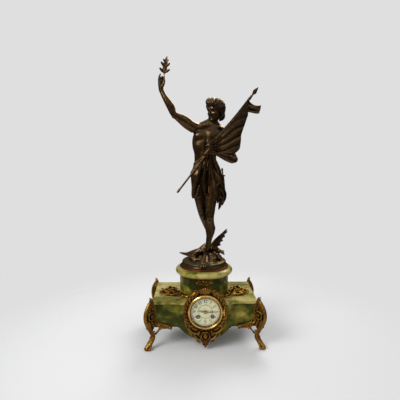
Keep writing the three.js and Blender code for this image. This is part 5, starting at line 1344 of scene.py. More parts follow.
def model_dagger():
    clay = Clay()
    clay.strand(rows_up([[51, -2, 264.5, 1.3], [51.3, -2, 261.5, 2.8], [51.6, -2, 258, 2.6],
                         [52, -2, 255, 1.5]]), 0.6)
    clay.strand(rows_up([[52, -2, 256, 1.5], [52.8, -2, 252, 1.9], [53.5, -2, 248, 1.6]]), 0.5)
    clay.strand(rows_up([[47.6, -2, 247, 1.3, 1.3], [50.5, -2, 245.4, 1.6, 1.7], [54, -2, 244.6, 2, 2.1],
                         [57.5, -2, 244, 1.6, 1.7],
                         [59.6, -2, 242.6, 1.3, 1.3]]), 0.6)
    clay.strand(rows_up([[54, -2, 242, 3, 2.2], [57, -2, 216, 2.6, 1.9], [58.9, -2, 200, 1.2, 1.1]]), 0.6)
    for z in (238, 230, 206):
        x = 54 + (242 - z) * 0.117
        clay.strand(rows_up([[x - 2.2, -2.6, z, 1.1], [x + 2.2, -2.6, z, 1.1]]), 0.4)
    return clay


def feather(clay, root, tip, wide, lift):
    """One feather as a flat strand with its quill."""
    middle = [(a + b) / 2 for a, b in zip(root, tip)]
    clay.strand([[*on_plinth(*root), wide * 0.8, 1.3], [*on_plinth(*middle), wide, 1.4],
                 [*on_plinth(*tip), wide * 0.6, 0.9]],
                0.7, front=lift)
    raised = [[c + 1.1 * n for c, n in zip(p, lift)] for p in (root, middle, tip)]
    clay.strand([[*on_plinth(*p), 0.55] for p in raised[:2]] + [[*on_plinth(*raised[2]), 0.3]], 0.4,
                front=lift)


def model_eagle():
    clay = Clay()
    add = lambda rows, k=3.0, way=(0, 0, 1): clay.strand(rows_up(rows), k, front=way)
    add([[56, 14, 17, 4.5, 3.5], [40, 22, 22, 10.5, 8], [22, 26, 26, 14.5, 12], [4, 22, 26, 12, 10],
         [-12, 4, 23, 6.5, 6.5]])
    add([[-10, 6, 24, 6, 6], [-22, -8, 22, 7.4, 6.8], [-27, -14, 20.5, 5.6, 5.2]])
    add([[-26, -14, 21.5, 3.6, 3.4], [-31, -19, 19, 2.9, 2.8], [-33.5, -21.5, 14.5, 1.3, 1.6],
         [-33, -21, 12.5, 0.7, 0.8]], 1.2)
    add([[-19, -14, 25.4, 2.2, 1.4], [-26, -17, 25, 1.8, 1.2]], 1.0)
    clay.egg(on_plinth(-23.6, -14.6, 23), (1.5, 1.5, 1.4), 0.5)
    rng = np.random.default_rng(3)
    for row in range(6):
        for k in range(7):
            t = row / 5
            x = 34 - 44 * t + rng.uniform(-1.5, 1.5)
            angle = -1.1 + 0.37 * k
            y, z = 24 - 12 * t * t - 13 * math.sin(angle), 26 - 3 * t + 9 * math.cos(angle)
            feather(clay, (x, y, z), (x + 8, y - 2 * math.sin(angle), z - 1.0), 2.5,
                    (0, -math.sin(angle), math.cos(angle)))
    add([[22, 26, 28, 9, 5], [36, 28, 42, 11, 4.5], [48, 27, 58, 8, 3.6], [58, 25, 72, 4, 2.6]], 3.0,
        (0.2, -1, 0.1))
    for i in range(8):
        t = i / 7
        root = (26 + 30 * t, 27, 36 + 34 * t)
        tip = (50 + 22 * t - 4 * (i % 2), 24 - 4 * t, 38 + 47 * t)
        feather(clay, root, tip, 4.6 - 1.0 * t, (0.25, -1, 0))
    for i in range(6):
        t = i / 5
        feather(clay, (26 + 24 * t, 23.5, 37 + 27 * t), (39 + 21 * t, 22, 38 + 31 * t), 3.8, (0.25, -1, 0))
    add([[4, 16, 25, 8, 5], [-20, 14, 23, 8, 4], [-40, 9, 18, 6, 3.4], [-54, 7, 16, 3, 2.4]], 3.0,
        (0, -0.5, 1))
    for i in range(10):
        t = i / 9
        feather(clay, (2 - 52 * t, 13 - 5 * t, 22 - 6 * t),
                (-22 - 49 * t, 2 + 3 * t - 9 * (1 - t), 8 + 8.5 * t**3 + 3 * t), 4.4 - 1.2 * t,
                (-0.1, -0.7, 0.8))
    for i in range(8):
        t = i / 7
        feather(clay, (4 - 46 * t, 14 - 6 * t, 26 - 8 * t), (-12 - 46 * t, 7 - 2 * t, 20 - 4 * t), 3.4,
                (-0.1, -0.5, 1))
    for i in range(5):
        feather(clay, (44, 16, 20), (60, 6 + 5 * i, 12 + 2 * i), 3.2, (0.1, -0.3, 1))
    for side in (-5, 5):
        add([[30, 10 + side, 20, 3, 3], [40, 2 + side, 14, 2.2, 2.2], [44, -4 + side, 6, 1.8, 1.8]], 1.5)
        for toe in (-4, 0, 4):
            add([[44, -4 + side, 6, 1.6, 1.6], [47, -9 + side + toe * 0.6, 4, 1.4, 1.4],
                 [47, -13 + side + toe, 1.8, 0.8, 0.8]], 0.8)

    def lift(points, distance):
        return np.maximum(distance, PLINTH_TOP + 0.3 - points[:, 2])

    clay.work(lift)
    return clay


class CLOCK_OT_emblems(bpy.types.Operator):
    """Make the oak leaf, the dagger and the fallen bird"""

    bl_idname = "clock.emblems"
    bl_label = "Leaf, dagger and bird"

    def execute(self, context):
        coarse = coarser()
        for name, model, cell, deep, nodes in (
            ("oak_leaf", model_sprig, 0.6, 2.0, "leaf_sprig"),
            ("hip_dagger", model_dagger, 0.6, 2.0, "dagger"),
            ("fallen_bird", model_eagle, 0.85, 2.6, "eagle"),
        ):
            piece = model().cast(name, cell * coarse, deep=deep)
            place(piece, "case", "statue_bronze", finish("Statue Bronze"), nodes)
        return {"FINISHED"}


# Onyx


def bow_plan(half_width, half_depth, front, bow_half, steps=40):
    """Outline of the case seen from above: a rectangle with a shallow bow at the front."""
    rise = -front - half_depth
    radius = (bow_half**2 + rise**2) / (2 * rise)
    half_angle = math.asin(bow_half / radius)
    bow = []
    for i in range(steps + 1):
        angle = -half_angle + 2 * half_angle * i / steps
        bow.append((radius * math.sin(angle), front + radius - radius * math.cos(angle)))
    return [(-half_width, -half_depth), *bow, (half_width, -half_depth), (half_width, half_depth),
            (-half_width, half_depth)]


def bezier(points, steps):
    """Points on a Bezier curve of any order, its first point left out."""
    out = []
    for i in range(1, steps + 1):
        t = i / steps
        level = [np.array(p, float) for p in points]
        while len(level) > 1:
            level = [a + (b - a) * t for a, b in zip(level[:-1], level[1:])]
        out.append(tuple(level[0]))
    return out


def keel_outline(half, low, top):
    """Front outline of the centre block, with the ogee that runs down to the pendant."""
    start = (half, low + 1)
    first = bezier([start, (half * 0.82, low - 4), (half * 0.7, low - 21), (half * 0.4, low - 24)], 14)
    second = bezier([first[-1], (half * 0.15, low - 26), (0, low - 35)], 10)
    right = [start, *first, *second]
    left = [(-x, z) for x, z in reversed(right[:-1])]
    return [(half, top), *right, *left, (-half, top)]


def prism(name, outline, low, high, axis="Z"):
    """An outline drawn out along Z, or along Y when it is a front view."""
    count = len(outline)
    if axis == "Z":
        verts = [(x, y, low) for x, y in outline] + [(x, y, high) for x, y in outline]
    else:
        verts = [(x, low, z) for x, z in outline] + [(x, high, z) for x, z in outline]
    faces = [tuple(range(count - 1, -1, -1)), tuple(range(count, 2 * count))]
    for i in range(count):
        n = (i + 1) % count
        faces.append((i, n, count + n, count + i))
    return face_outward(make_object(name, verts, faces, smooth=False))


def combine(obj, others, operation):
    """Joins, cuts or intersects obj with the others, which are used up."""
    for other in others:
        modifier = obj.modifiers.new("combine", "BOOLEAN")
        modifier.operation = operation
        modifier.solver = "EXACT"
        modifier.object = other
        settle(obj)
        bpy.data.objects.remove(other)
    return obj


def settle(obj):
    """Applies the modifiers of an object to its mesh."""
    bpy.context.view_layer.update()
    graph = bpy.context.evaluated_depsgraph_get()
    mesh = bpy.data.meshes.new_from_object(obj.evaluated_get(graph))
    obj.modifiers.clear()
    obj.data = mesh
    return obj


def polish(obj, radius, angle=30):
    """Rounds the edges of a stone or metal piece and shades it smooth."""
    bevel = obj.modifiers.new("edges", "BEVEL")
    bevel.width = radius
    bevel.segments = 3
    bevel.limit_method = "ANGLE"
    bevel.angle_limit = math.radians(angle)
    bevel.harden_normals = True
    sharpen(obj, 60)
    return obj


def bore_tool(radius, low, high):
    return turned("bore", [(0, low), (radius, low), (radius, high), (0, high)], 96, "Y", (0, 0, DIAL_Z))


CASE_X, CASE_Y = SLAB_X - 4, SLAB_Y - 4
BOW_HALF = 76.0
BOW_FRONT = span_of("onyx_case", 1)[0]
KEEL_BACK = -28.0
BORE = 45.0
TIE_HOLE = 3.6


class CLOCK_OT_onyx(bpy.types.Operator):
    """Make the onyx case, its top slab, the drum and the collar"""

    bl_idname = "clock.onyx"
    bl_label = "Onyx"

    def execute(self, context):
        edge = context.scene.clock_stone.bevel
        case = prism("case_body", [(-CASE_X, -CASE_Y), (CASE_X, -CASE_Y), (CASE_X, CASE_Y),
                                   (-CASE_X, CASE_Y)], CASE_BOTTOM, SLAB_LOW)
        keel = prism("keel", keel_outline(BOW_HALF, CASE_BOTTOM, SLAB_LOW), BOW_FRONT - 4, KEEL_BACK, "Y")
        plan = prism("plan", bow_plan(CASE_X, CASE_Y, BOW_FRONT, BOW_HALF), 0, SLAB_LOW + 1)
        combine(keel, [plan], "INTERSECT")
        combine(case, [keel], "UNION")
        room = prism("room", [(-21, -50), (21, -50), (21, -36), (-21, -36)], 38.5, 78)
        combine(case, [bore_tool(BORE, -120, 120), room], "DIFFERENCE")
        place(polish(case, edge), "case", "onyx", finish("Body Onyx"), "onyx_case")

        slab = prism("case_slab", bow_plan(SLAB_X, SLAB_Y, BOW_FRONT - 4, BOW_HALF + 4), SLAB_LOW,
                     SLAB_HIGH)
        combine(slab, [bore_tool(BORE, -120, -8), bore_tool(BORE, 30, 120), self.tie_tool()], "DIFFERENCE")
        place(polish(slab, edge), "case", "pale_onyx", finish("Slab Onyx"), "onyx_top_slab")

        rim = 1.2
        drum = turned("drum", [(0, SLAB_HIGH), (DRUM_RADIUS - rim, SLAB_HIGH),
                               (DRUM_RADIUS, SLAB_HIGH + rim), (DRUM_RADIUS, DRUM_TOP - rim),
                               (DRUM_RADIUS - rim, DRUM_TOP), (0, DRUM_TOP)], 160)
        combine(drum, [bore_tool(BORE, -120, 120), self.tie_tool()], "DIFFERENCE")
        place(sharpen(drum, 40), "case", "onyx", finish("Drum Onyx"), "onyx_drum")

        tall = COLLAR_TOP - DRUM_TOP
        swell = COLLAR_RADIUS - DRUM_RADIUS
        profile = [(TIE_HOLE, DRUM_TOP), (DRUM_RADIUS - 0.6, DRUM_TOP), (DRUM_RADIUS + 0.6, DRUM_TOP + 0.6)]
        for i in range(25):
            angle = math.pi * (i / 24 - 0.5)
            profile.append((DRUM_RADIUS + 1.2 + (swell - 1.2) * math.cos(angle) ** 0.8,
                            DRUM_TOP + tall * (0.5 + 0.43 * math.sin(angle))))
        profile += [(DRUM_RADIUS + 0.6, COLLAR_TOP - 0.6), (DRUM_RADIUS - 0.4, COLLAR_TOP),
                    (TIE_HOLE, COLLAR_TOP), (TIE_HOLE, DRUM_TOP)]
        collar = turned("collar", profile, 160)
        place(sharpen(collar, 40), "case", "pale_onyx", finish("Collar Onyx"), "onyx_collar")
        return {"FINISHED"}

    @staticmethod
    def tie_tool():
        return turned("tie", [(0, 100), (TIE_HOLE, 100), (TIE_HOLE, PLINTH_TOP - 6), (0, PLINTH_TOP - 6)],
                      24)


class CLOCK_OT_plinth(bpy.types.Operator):
    """Make the red moulding and the round base of the statue"""

    bl_idname = "clock.plinth"
    bl_label = "Statue plinth"

    def execute(self, context):
        r = PLINTH_RADIUS
        low, high = COLLAR_TOP, RING_TOP
        ring = [(TIE_HOLE, low), (r + 3.4, low), (r + 4.6, low + 0.6), (r + 5.4, low + 1.8),
                (r + 5.0, low + 2.8), (r + 3.6, low + 3.5),
                (r + 2.6, low + 3.9), (r + 2.2, low + 4.6), (r + 1.4, high - 0.5), (r + 0.9, high),
                (TIE_HOLE, high), (TIE_HOLE, low)]
        moulding = turned("plinth_moulding", ring, 160)
        place(sharpen(moulding, 50), "case", "red_bronze", finish("Red Bronze"), "plinth_ring")
        top = PLINTH_TOP
        base = [(TIE_HOLE, high), (r - 0.5, high), (r, high + 0.5), (r, high + 2.6), (r - 0.6, high + 3.2),
                (r - 1.7, high + 4), (r - 2, high + 5),
                (r - 2, top - 4), (r - 1.7, top - 3), (r - 2.2, top - 1.8), (r - 3.6, top - 0.5),
                (r - 5, top), (TIE_HOLE, top),
                (TIE_HOLE, high)]
        disc = turned("statue_base", base, 160)
        place(sharpen(disc, 50), "case", "statue_bronze", finish("Base Bronze"), "figure_plinth")
        return {"FINISHED"}


# Legs


def model_leg():
    """The front right leg. It stands in an upright plane on the diagonal through the slab's corner."""
    clay = Clay()
    share = math.sqrt(0.5)
    at = lambda out, z, across=0.0: (SLAB_X + (out - across) * share, -SLAB_Y - (out + across) * share, z)
    flat = unit((1, 1, 0))
    line = lambda rows, k=2.0, mode="add", front=flat: clay.strand(
        [[*at(*(row[:3] if len(row) > 4 else (row[0], row[1], 0))), *row[-2:]] for row in rows], k, mode,
        front)
    pair = lambda rows, k: line([[out, z, way * across, *size] for out, z, across, *size in rows], k)
    # rows are out, z, half width in the plane, half thickness across it
    line([[10, 127, 3.6, 4.4], [18.5, 115, 4.6, 5], [24.3, 101, 5, 5], [24.6, 86, 5.4, 5],
          [19.6, 71, 5.8, 5.2], [12, 58, 5.6, 5.2]])
    line([[1, 127, 3.4, 4], [-4, 112, 4.4, 4.2], [-11, 92, 4.8, 4.2], [-9, 72, 5, 4.4], [2, 60, 5.2, 4.8]])
    line([[9, 125, 6, 3.2], [9, 112, 11, 3.2], [9, 96, 14, 3.0], [7, 80, 13, 3.0], [6, 66, 9, 3.2]], 3.0)
    line([[12, 58, 5.8, 5.4], [4, 45, 5.0, 5], [-2.2, 32, 4.8, 5], [0.8, 23, 5.4, 5.4], [10, 15, 6.4, 6.2],
          [19.5, 8.5, 5.8, 6.6], [24.6, 4.6, 4.4, 5.4]])
    # raised rims of the front band
    for across in (-3.7, 3.7):
        line([[12.4, 124, across, 1.5, 1.4], [20.8, 112, across, 1.6, 1.5], [25.8, 100, across, 1.7, 1.5],
              [26, 86, across, 1.7, 1.5],
              [22.4, 70, across, 1.7, 1.5], [16, 57, across, 1.7, 1.5], [8.4, 44, across, 1.5, 1.4],
              [2.6, 33, across, 1.4, 1.3]], 1.0)
        line([[-4, 122, across * 0.8, 1.4, 1.3], [-9.4, 108, across * 0.8, 1.4, 1.3],
              [-15.6, 92, across * 0.8, 1.5, 1.3],
              [-13, 71, across * 0.8, 1.5, 1.3]], 1.0)
    line([[24.2, 108, 0, 2.2, 1.8], [28.6, 96, 0, 2.0, 2], [28.0, 82, 0, 2.0, 2], [22, 67, 0, 1.8, 1.8]],
         1.4)
    # the scroll eye on both faces
    for way in (-1, 1):
        spiral = []
        for i in range(15):
            angle = 2.3 - i * 0.62
            r = 12.4 - 0.66 * i
            spiral.append([8 + r * math.cos(angle), 90 + r * math.sin(angle), way * (4.6 + 0.24 * i),
                           2.3 - 0.06 * i, 1.9])
        line(spiral, 1.0)
        clay.egg(at(8, 90, way * 6.0), (3.6, 3.6, 3.6), 0.8)
        for i in range(5):
            z = 116 - 5.4 * i
            pair([[13 + 1.5 * i, z + 5, 3.6, 1.5, 1.4], [9 + 1.6 * i, z + 1, 4.4, 1.9, 1.7],
                  [4 + 1.2 * i, z + 1, 3.8, 0.9, 1.1]], 0.9)
        for i in range(4):
            z = 66 - 5.6 * i
            pair([[17 - 4 * i, z, 3.6, 1.5, 1.4], [12 - 3.6 * i, z - 4, 4.6, 2.0, 1.8],
                  [8 - 3.4 * i, z - 11, 4.2, 0.9, 1.1]], 0.9)
        pair([[9, 79, 3.8, 2.2, 2], [3, 70, 4.4, 2.6, 2.2], [0, 61, 4.4, 2.4, 2.2], [4, 54, 4, 1.6, 1.8]],
             1.4)
        pair([[16, 78, 3.8, 2, 2], [13, 68, 4.6, 2.2, 2], [10, 59, 4.6, 2, 2], [5, 48, 4.2, 1.4, 1.6]], 1.4)
        pair([[2, 104, 3.4, 1.8, 1.8], [3, 113, 3.8, 2.1, 2], [8, 119, 3.4, 1.7, 1.8]], 1.2)
    # the flame tip on the slab's corner, the spur behind the knee and the ankle leaf
    line([[5, 123, 4.6, 4], [2.4, 131, 3.8, 3.4], [5.2, 137, 3.2, 2.8], [10.6, 141.2, 1.1, 1.2]], 1.4)
    line([[9, 127, 3.2, 3], [8.4, 132, 2.4, 2.4], [12, 136, 1.0, 1.1]], 1.2)
    line([[12, 64, 3.6, 3], [19, 59.5, 2.4, 2.4], [22.6, 61, 1.1, 1.2]], 1.6)
    line([[3, 47, 3.2, 3], [-3.4, 42, 2.4, 2.4], [-7.4, 44.4, 1.1, 1.2]], 1.4)
    for out, z, turn in ((2, 30, -1), (4, 24, 0), (10, 18, 1)):
        for across in (-5, 5):
            line([[out - 3, z + 4, across * 0.5, 2, 2], [out + 2, z, across, 2.4, 2.2],
                  [out + 6 + turn, z - 6, across * 1.15, 1.3, 1.3]], 1.3)
    # the leafy toe, turned up at its end
    for across, reach, rise in ((0, 27.4, 8.6), (-5.4, 25.2, 5.6), (5.4, 25.2, 5.6), (-9, 20.5, 3.4),
                                (9, 20.5, 3.4)):
        line([[8, 14, across * 0.3, 3, 3], [16, 8, across * 0.8, 3.6, 3], [reach - 3, 3.6, across, 3, 2.6],
              [reach, rise, across * 1.02, 1.5, 1.6]], 1.3, front=(0, 0, 1))
        line([[9, 17, across * 0.3, 1.0, 1], [16.5, 11.6, across * 0.8, 1.1, 1.1],
              [reach - 3, 6.6, across, 0.9, 0.9]], 0.8)
    for across in (-7, -2.6, 2.6, 7):
        line([[8, 17, across * 0.4, 0.9, 1.4], [16, 11, across * 0.9, 1.1, 1.8],
              [25, 5.5, across, 0.8, 1.4]], 0.6, "carve", (0, 0, 1))
    add_brackets(clay, at)
    clay.work(clear_of_case)
    return clay


def add_brackets(clay, at):
    """Scrolled brackets along the case's lower edges, and the strut from the ankle."""
    low = CASE_BOTTOM
    face = -CASE_Y - 3.5
    side = CASE_X + 3.5
    knee = at(-6, low)
    clay.strand([[knee[0] - 2, face, low + 13, 3.6], [SLAB_X - 24, face, low + 3.5, 3.0],
                 [SLAB_X - 34, face, low + 4.2, 2.7],
                 [SLAB_X - 43, face, low + 3.4, 2.6], [SLAB_X - 50, face, low + 0.5, 2.5],
                 [SLAB_X - 50.4, face, low - 3.4, 2.2],
                 [SLAB_X - 46.6, face, low - 3.6, 2.0]], 1.6)
    for x, rise in ((-19, 17), (-25, 13), (-31, 10.5), (-37, 9), (-44, 7)):
        clay.strand([[SLAB_X + x, face, low + 3.6, 2.8], [SLAB_X + x + 1.6, face - 0.8, low + rise * 0.65,
                                                          2.4],
                     [SLAB_X + x + 5, face, low + rise, 1.0]], 1.1)
    clay.strand([[side, knee[1] + 2, low + 13, 3.4], [side, -SLAB_Y + 24, low + 3.5, 3.0],
                 [side, -SLAB_Y + 36, low + 3.6, 2.6],
                 [side, -SLAB_Y + 44, low - 1, 2.4]], 1.6)
    ankle = at(-9.5, 36)
    clay.strand([[SLAB_X - 20, face, low + 3, 3.4], [SLAB_X - 16, face + 1.5, low - 7, 2.6],
                 [SLAB_X - 11, face + 3, low - 14, 2.3],
                 [*ankle, 2.8]], 1.4)
    for x, drop in ((-20, 6.5), (-27, 3.4), (-34, 2.6), (-41, 2.2)):
        clay.strand([[SLAB_X + x + 4, face, low + 3, 2.6], [SLAB_X + x, face - 0.6, low - 1, 2.4],
                     [SLAB_X + x - 3.4, face, low - drop, 1.1]], 1.1)


def box_distance(points, low, high):
    """Distance from an upright box, negative inside."""
    middle = (np.asarray(low, float) + high) / 2
    half = (np.asarray(high, float) - low) / 2
    away = np.abs(points - middle) - half
    return np.linalg.norm(np.maximum(away, 0), axis=1) + np.minimum(away.max(axis=1), 0)


GAP = 0.4


def clear_of_case(points, distance):
    """Keeps a mount off the stone behind it and above the ground."""
    case = box_distance(points, (-CASE_X - GAP, -CASE_Y - GAP, CASE_BOTTOM - GAP),
                        (CASE_X + GAP, CASE_Y + GAP, SLAB_LOW + GAP))
    slab = box_distance(points, (-SLAB_X - GAP, -SLAB_Y - GAP, SLAB_LOW - GAP),
                        (SLAB_X + GAP, SLAB_Y + GAP, SLAB_HIGH + GAP))
    return np.maximum.reduce([distance, -case, -slab, 0.05 - points[:, 2]])


class CLOCK_OT_legs(bpy.types.Operator):
    """Cast the four scroll legs"""

    bl_idname = "clock.legs"
    bl_label = "Legs"

    def execute(self, context):
        leg = model_leg().cast("scroll_leg_fr", 1.0 * coarser(), deep=4.0)
        pieces = {"leg_front_right": leg}
        for name, x, y in (("leg_front_left", -1, 1), ("leg_rear_right", 1, -1), ("leg_rear_left", -1, -1)):
            pieces[name] = mirrored(leg, name.replace("leg", "scroll_leg"), x, y)
        for name, piece in pieces.items():
            place(piece, "case", "gilt_bronze", finish("Gilt Bronze"), name)
        return {"FINISHED"}


# Dial surround and mounts


SURROUND_HALF = [(0, 63), (9, 62), (15, 57), (25, 58.5), (34, 52), (42, 43), (51, 33), (56, 16), (58.5, 0),
                 (57, -16), (55, -30),
                 (50, -44), (43, -53), (33, -61), (26, -71), (16, -77), (9, -86), (4, -93), (0, -95)]
LIP = 40.3
HINGE_X = BEZEL_RADIUS + 3
HINGE_Y = SURROUND_FRONT - 2.9


def outline_distance(x, z, outline):
    """Distance from a closed outline, negative inside."""
    best = np.full(len(x), 1e9)
    inside = np.zeros(len(x), bool)
    for (ax, az), (bx, bz) in zip(outline, [*outline[1:], outline[0]]):
        dx, dz = bx - ax, bz - az
        t = np.clip(((x - ax) * dx + (z - az) * dz) / max(dx * dx + dz * dz, 1e-9), 0, 1)
        best = np.minimum(best, np.hypot(x - ax - t * dx, z - az - t * dz))
        crosses = (az > z) != (bz > z)
        with np.errstate(divide="ignore", invalid="ignore"):
            inside ^= crosses & (x < ax + (z - az) * dx / (dz if dz else 1e-9))
    return np.where(inside, -best, best)


def bow_distance(points, front, half_depth, bow_half):
    """Distance in front of the bowed face of the case or slab."""
    rise = -front - half_depth
    radius = (bow_half**2 + rise**2) / (2 * rise)
    return np.hypot(points[:, 0], points[:, 1] - front - radius) - radius


def off_stone(points, distance):
    """Keeps the surround clear of case, slab and drum."""
    z = points[:, 2]
    case = np.maximum(bow_distance(points, BOW_FRONT, CASE_Y, BOW_HALF) - GAP, z - SLAB_LOW)
    slab = np.maximum.reduce([bow_distance(points, BOW_FRONT - 4, SLAB_Y, BOW_HALF + 4) - GAP,
                              z - SLAB_HIGH - GAP, SLAB_LOW - GAP - z])
    drum = np.hypot(points[:, 0], points[:, 1]) - DRUM_RADIUS - GAP
    return np.maximum.reduce([distance, -case, -slab, -drum])


def model_surround():
    clay = Clay()
    front = SURROUND_FRONT
    both = (-1, 1)

    def line(rows, k=1.3, mode="add"):
        clay.strand([[x, front - out, DIAL_Z + z, *size] for x, out, z, *size in rows], k, mode)

    def pair(rows, k=1.3):
        line([[way * x, *rest] for x, *rest in rows], k)

    # the outer roll and the beaded edge beside the bezel
    for way in both:
        pair([[0, 0.4, 60.5, 2.2], [14, 0.2, 55.6, 2.1], [25, 0, 56.4, 2.3], [34, 0, 50, 2.4],
              [42, 0, 41, 2.2]])
        pair([[40, 0, 43, 2.2], [50, 0, 31.5, 2.4], [54.6, 0, 16, 2.2], [56.6, 0, 0, 2.2],
              [55.2, 0, -16, 2.2],
              [53, 0, -30, 2.2], [48, 0, -43, 2.2], [41, 0, -51.6, 2.0]])
    for i in range(72):
        angle = 2 * math.pi * i / 72
        clay.egg((50.2 * math.cos(angle), front - 0.4, DIAL_Z + 50.2 * math.sin(angle)),
                 (1.35, 1.35, 1.35), 0.5)
    # leaves that run up both sides of the ring
    for way in both:
        for i in range(10):
            angle = -0.84 + 0.205 * i
            turn = lambda a, r: (way * r * math.cos(a), r * math.sin(a))
            (x0, z0), (x1, z1) = turn(angle, 51.6), turn(angle + 0.12, 55.2)
            x2, z2 = turn(angle + 0.25, 59.4 - 0.8 * (i % 2))
            line([[x0, 0.6, z0, 1.9, 1.5], [x1, 2.2, z1, 3.3, 1.7], [x2, 0.6, z2, 1.0, 1.1]], 0.8)
            for lean in (-0.045, 0, 0.045):
                mid = turn(angle + 0.11 + lean, 55.0 - 18 * abs(lean))
                end = turn(angle + 0.2 + lean * 1.6, 57.6)
                line([[x0, 2.4, z0, 0.4], [mid[0], 4.2, mid[1], 0.5], [end[0], 2.2, end[1], 0.3]], 0.5,
                     "carve")
        # volutes at ten and two o'clock
        spiral = []
        for i in range(10):
            angle = 1.2 + 0.62 * i
            r = 6.6 - 0.5 * i
            spiral.append([way * (44.5 + r * math.cos(angle)), 1.0 + 0.16 * i, 41.5 + r * math.sin(angle),
                           1.8 - 0.08 * i])
        line(spiral, 0.9)
        pair([[20, 0.6, 53.5, 2.2], [29, 1.6, 51.2, 2.7], [38, 1.4, 46.6, 2.2], [45, 1.0, 48, 1.5]], 1.2)
        pair([[17, 1.0, 55.5, 1.4], [22, 2.0, 59.6, 1.7], [28, 1.2, 61, 0.9]], 1.0)
    # the shell over the dial
    for i in range(7):
        lean = (i - 3) * 0.36
        tip = 67 - 2.0 * abs(i - 3)
        line([[1.2 * (i - 3), 0.8, 51.2, 1.3, 1.2], [12 * math.sin(lean), 2.8, tip - 6, 2.7, 1.8],
              [18 * math.sin(lean), 0.6, tip, 1.6, 1.2]], 0.8)
    clay.egg((0, front - 2.4, DIAL_Z + 51.6), (3.6, 2.6, 2.9), 1.0)
    # C scrolls, shield and tail below the dial
    for way in both:
        pair([[44, 0.6, -38, 2.2], [41, 1.6, -50, 2.8], [30, 1.6, -56.6, 2.9], [20, 1.4, -58, 2.2],
              [15.5, 1.2, -53.6, 1.6],
              [19, 1.4, -51, 1.3]])
        pair([[43, 1.6, -44, 1.0], [36, 3.4, -52.6, 1.2], [25, 3.6, -55.6, 1.0]], 0.6)
        pair([[30, 0.6, -60, 2.2], [25, 1.8, -69, 2.7], [17, 1.8, -75, 2.6], [11.5, 1.4, -71.5, 1.8],
              [14, 1.4, -67.6, 1.4]])
        pair([[24, 0.8, -72, 1.6], [20.5, 1.4, -79.6, 2.0], [13.5, 1.2, -81.6, 1.7],
              [15.6, 1, -85.4, 0.9]], 1.0)
        pair([[37, 0.8, -55, 1.6], [38.4, 1.6, -61, 1.8], [33, 1.2, -66, 1.0]], 1.0)
        pair([[8.4, 1.4, -58, 1.5], [11.4, 2.0, -66, 1.7], [7.4, 1.6, -75, 1.5], [0, 1.4, -79.6, 1.4]], 0.9)
        pair([[8.4, 1.4, -58, 1.5], [4, 1.8, -54.8, 1.4], [0, 1.6, -56, 1.3]], 0.9)
        pair([[3, 0.8, -81, 2.2], [6.6, 1.2, -86.6, 2.0], [4, 0.8, -90.8, 1.2]], 1.0)
    clay.egg((0, front - 0.6, DIAL_Z - 66.5), (6.2, 3.4, 8.4), 1.0)
    line([[0, 0.4, -82, 3.4, 2.6], [0, 0.6, -88, 3.0, 2.4], [0, 0.6, -92.6, 4.0, 3.2],
          [0, 0.4, -96.4, 1.4, 1.4]], 1.0)
    outline = [(x, DIAL_Z + z) for x, z in SURROUND_HALF]
    outline += [(-x, z) for x, z in reversed(outline[1:-1])]

    def plate(points, distance):
        x, y, z = points.T
        flat = np.maximum.reduce([outline_distance(x, z, outline) + 1.2, front + 1.9 - y, y + 74])
        ring = np.hypot(x, z - DIAL_Z)
        out = soft_min(distance, flat, 1.6)
        out = np.maximum(out, LIP - ring)
        out = np.maximum(out, -np.maximum(ring - BEZEL_RADIUS - 0.3, y - front))
        out = np.maximum(out, -np.maximum(ring - 42.5, DIAL_FRONT + 1.4 - y))
        hinge = np.maximum(np.hypot(x - HINGE_X, y - HINGE_Y) - 3.7, np.abs(z - DIAL_Z) - 9)
        out = np.maximum(out, -hinge)
        return off_stone(points, np.maximum(out, y + 74))

    clay.work(plate)
    return clay


def knuckle(name, x, y, low, high, radius=2.2):
    """A hinge knuckle with a bore for its pin."""
    profile = [(1.2, low), (radius - 0.3, low), (radius, low + 0.3), (radius, high - 0.3),
               (radius - 0.3, high), (1.2, high), (1.2, low)]
    return sharpen(turned(name, profile, 32, "Z", (x, y, 0)))


def case_tube(name, front, back, sides):
    """The tube that lines the bore of the case behind the dial's mount or the rear ring."""
    rows = [(TUBE_INNER, front), (TUBE_OUTER, front), (TUBE_OUTER, back), (TUBE_INNER, back),
            (TUBE_INNER, front)]
    return turned(name, rows, sides, "Y", (0, 0, DIAL_Z))


class CLOCK_OT_surround(bpy.types.Operator):
    """Cast the mount round the dial, with its hinge knuckles and tube"""

    bl_idname = "clock.surround"
    bl_label = "Dial surround"

    def execute(self, context):
        gilt = finish("Gilt Bronze")
        # The recess reach of 3.4 darkens the surround's hollows more widely than on the other mounts:
        # partly patina in the hollows, partly painted shade.
        piece = model_surround().cast("surround_casting", 0.75 * coarser(), deep=3.4)
        place(piece, "case", "gilt_bronze", gilt, "dial_surround")
        tube = case_tube("surround_tube", -92, -60, 96)
        place(sharpen(tube), "case", "gilt_bronze", finish("Dark Bronze"), "dial_surround")
        for i, way in enumerate((-1, 1)):
            middle = DIAL_Z + way * KNUCKLE_STEP
            made = knuckle(f"surround_knuckle_{i}", HINGE_X, HINGE_Y, middle - 2, middle + 2)
            place(made, "case", "gilt_bronze", finish("Bright Gilt"), "dial_surround")
            web = prism(f"surround_web_{i}", [(HINGE_X - 1.5, HINGE_Y + 0.8),
                                              (HINGE_X + 1.5, HINGE_Y + 0.8),
                                              (HINGE_X + 1.5, SURROUND_FRONT + 4),
                                              (HINGE_X - 1.5, SURROUND_FRONT + 4)], middle - 1.8,
                                              middle + 1.8)
            place(polish(web, 0.0003), "case", "gilt_bronze", finish("Bright Gilt"), "dial_surround")
        return {"FINISHED"}


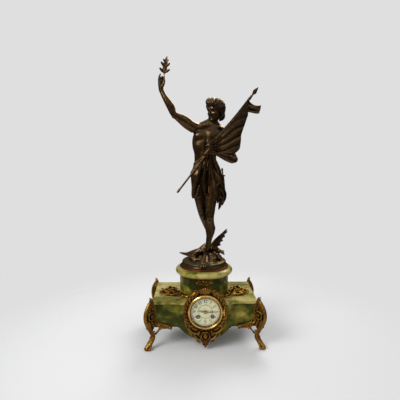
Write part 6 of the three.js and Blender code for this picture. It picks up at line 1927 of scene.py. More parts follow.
def model_crest():
    clay = Clay()
    low = DIAL_Z + 61.5
    tall = DRUM_TOP - 0.6 - low

    def line(rows, k=1.0):
        clay.strand([[x, -math.sqrt((DRUM_RADIUS + 1.4 + out) ** 2 - x * x), low + share * tall,
                      *size] for x, out, share, *size in rows], k)

    def pair(rows, k=1.0):
        line([[way * x, *rest] for x, *rest in rows], k)

    for way in (-1, 1):
        pair([[2.4, 0.6, 0.1, 2.0], [7.4, 1.0, 0.28, 2.2], [14.6, 1.0, 0.42, 2.3], [18.2, 1.0, 0.68, 2.0],
              [14.8, 1.2, 0.86, 1.7],
              [11, 1.4, 0.74, 1.3], [12.8, 1.4, 0.62, 1.0]])
        pair([[6, 0.6, 0.3, 1.6], [7.8, 1.2, 0.6, 1.8], [4.8, 1.0, 0.86, 1.0]])
        pair([[16, 0.4, 0.4, 1.4], [21.4, 0.6, 0.36, 1.5], [24.4, 0.4, 0.56, 0.8]])
        pair([[11, 0.4, 0.36, 1.4], [13.6, 0.8, 0.14, 1.5], [18, 0.4, 0.1, 0.8]])
        pair([[0.9, 1.0, 0.3, 1.3], [3.2, 2.2, 0.66, 1.5], [3.4, 1.2, 0.92, 0.8]])
    line([[0, 0.8, 0.08, 2.4, 1.8], [0, 2.4, 0.42, 2.2, 1.8], [0, 1.6, 0.95, 0.9, 1.0]])
    clay.egg((0, -DRUM_RADIUS - 3.2, low + 0.2 * tall), (2.4, 1.8, 2.2), 0.7)

    def off_drum(points, distance):
        drum = np.hypot(points[:, 0], points[:, 1]) - DRUM_RADIUS - GAP
        return np.maximum.reduce([distance, -drum, low - 0.4 - points[:, 2], points[:, 2] - DRUM_TOP + 0.4])

    clay.work(off_drum)
    return clay


def model_spray():
    """Acanthus scrolls that lie on the right wing of the slab."""
    clay = Clay()

    def line(rows, k=1.4):
        slim = 0.8 if len(rows[0]) == 4 else 1
        back = lambda x: min(14, max(0, x - 46) * 0.6)
        clay.strand([[x, y + back(x), SLAB_HIGH + rise, *[s * slim for s in size]] for x, y, rise,
                     *size in rows], k, front=(0, 0, 1))

    def leaf(x, y, turn, length, wide):
        c, n = math.cos(turn), math.sin(turn)
        line([[x, y, 3, wide * 0.8, 1.4], [x + c * length * 0.5, y + n * length * 0.5, 6, wide * 1.35, 1.5],
              [x + c * length, y + n * length, 4.2, wide * 0.4, 1]], 0.9)
        for side in (-1, 1):
            for share in (0.25, 0.5, 0.72):
                ax, ay = x + c * length * share, y + n * length * share
                bx = ax + c * length * 0.2 - side * n * wide * 1.7
                by = ay + n * length * 0.2 + side * c * wide * 1.7
                line([[ax, ay, 5.2, wide * 0.5, 1.3], [bx, by, 2.8, wide * 0.28, 0.9]], 0.7)

    line([[46, -60, 4, 3.0], [58, -61, 5, 3.2], [70, -53, 5, 3.0], [82, -47, 4.4, 2.8], [94, -46, 4, 2.8],
          [106, -37, 5, 2.7], [117, -31, 4.4, 2.3], [126, -20, 3, 1.5]])
    line([[72, -52, 5, 2.8], [84, -61, 6, 2.8], [96, -60, 5.4, 2.5], [100, -53, 4.6, 2.1],
          [94, -49.5, 4.4, 1.7], [90, -53, 4.8, 1.3]])
    line([[90, -46, 4, 2.6], [86, -35, 6, 2.6], [94, -26.5, 6.4, 2.4], [104, -29, 5.4, 2.0],
          [103.5, -36, 4.4, 1.6], [98, -36, 4.6, 1.2]])
    line([[58, -61, 5, 2.2], [60, -71, 4.6, 2.2], [70, -74.5, 4.2, 1.9], [75, -69, 4, 1.5],
          [71, -66, 4, 1.2]])
    line([[110, -34, 4.6, 2.0], [118, -41, 4.6, 2.0], [127, -40, 4, 1.6], [128, -34, 3.6, 1.2]])
    line([[84, -46, 4, 2.8], [80, -30, 6, 2.8], [84, -14, 8.5, 2.7], [95, -4, 9, 2.5], [106, -7, 8, 2.1],
          [107, -15, 6.5, 1.8], [101, -18, 6, 1.4], [97, -13, 7, 1.1]])
    line([[86, -18, 8, 2.2], [94, -24, 9, 2.2], [103, -24, 9, 1.8], [112, -18, 7, 1.8], [122, -10, 7, 1.6],
          [127, -2, 5, 1.1]])
    for x, y, turn, length, wide in ((56, -60, 0.15, 15, 3.6), (66, -54, 1.25, 15, 3.4),
                                     (80, -50, -0.75, 14, 3.2), (84, -44, 1.9, 13, 3.0),
                                     (98, -44, -0.35, 15, 3.2),
                                     (108, -36, 1.1, 15, 3.2), (116, -32, 0.2, 13, 2.8),
                                     (97, -54, 0.1, 13, 2.6),
                                     (80, -32, 2.2, 13, 3.0), (82, -20, 0.2, 14, 3.0),
                                     (88, -8, 2.0, 14, 3.2), (98, -4, 0.9, 14, 3.2),
                                     (110, -18, 0.1, 14, 3.0), (104, -10, -0.2, 14, 2.8)):
        leaf(x, y, turn, length, wide)
    for x, y, lean, tall in ((56, -57, -0.3, 12), (64, -53, 0.1, 13), (73, -49, 0.4, 13),
                             (83, -34, -0.2, 13), (86, -12, 0.2, 14),
                             (95, -4, 0.5, 14), (104, -20, 0.5, 12), (92, -45, 0.4, 12),
                             (112, -34, 0.6, 11)):
        line([[x, y, 3, 3.2, 1.5], [x + lean * 5, y - 0.6, tall * 0.6, 4.6, 1.4],
              [x + lean * 11, y - 4, tall, 1.4, 0.9]], 0.8)
    for x, y in ((96, -53), (99, -33), (73, -69.5)):
        clay.egg((x, y + 14, SLAB_HIGH + 5), (2.1, 2.1, 2.1), 0.6)

    def on_slab(points, distance):
        x, y, z = points.T
        drum = np.hypot(x, y) - DRUM_RADIUS - GAP
        return np.maximum.reduce([distance, -drum, SLAB_HIGH + 0.3 - z])

    clay.work(on_slab)
    return clay


class CLOCK_OT_mounts(bpy.types.Operator):
    """Cast the crest on the drum and the sprays on the slab"""

    bl_idname = "clock.mounts"
    bl_label = "Crest and sprays"

    def execute(self, context):
        gilt = finish("Gilt Bronze")
        coarse = coarser()
        place(model_crest().cast("crest_casting", 0.6 * coarse, deep=2.0), "case", "gilt_bronze", gilt,
              "crest_mount")
        right = model_spray().cast("spray_casting_r", 0.8 * coarse, deep=2.6)
        left = mirrored(right, "spray_casting_l", -1, 1)
        place(right, "case", "gilt_bronze", gilt, "spray_right")
        place(left, "case", "gilt_bronze", gilt, "spray_left")
        return {"FINISHED"}


# Dial


SIGHT = 38.9


class CLOCK_OT_bezel(bpy.types.Operator):
    """Make the hinged bezel and its glass"""

    bl_idname = "clock.bezel"
    bl_label = "Bezel"

    def execute(self, context):
        back = SURROUND_FRONT - 0.3
        r = BEZEL_RADIUS
        rebate = SIGHT + 3.3
        profile = [(rebate, back), (r - 0.2, back), (r, back - 0.2), (r, back - 1.9),
                   (r - 0.3, back - 2.5), (r - 0.9, back - 2.8), (r - 1.3, back - 3.5),
                   (r - 2.2, back - 4.3), (r - 3.3, back - 4.75), (r - 4.3, back - 4.6),
                   (r - 5.0, back - 4.0), (r - 5.3, back - 3.6), (r - 5.9, back - 3.3),
                   (SIGHT + 2.4, back - 3.2), (SIGHT + 1.6, back - 3.6), (SIGHT + 0.7, back - 3.3),
                   (SIGHT, back - 2.5), (SIGHT, back - 1.7),
                   (rebate, back - 1.7), (rebate, back)]
        ring = turned("bezel_ring", profile, 192, "Y", (0, 0, DIAL_Z))
        sharpen(ring, 45)
        ring.data.materials.append(finish("Bright Gilt"))
        place(ring, "bezel", "gilt_bronze", finish("Bright Gilt"), "bezel_door")
        ring.data.materials.append(finish("Dark Bronze"))
        for polygon in ring.data.polygons:
            away = math.hypot(polygon.center.x, polygon.center.z - DIAL_Z * MM) / MM
            if away < SIGHT + 2.9:
                polygon.material_index = 1
        beads = []
        count = 96
        for i in range(count):
            angle = 2 * math.pi * i / count
            beads.append(((r - 5.9) * math.cos(angle), back - 3.5, DIAL_Z + (r - 5.9) * math.sin(angle)))
        place(bead_row("bezel_beads", beads, 0.85), "bezel", "gilt_bronze", finish("Bright Gilt"),
              "bezel_door")
        made = knuckle("bezel_knuckle", HINGE_X, HINGE_Y, DIAL_Z - 4, DIAL_Z + 4)
        place(made, "bezel", "gilt_bronze", finish("Bright Gilt"), "bezel_door")
        tongue = prism("bezel_tongue", [(r - 2, HINGE_Y - 1.2), (HINGE_X - 1.4, HINGE_Y - 1.4),
                                        (HINGE_X - 1.4, HINGE_Y + 1.2), (r - 2, HINGE_Y + 1.4)],
                       DIAL_Z - 3.8, DIAL_Z + 3.8)
        place(polish(tongue, 0.0003), "bezel", "gilt_bronze", finish("Bright Gilt"), "bezel_door")
        glass_back = back - 0.2
        dome = [(0, glass_back - 1.15)]
        for i in range(1, 9):
            share = i / 8
            dome.append(((SIGHT + 2.8) * share, glass_back - 1.15 + 0.1 * share**2))
        dome += [(SIGHT + 3, glass_back - 0.9), (SIGHT + 3, glass_back), (0, glass_back)]
        glass = turned("bezel_pane", dome, 96, "Y", (0, 0, DIAL_Z))
        place(sharpen(glass, 40), "bezel", "glass", glass_finish(), "bezel_glass")
        return {"FINISHED"}


def bead_row(name, places, radius):
    """A row of beads as one mesh."""
    verts, faces = [], []
    rings, sides = 5, 10
    for x, y, z in places:
        base = len(verts)
        verts.append((x, y, z + radius))
        for i in range(1, rings):
            polar = math.pi * i / rings
            for k in range(sides):
                turn = 2 * math.pi * k / sides
                verts.append((x + radius * math.sin(polar) * math.cos(turn),
                              y + radius * math.sin(polar) * math.sin(turn), z + radius * math.cos(polar)))
        verts.append((x, y, z - radius))
        last = len(verts) - 1
        for k in range(sides):
            n = (k + 1) % sides
            faces.append((base, base + 1 + k, base + 1 + n))
            faces.append((last, last - sides + n, last - sides + k))
            for i in range(rings - 2):
                a = base + 1 + i * sides
                faces.append((a + k, a + sides + k, a + sides + n, a + n))
    return make_object(name, verts, faces)


def glass_finish():
    """Clear glass that lets lamp light and the light of the room fall on the dial."""
    material, tree, shader = new_material("Dial Glass")
    shader.inputs["Base Color"].default_value = (0.97, 0.99, 0.98, 1)
    shader.inputs["Roughness"].default_value = 0.02
    shader.inputs["IOR"].default_value = 1.45
    shader.inputs["Transmission Weight"].default_value = 1.0
    path = tree.nodes.new("ShaderNodeLightPath")
    indirect = maths(tree, "MAXIMUM", path.outputs["Is Shadow Ray"], path.outputs["Is Diffuse Ray"])
    tree.links.new(maths(tree, "SUBTRACT", 1.0, maths(tree, "MULTIPLY", indirect, 0.96)),
                   shader.inputs["Alpha"])
    return material


# Strokes of the digits in a box one high: points from the middle of the foot, with half widths
THIN, FAT = 0.045, 0.1
DIGITS = {
    "0": [[(0, 1, THIN), (0.2, 0.86, 0.08), (0.27, 0.5, FAT), (0.2, 0.14, 0.08), (0, 0, THIN),
           (-0.2, 0.14, 0.08), (-0.27, 0.5, FAT), (-0.2, 0.86, 0.08), (0, 1, THIN)]],
    "1": [[(-0.17, 0.8, THIN), (0.03, 0.98, 0.06)], [(0.03, 1, FAT), (0.03, 0, FAT)],
          [(-0.15, 0.02, THIN), (0.21, 0.02, THIN)]],
    "2": [[(-0.23, 0.74, 0.09), (-0.14, 0.94, THIN), (0.06, 1, 0.06), (0.22, 0.86, FAT),
           (0.19, 0.64, 0.09), (-0.02, 0.36, THIN), (-0.26, 0.05, THIN)],
          [(-0.26, 0.04, 0.08), (0.27, 0.04, FAT), (0.3, 0.2, THIN)]],
    "3": [[(-0.2, 0.84, 0.08), (-0.04, 1, THIN), (0.17, 0.88, FAT), (0.15, 0.65, 0.08),
           (-0.05, 0.54, THIN)],
          [(-0.05, 0.54, THIN), (0.18, 0.46, 0.08), (0.24, 0.22, FAT), (0.05, 0, THIN),
           (-0.17, 0.05, 0.06), (-0.25, 0.2, 0.09)]],
    "4": [[(0.08, 1, THIN), (-0.3, 0.3, THIN)], [(-0.3, 0.3, 0.05), (0.3, 0.3, 0.05)],
          [(0.1, 1, FAT), (0.1, 0, FAT)]],
    "5": [[(0.22, 0.96, 0.07), (-0.15, 0.96, 0.07)], [(-0.15, 0.98, THIN), (-0.19, 0.56, THIN)],
          [(-0.19, 0.56, THIN), (0.02, 0.65, 0.06), (0.23, 0.5, 0.09), (0.24, 0.24, FAT),
           (0.05, 0.01, THIN), (-0.15, 0.04, 0.06), (-0.25, 0.18, 0.09)]],
    "6": [[(0.2, 0.94, 0.07), (-0.06, 0.9, THIN), (-0.24, 0.6, 0.09), (-0.25, 0.28, FAT),
           (-0.06, 0.01, THIN), (0.16, 0.06, 0.08), (0.25, 0.28, FAT),
           (0.14, 0.52, 0.06), (-0.04, 0.54, THIN), (-0.2, 0.4, THIN)]],
    "7": [[(-0.26, 0.82, THIN), (-0.24, 0.95, 0.06), (0.26, 0.95, 0.07)],
          [(0.27, 0.97, THIN), (0.04, 0.5, 0.07), (-0.05, 0, FAT)]],
    "8": [[(0, 0.55, 0.06), (0.2, 0.7, 0.08), (0.17, 0.92, 0.07), (0, 1, THIN), (-0.17, 0.92, 0.08),
           (-0.18, 0.7, 0.08), (0, 0.55, 0.06), (0.2, 0.42, 0.08),
           (0.23, 0.18, 0.09), (0, 0, THIN), (-0.23, 0.18, 0.09), (-0.2, 0.42, 0.08), (0, 0.55, 0.06)]],
}
DIGITS["9"] = [[(-x, 1 - z, w) for x, z, w in stroke] for stroke in DIGITS["6"]]


class Print:
    """Flat marks that lie on the dial, gathered in one mesh."""

    def __init__(self, level):
        self.level = level
        self.verts = []
        self.faces = []

    def ribbon(self, rows, steps=None):
        """A flat stroke along rows of x, z and half width."""
        rows = fair(rows, steps or max(1, 5 * (len(rows) - 1)))
        base = len(self.verts)
        along = np.gradient(rows[:, :2], axis=0)
        along /= np.maximum(np.linalg.norm(along, axis=1), 1e-9)[:, None]
        for (x, z, w), (dx, dz) in zip(rows, along):
            self.verts.append((x - dz * w, self.level, z + dx * w))
            self.verts.append((x + dz * w, self.level, z - dx * w))
        for i in range(len(rows) - 1):
            a = base + 2 * i
            self.faces.append((a, a + 1, a + 3, a + 2))

    def circle(self, x, z, radius, sides):
        for i in range(sides):
            angle = 2 * math.pi * i / sides
            self.verts.append((x + radius * math.cos(angle), self.level, z + radius * math.sin(angle)))

    def disc(self, x, z, radius, sides, inner=0.0):
        """A round dot, or a ring where it has an inner radius."""
        base = len(self.verts)
        self.circle(x, z, radius, sides)
        if not inner:
            self.faces.append(tuple(range(base, base + sides)))
            return
        self.circle(x, z, inner, sides)
        for i in range(sides):
            n = (i + 1) % sides
            self.faces.append((base + i, base + n, base + sides + n, base + sides + i))

    def made(self, name, thickness=0.05):
        obj = make_object(name, self.verts, self.faces, smooth=False)
        mesh = bmesh.new()
        mesh.from_mesh(obj.data)
        grown = bmesh.ops.extrude_face_region(mesh, geom=mesh.faces[:])
        moved = [item for item in grown["geom"] if isinstance(item, bmesh.types.BMVert)]
        bmesh.ops.translate(mesh, verts=moved, vec=(0, thickness * MM, 0))
        bmesh.ops.recalc_face_normals(mesh, faces=mesh.faces)
        mesh.to_mesh(obj.data)
        mesh.free()
        return obj


def round_dial(angle, radius, side=0.0):
    """A place on the dial: clockwise angle from twelve, distance from the centre, and a step sideways."""
    across, up = math.sin(angle), math.cos(angle)
    return radius * across + side * up, DIAL_Z + radius * up - side * across


def print_hours(marks, size):
    """The twelve numbers, each upright along its own radius."""
    for hour in range(1, 13):
        angle = 2 * math.pi * hour / 12
        text = str(hour)
        for i, digit in enumerate(text):
            shift = (i - (len(text) - 1) / 2) * 0.56 * size
            for stroke in DIGITS[digit]:
                marks.ribbon([[*round_dial(angle, NUMERAL_FOOT + up * size, x * size + shift), w * size]
                              for x, up, w in stroke])


def print_minutes(marks, count):
    """The minute dots, every fifth one larger, and the fine ring outside them."""
    for i in range(count):
        marks.disc(*round_dial(2 * math.pi * i / count, MINUTE_RING), 0.3 if i % 5 else 0.55, 10)
    marks.disc(0, DIAL_Z, 37.6, 96, 37.35)


def print_garlands(garland, blooms):
    """Twelve leafy swags with a bloom at each end, and two fine rings."""
    for i in range(12):
        start = 2 * math.pi * i / 12
        swag_at = lambda t: (start + math.pi / 6 * t, SWAG_RING - 3.0 * math.sin(math.pi * t))
        garland.ribbon([[*round_dial(*swag_at(t)), 0.26] for t in np.linspace(0.04, 0.96, 7)])
        for t in np.linspace(0.1, 0.9, 7):
            angle, r = swag_at(t)
            for side in (-1, 1):
                garland.ribbon([[*round_dial(angle, r), 0.16],
                                [*round_dial(angle + 0.02, r + side * 0.8), 0.34],
                                [*round_dial(angle + 0.05, r + side * 1.5), 0.08]], 4)
        blooms.disc(*round_dial(start, 21.2), 0.95, 12)
        blooms.disc(*round_dial(start + math.pi / 12, 17.4), 0.6, 10)
        blooms.disc(*round_dial(start, 33.6), 0.42, 8)
    blooms.disc(0, DIAL_Z, 9.2, 64, 8.8)
    blooms.disc(0, DIAL_Z, 34.9, 96, 34.65)


class CLOCK_OT_dial(bpy.types.Operator):
    """Make the enamel dial with its numbers, minute marks, garlands and winding holes"""

    bl_idname = "clock.dial"
    bl_label = "Dial"

    def execute(self, context):
        settings = context.scene.clock_dial
        face = DIAL_FRONT
        enamel = flat_finish("Enamel", tuple(settings.enamel), 0.12, coat=0.6, mottle=0.05)
        black = flat_finish("Black Enamel", (0.012, 0.012, 0.014), 0.25)
        green = flat_finish("Green Enamel", (0.1, 0.16, 0.03), 0.3)
        gold = finish("Bright Gilt")
        rows = [(4.5, face), (4.7, face - 0.02)] + [(4.7 + (38.6 - 4.7) * i / 12,
                                                     face - 0.02) for i in range(1, 13)]
        rows += [(39.4, face + 0.1), (40.0, face + 0.5), (40.0, face + 1.2), (4.5, face + 1.2), (4.5, face)]
        plate = turned("dial_face", rows, 128, "Y", (0, 0, DIAL_Z))
        holes = [turned("hole", [(0, face - 2), (3.1, face - 2), (3.1, face + 3), (0, face + 3)], 32, "Y",
                        (way * WINDING_SIDE, 0, DIAL_Z - WINDING_DROP))
                 for way in (-1, 1)]
        combine(plate, holes, "DIFFERENCE")
        place(sharpen(plate, 30), "case", "enamel", enamel, "dial_enamel")

        marks = Print(face - 0.08)
        print_hours(marks, settings.numeral_size / MM)
        print_minutes(marks, settings.minutes)
        place(marks.made("dial_numbers"), "case", "enamel", black)
        garland = Print(face - 0.075)
        blooms = Print(face - 0.09)
        print_garlands(garland, blooms)
        place(garland.made("dial_garlands"), "case", "enamel", green)
        place(blooms.made("dial_blooms"), "case", "enamel", gold)
        for i, way in enumerate((-1, 1)):
            rim = [(3.1, face - 0.1), (3.5, face - 0.5), (4.4, face - 0.7), (5.4, face - 0.45),
                   (5.9, face - 0.05), (3.1, face - 0.05), (3.1, face - 0.1)]
            grommet = turned(f"winding_rim_{i}", rim, 48, "Y",
                             (way * WINDING_SIDE, 0, DIAL_Z - WINDING_DROP))
            place(sharpen(grommet), "case", "enamel", black)
        self.hands()
        return {"FINISHED"}

    @staticmethod
    def hands():
        """Pierced hands at a quarter past nine."""
        coarse = 1.0
        for name, node_name, body, back, length, wide, hub, hole, turn in (
            ("hand_hour", "hour_hand", "hour_pipe", DIAL_FRONT - 1.4, 21.6, 2.6, 5.3, 3.85,
             2 * math.pi * 9.25 / 12),
            ("hand_minute", "minute_hand", "minute_arbor", DIAL_FRONT - 3.2, 32.4, 1.9, 3.1, 1.35,
             math.pi / 2),
        ):
            clay = Clay()
            level = back - 0.4
            at = lambda side, up: (side * math.cos(turn) + up * math.sin(turn), level,
                                   DIAL_Z + up * math.cos(turn) - side * math.sin(turn))
            line = lambda rows: clay.strand([[*at(x, up), w, 0.4] for x, up, w in rows], 0.3)
            ring = [(hub - 0.9) * np.array([math.cos(a), math.sin(a)]) for a in np.linspace(0, 2 * math.pi,
                17)]
            line([[x, z, 0.85] for x, z in ring])
            for side in (-1, 1):
                line([[side * hub * 0.4, hub * 0.8, 0.55], [side * wide * 0.25, length * 0.32, 0.5],
                      [side * wide, length * 0.44, 0.55],
                      [side * wide * 0.9, length * 0.56, 0.5], [side * 0.3, length * 0.68, 0.5]])
            line([[0, hub * 0.9, 0.5], [0, length * 0.36, 0.55], [0, length * 0.5, 0.4],
                  [0, length * 0.7, 0.55], [0, length * 0.78, 0.85], [0, length * 0.86, 0.5],
                  [0, length, 0.25]])
            hand = clay.cast(name, 0.3 * coarse, deep=1.0, smooth=1)
            place(hand, body, "gilt_bronze", finish("Gilt Bronze"), node_name)


def flat_finish(name, colour, roughness, coat=0.0, mottle=0.0):
    """A plain glossy finish with a faint cloudiness."""
    material, tree, shader = new_material(name)
    at = node(tree, "ShaderNodeTexCoord").outputs["Object"]
    clouds = node(tree, "ShaderNodeTexNoise", Vector=at, Scale=90.0, Detail=3.0)
    shade = tuple(c * (1 - mottle) for c in colour)
    colours = mix(tree, clouds.outputs["Fac"], colour, shade)
    tree.links.new(colours, shader.inputs["Base Color"])
    shader.inputs["Roughness"].default_value = roughness
    shader.inputs["Coat Weight"].default_value = coat
    return material


# Back and movement


REAR_FACE = SLAB_Y + 3
REAR_HINGE = (BORE + 4, REAR_FACE + 2.4)


class CLOCK_OT_back(bpy.types.Operator):
    """Turn the ring and the hinged door at the back"""

    bl_idname = "clock.back"
    bl_label = "Back ring and door"

    def execute(self, context):
        brass = finish("Brass")
        middle = (0, 0, DIAL_Z)
        case_back = CASE_Y + GAP
        face = REAR_FACE
        flange = turned("back_flange", [(43.2, case_back), (BORE + 6.6, case_back),
                                        (BORE + 7, case_back + 0.4), (BORE + 7, face - 4.6),
                                        (BORE + 6.4, face - 3.6), (BORE + 4.6, face - 2.8),
                                        (BORE + 3.4, face - 1.6), (BORE + 2.6, face - 0.3),
                                        (BORE + 2.2, face), (43.2, face), (43.2, case_back)], 160, "Y",
                                        middle)
        slab = prism("slab_room", [(-90, -10), (90, -10), (90, SLAB_Y + GAP), (-90, SLAB_Y + GAP)],
                     SLAB_LOW - GAP, SLAB_HIGH + GAP)
        hinge = turned("hinge_room", [(0, DIAL_Z - 9.3), (3.2, DIAL_Z - 9.3), (3.2, DIAL_Z + 9.3),
                                      (0, DIAL_Z + 9.3)], 32, "Z", (*REAR_HINGE, 0))
        combine(flange, [slab, hinge], "DIFFERENCE")
        tube = case_tube("back_tube", 40, face - 0.3, 128)
        for piece in (flange, tube):
            place(sharpen(piece), "case", "brass", brass, "rear_ring")
        for i, way in enumerate((-1, 1)):
            at = DIAL_Z + way * KNUCKLE_STEP
            place(knuckle(f"back_knuckle_{i}", *REAR_HINGE, at - 2, at + 2), "case", "brass", brass,
                  "rear_ring")
            web = hinge_block(f"back_web_{i}", (REAR_HINGE[0] - 1.5, REAR_HINGE[0] + 1.5),
                              (face - 1, REAR_HINGE[1] - 1.4), (at - 1.8, at + 1.8))
            place(web, "case", "brass", brass, "rear_ring")
        low = face + 0.3
        lid = turned("back_lid", [(0, low), (45.6, low), (46, low + 0.4), (46, low + 1.4),
                                  (45.5, low + 1.9), (44.2, low + 2.2), (43, low + 1.9),
                                  (41.6, low + 2.2), (34, low + 3.3), (20, low + 4.7), (8, low + 5.4),
                                  (0, low + 5.5)], 160, "Y", middle)
        knob = turned("back_knob", [(0, low + 2), (1.5, low + 2), (1.2, low + 3.4), (2, low + 4.6),
                                    (2, low + 6), (1.4, low + 6.8), (0, low + 7)],
                      32, "Y", (-BORE + 5, 0, DIAL_Z))
        tongue = hinge_block("back_tongue", (45, REAR_HINGE[0] - 1.4),
                             (REAR_HINGE[1] - 1, REAR_HINGE[1] + 1), (DIAL_Z - 3.8, DIAL_Z + 3.8))
        leaf = knuckle("back_leaf", *REAR_HINGE, DIAL_Z - 4, DIAL_Z + 4)
        for piece in (sharpen(lid), sharpen(knob, 60), tongue, leaf):
            place(piece, "rear_cover", "brass", brass, "rear_door")
        return {"FINISHED"}


def hinge_block(name, across, through, up):
    """A small block between a hinge knuckle and what it is fixed to."""
    (x0, x1), (y0, y1) = across, through
    return polish(prism(name, [(x0, y0), (x1, y0), (x1, y1), (x0, y1)], *up), 0.0003)


WORKS = {
    "Brass": ("bezel_pin", "rear_pin", "dial_plate", "hand_nut", "front_plate", "back_plate",
              "going_barrel", "strike_barrel",
              "intermediate_wheel", "centre_wheel", "third_wheel", "escape_wheel", "cannon_pinion",
              "minute_wheel", "hour_wheel",
              "strike_wheel", "suspension_cock"),
    "Steel": ("tie_rod", "tie_nut", "winding_arbor_going", "winding_arbor_strike", "anchor", "hammer",
              "bell_stand", "strap_left",
              "strap_right"),
}


def model_bell():
    """A thin shell with a thicker sound bow at its mouth, bored for the screw."""
    mouth, crown = span_of("bell", 1)
    radius = span_of("bell", 0)[1]
    outside = fair([[2.4, crown], [10, crown - 0.3], [17, crown - 1.2], [27, crown - 7.5],
                    [radius - 0.9, mouth + 3.5], [radius, mouth + 0.6]], 24)
    inside = fair([[radius - 2, mouth], [radius - 2.6, mouth + 4], [25.4, crown - 9], [16.4, crown - 3],
                   [10, crown - 2], [2.4, crown - 1.8]], 20)
    rows = [*outside, *inside, outside[0]]
    return turned("bell_shell", rows, 96, "Y", (0, 0, centre_of("bell")[2]))


def model_pendulum():
    """A lens bob with a turned rim on a thin rod, and the rating nut under it."""
    low, high = span_of("pendulum", 2)
    radius = span_of("pendulum", 0)[1]
    middle = centre_of("pendulum")[1]
    lens = [[0, -3.2], [3, -3.1], [6.6, -2.5], [9.6, -1.3], [10.2, -1.1], [10.4, -0.7], [radius, -0.5],
            [radius, 0.5], [10.4, 0.7],
            [10.2, 1.1], [9.6, 1.3], [6.6, 2.5], [3, 3.1], [0, 3.2]]
    bob = turned("pendulum_bob", [[r, middle + y] for r, y in lens], 72, "Y", (0, 0, low + radius + 2))
    stem = [[0, low], [0.8, low], [0.8, low + 0.2], [1.9, low + 0.4], [1.9, low + 1.5], [0.8, low + 1.8],
            [0.8, high], [0, high]]
    rod = turned("pendulum_stem", stem, 24, "Z", (0, middle, 0))
    return bob, rod


class CLOCK_OT_movement(bpy.types.Operator):
    """Finish the going and striking trains, the bell and the fixings, whose forms come with the frame"""

    bl_idname = "clock.movement"
    bl_label = "Movement"

    def execute(self, context):
        place(model_bell(), "case", "bell_metal", finish("Bell Metal"), "bell")
        for piece in model_pendulum():
            sharpen(piece, 35)
            place(piece, "pendulum_rod", "brass", finish("Brass"), "pendulum")
        for metal_name, nodes in WORKS.items():
            for name in nodes:
                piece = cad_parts[name]
                piece.data.materials.clear()
                piece.data.materials.append(finish(metal_name))
                edges = piece.modifiers.new("edges", "BEVEL")
                edges.width = 0.00012
                edges.segments = 2
                edges.limit_method = "ANGLE"
                edges.angle_limit = math.radians(35)
        return {"FINISHED"}


class CLOCK_OT_stage(bpy.types.Operator):
    """Add the floor, the backdrop, the lamps and the camera"""

    bl_idname = "clock.stage"
    bl_label = "Stage"

    def execute(self, context):
        settings = context.scene.clock_stage
        floor = stage_floor()
        lamps = [
            add_lamp("Key", (-1.4, -1.3, 1.6), (0, 0, 0.4), 1.1, settings.key),
            add_lamp("Fill", (1.5, -1.3, 1.0), (0, 0, 0.35), 1.4, settings.key * 0.03),
            add_lamp("Rim", (0.5, 1.3, 1.5), (0, 0, 0.45), 0.9, settings.key * 0.5),
        ]
        stage_world(context.scene, tuple(settings.backdrop))
        data = bpy.data.cameras.new("Camera")
        data.lens = 31.95
        data.sensor_width = 36
        camera = bpy.data.objects.new("Camera", data)
        camera.location = (-0.04003, -1.01292, 0.49162)
        camera.rotation_euler = (math.radians(90 - 5.34), 0, math.radians(-1.6))
        context.scene.collection.objects.link(camera)
        context.scene.camera = camera
        context.scene.view_settings.view_transform = "Standard"
        return {"FINISHED"}


def stage_floor():
    rings = [0.0, 0.3, 0.6, 0.9, 1.2, 1.6]
    sides = 64
    verts, faces = [(0, 0, 0)], []
    for ring in rings[1:]:
        for i in range(sides):
            angle = 2 * math.pi * i / sides
            verts.append((1000 * ring * math.cos(angle), 1000 * ring * math.sin(angle), 0))
    for i in range(sides):
        faces.append((0, 1 + i, 1 + (i + 1) % sides))
        for r in range(len(rings) - 2):
            a, b = 1 + r * sides, 1 + (r + 1) * sides
            faces.append((a + i, b + i, b + (i + 1) % sides, a + (i + 1) % sides))
    floor = make_object("Floor", verts, faces, smooth=False)
    material, tree, shader = new_material("Floor")
    shader.inputs["Base Color"].default_value = (0.66, 0.66, 0.665, 1)
    shader.inputs["Roughness"].default_value = 0.9
    shader.inputs["Specular IOR Level"].default_value = 0.1
    away = node(tree, "ShaderNodeVectorMath", {"operation": "LENGTH"})
    tree.links.new(node(tree, "ShaderNodeTexCoord").outputs["Object"], away.inputs[0])
    clear = tree.nodes.new("ShaderNodeBsdfTransparent")
    fade = tree.nodes.new("ShaderNodeMixShader")
    tree.links.new(ramp(tree, away.outputs["Value"], [(0.3, 0.0), (0.75, 1.0)], "EASE"), fade.inputs["Fac"])
    tree.links.new(shader.outputs[0], fade.inputs[1])
    tree.links.new(clear.outputs[0], fade.inputs[2])
    tree.links.new(fade.outputs[0], tree.nodes["Material Output"].inputs["Surface"])
    floor.data.materials.append(material)
    return floor


def add_lamp(name, at, target, size, power):
    data = bpy.data.lights.new(name, "AREA")
    data.size = size
    data.energy = power
    lamp = bpy.data.objects.new(name, data)
    lamp.location = at
    lamp.rotation_euler = (Vector(target) - Vector(at)).to_track_quat("-Z", "Y").to_euler()
    bpy.context.scene.collection.objects.link(lamp)
    return lamp


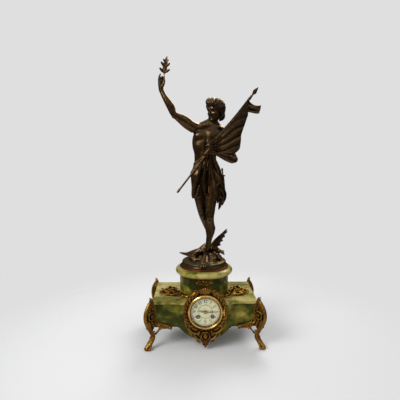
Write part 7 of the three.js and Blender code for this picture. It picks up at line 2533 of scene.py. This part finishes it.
def stage_world(scene, backdrop):
    """Plain backdrop for the camera, soft light on the object, and a dark and light room to mirror."""
    world = bpy.data.worlds.new("Studio")
    world.use_nodes = True
    scene.world = world
    tree = world.node_tree
    path = tree.nodes.new("ShaderNodeLightPath")
    up = node(tree, "ShaderNodeSeparateXYZ")
    tree.links.new(tree.nodes.new("ShaderNodeTexCoord").outputs["Generated"], up.inputs[0])
    height = node(tree, "ShaderNodeMapRange", Value=up.outputs["Z"], **{"From Min": -1.0, "From Max": 1.0})
    room = ramp(tree, height.outputs[0], [(0.3, 0.12), (0.48, 0.05), (0.62, 0.2), (0.85, 0.75)])
    soft = (0.6, 0.6, 0.6)
    lit = mix(tree, path.outputs["Is Glossy Ray"], soft, room)
    seen = mix(tree, path.outputs["Is Camera Ray"], lit, backdrop)
    through = mix(tree, path.outputs["Is Transmission Ray"], seen, backdrop)
    tree.links.new(through, tree.nodes["Background"].inputs["Color"])


SETTINGS = {
    "clock_stone": ClockStoneSettings,
    "clock_metal": ClockMetalSettings,
    "clock_dial": ClockDialSettings,
    "clock_stage": ClockStageSettings,
}
OPERATORS = (
    CLOCK_OT_finishes,
    CLOCK_OT_onyx,
    CLOCK_OT_plinth,
    CLOCK_OT_legs,
    CLOCK_OT_surround,
    CLOCK_OT_mounts,
    CLOCK_OT_bezel,
    CLOCK_OT_dial,
    CLOCK_OT_figure,
    CLOCK_OT_arms,
    CLOCK_OT_standard,
    CLOCK_OT_emblems,
    CLOCK_OT_back,
    CLOCK_OT_movement,
    CLOCK_OT_stage,
)


class CLOCK_PT_panel(bpy.types.Panel):
    """Pieces of the clock and their settings"""

    bl_label = "Figural Mantel Clock"
    bl_idname = "CLOCK_PT_panel"
    bl_space_type = "VIEW_3D"
    bl_region_type = "UI"
    bl_category = "Clock"

    def draw(self, context):
        for operator in OPERATORS:
            self.layout.operator(operator.bl_idname)
        for name, group in SETTINGS.items():
            box = self.layout.box()
            box.label(text=group.__doc__)
            for prop in group.__annotations__:
                box.prop(getattr(context.scene, name), prop)


CLASSES = (*SETTINGS.values(), *OPERATORS, CLOCK_PT_panel)


def register():
    for made in CLASSES:
        bpy.utils.register_class(made)
    for name, group in SETTINGS.items():
        setattr(bpy.types.Scene, name, PointerProperty(type=group))


def unregister():
    for name in SETTINGS:
        delattr(bpy.types.Scene, name)
    for made in reversed(CLASSES):
        bpy.utils.unregister_class(made)


def main():
    register()
    for operator in OPERATORS:
        family, name = operator.bl_idname.split(".")
        getattr(getattr(bpy.ops, family), name)()


if __name__ == "__main__":
    main()
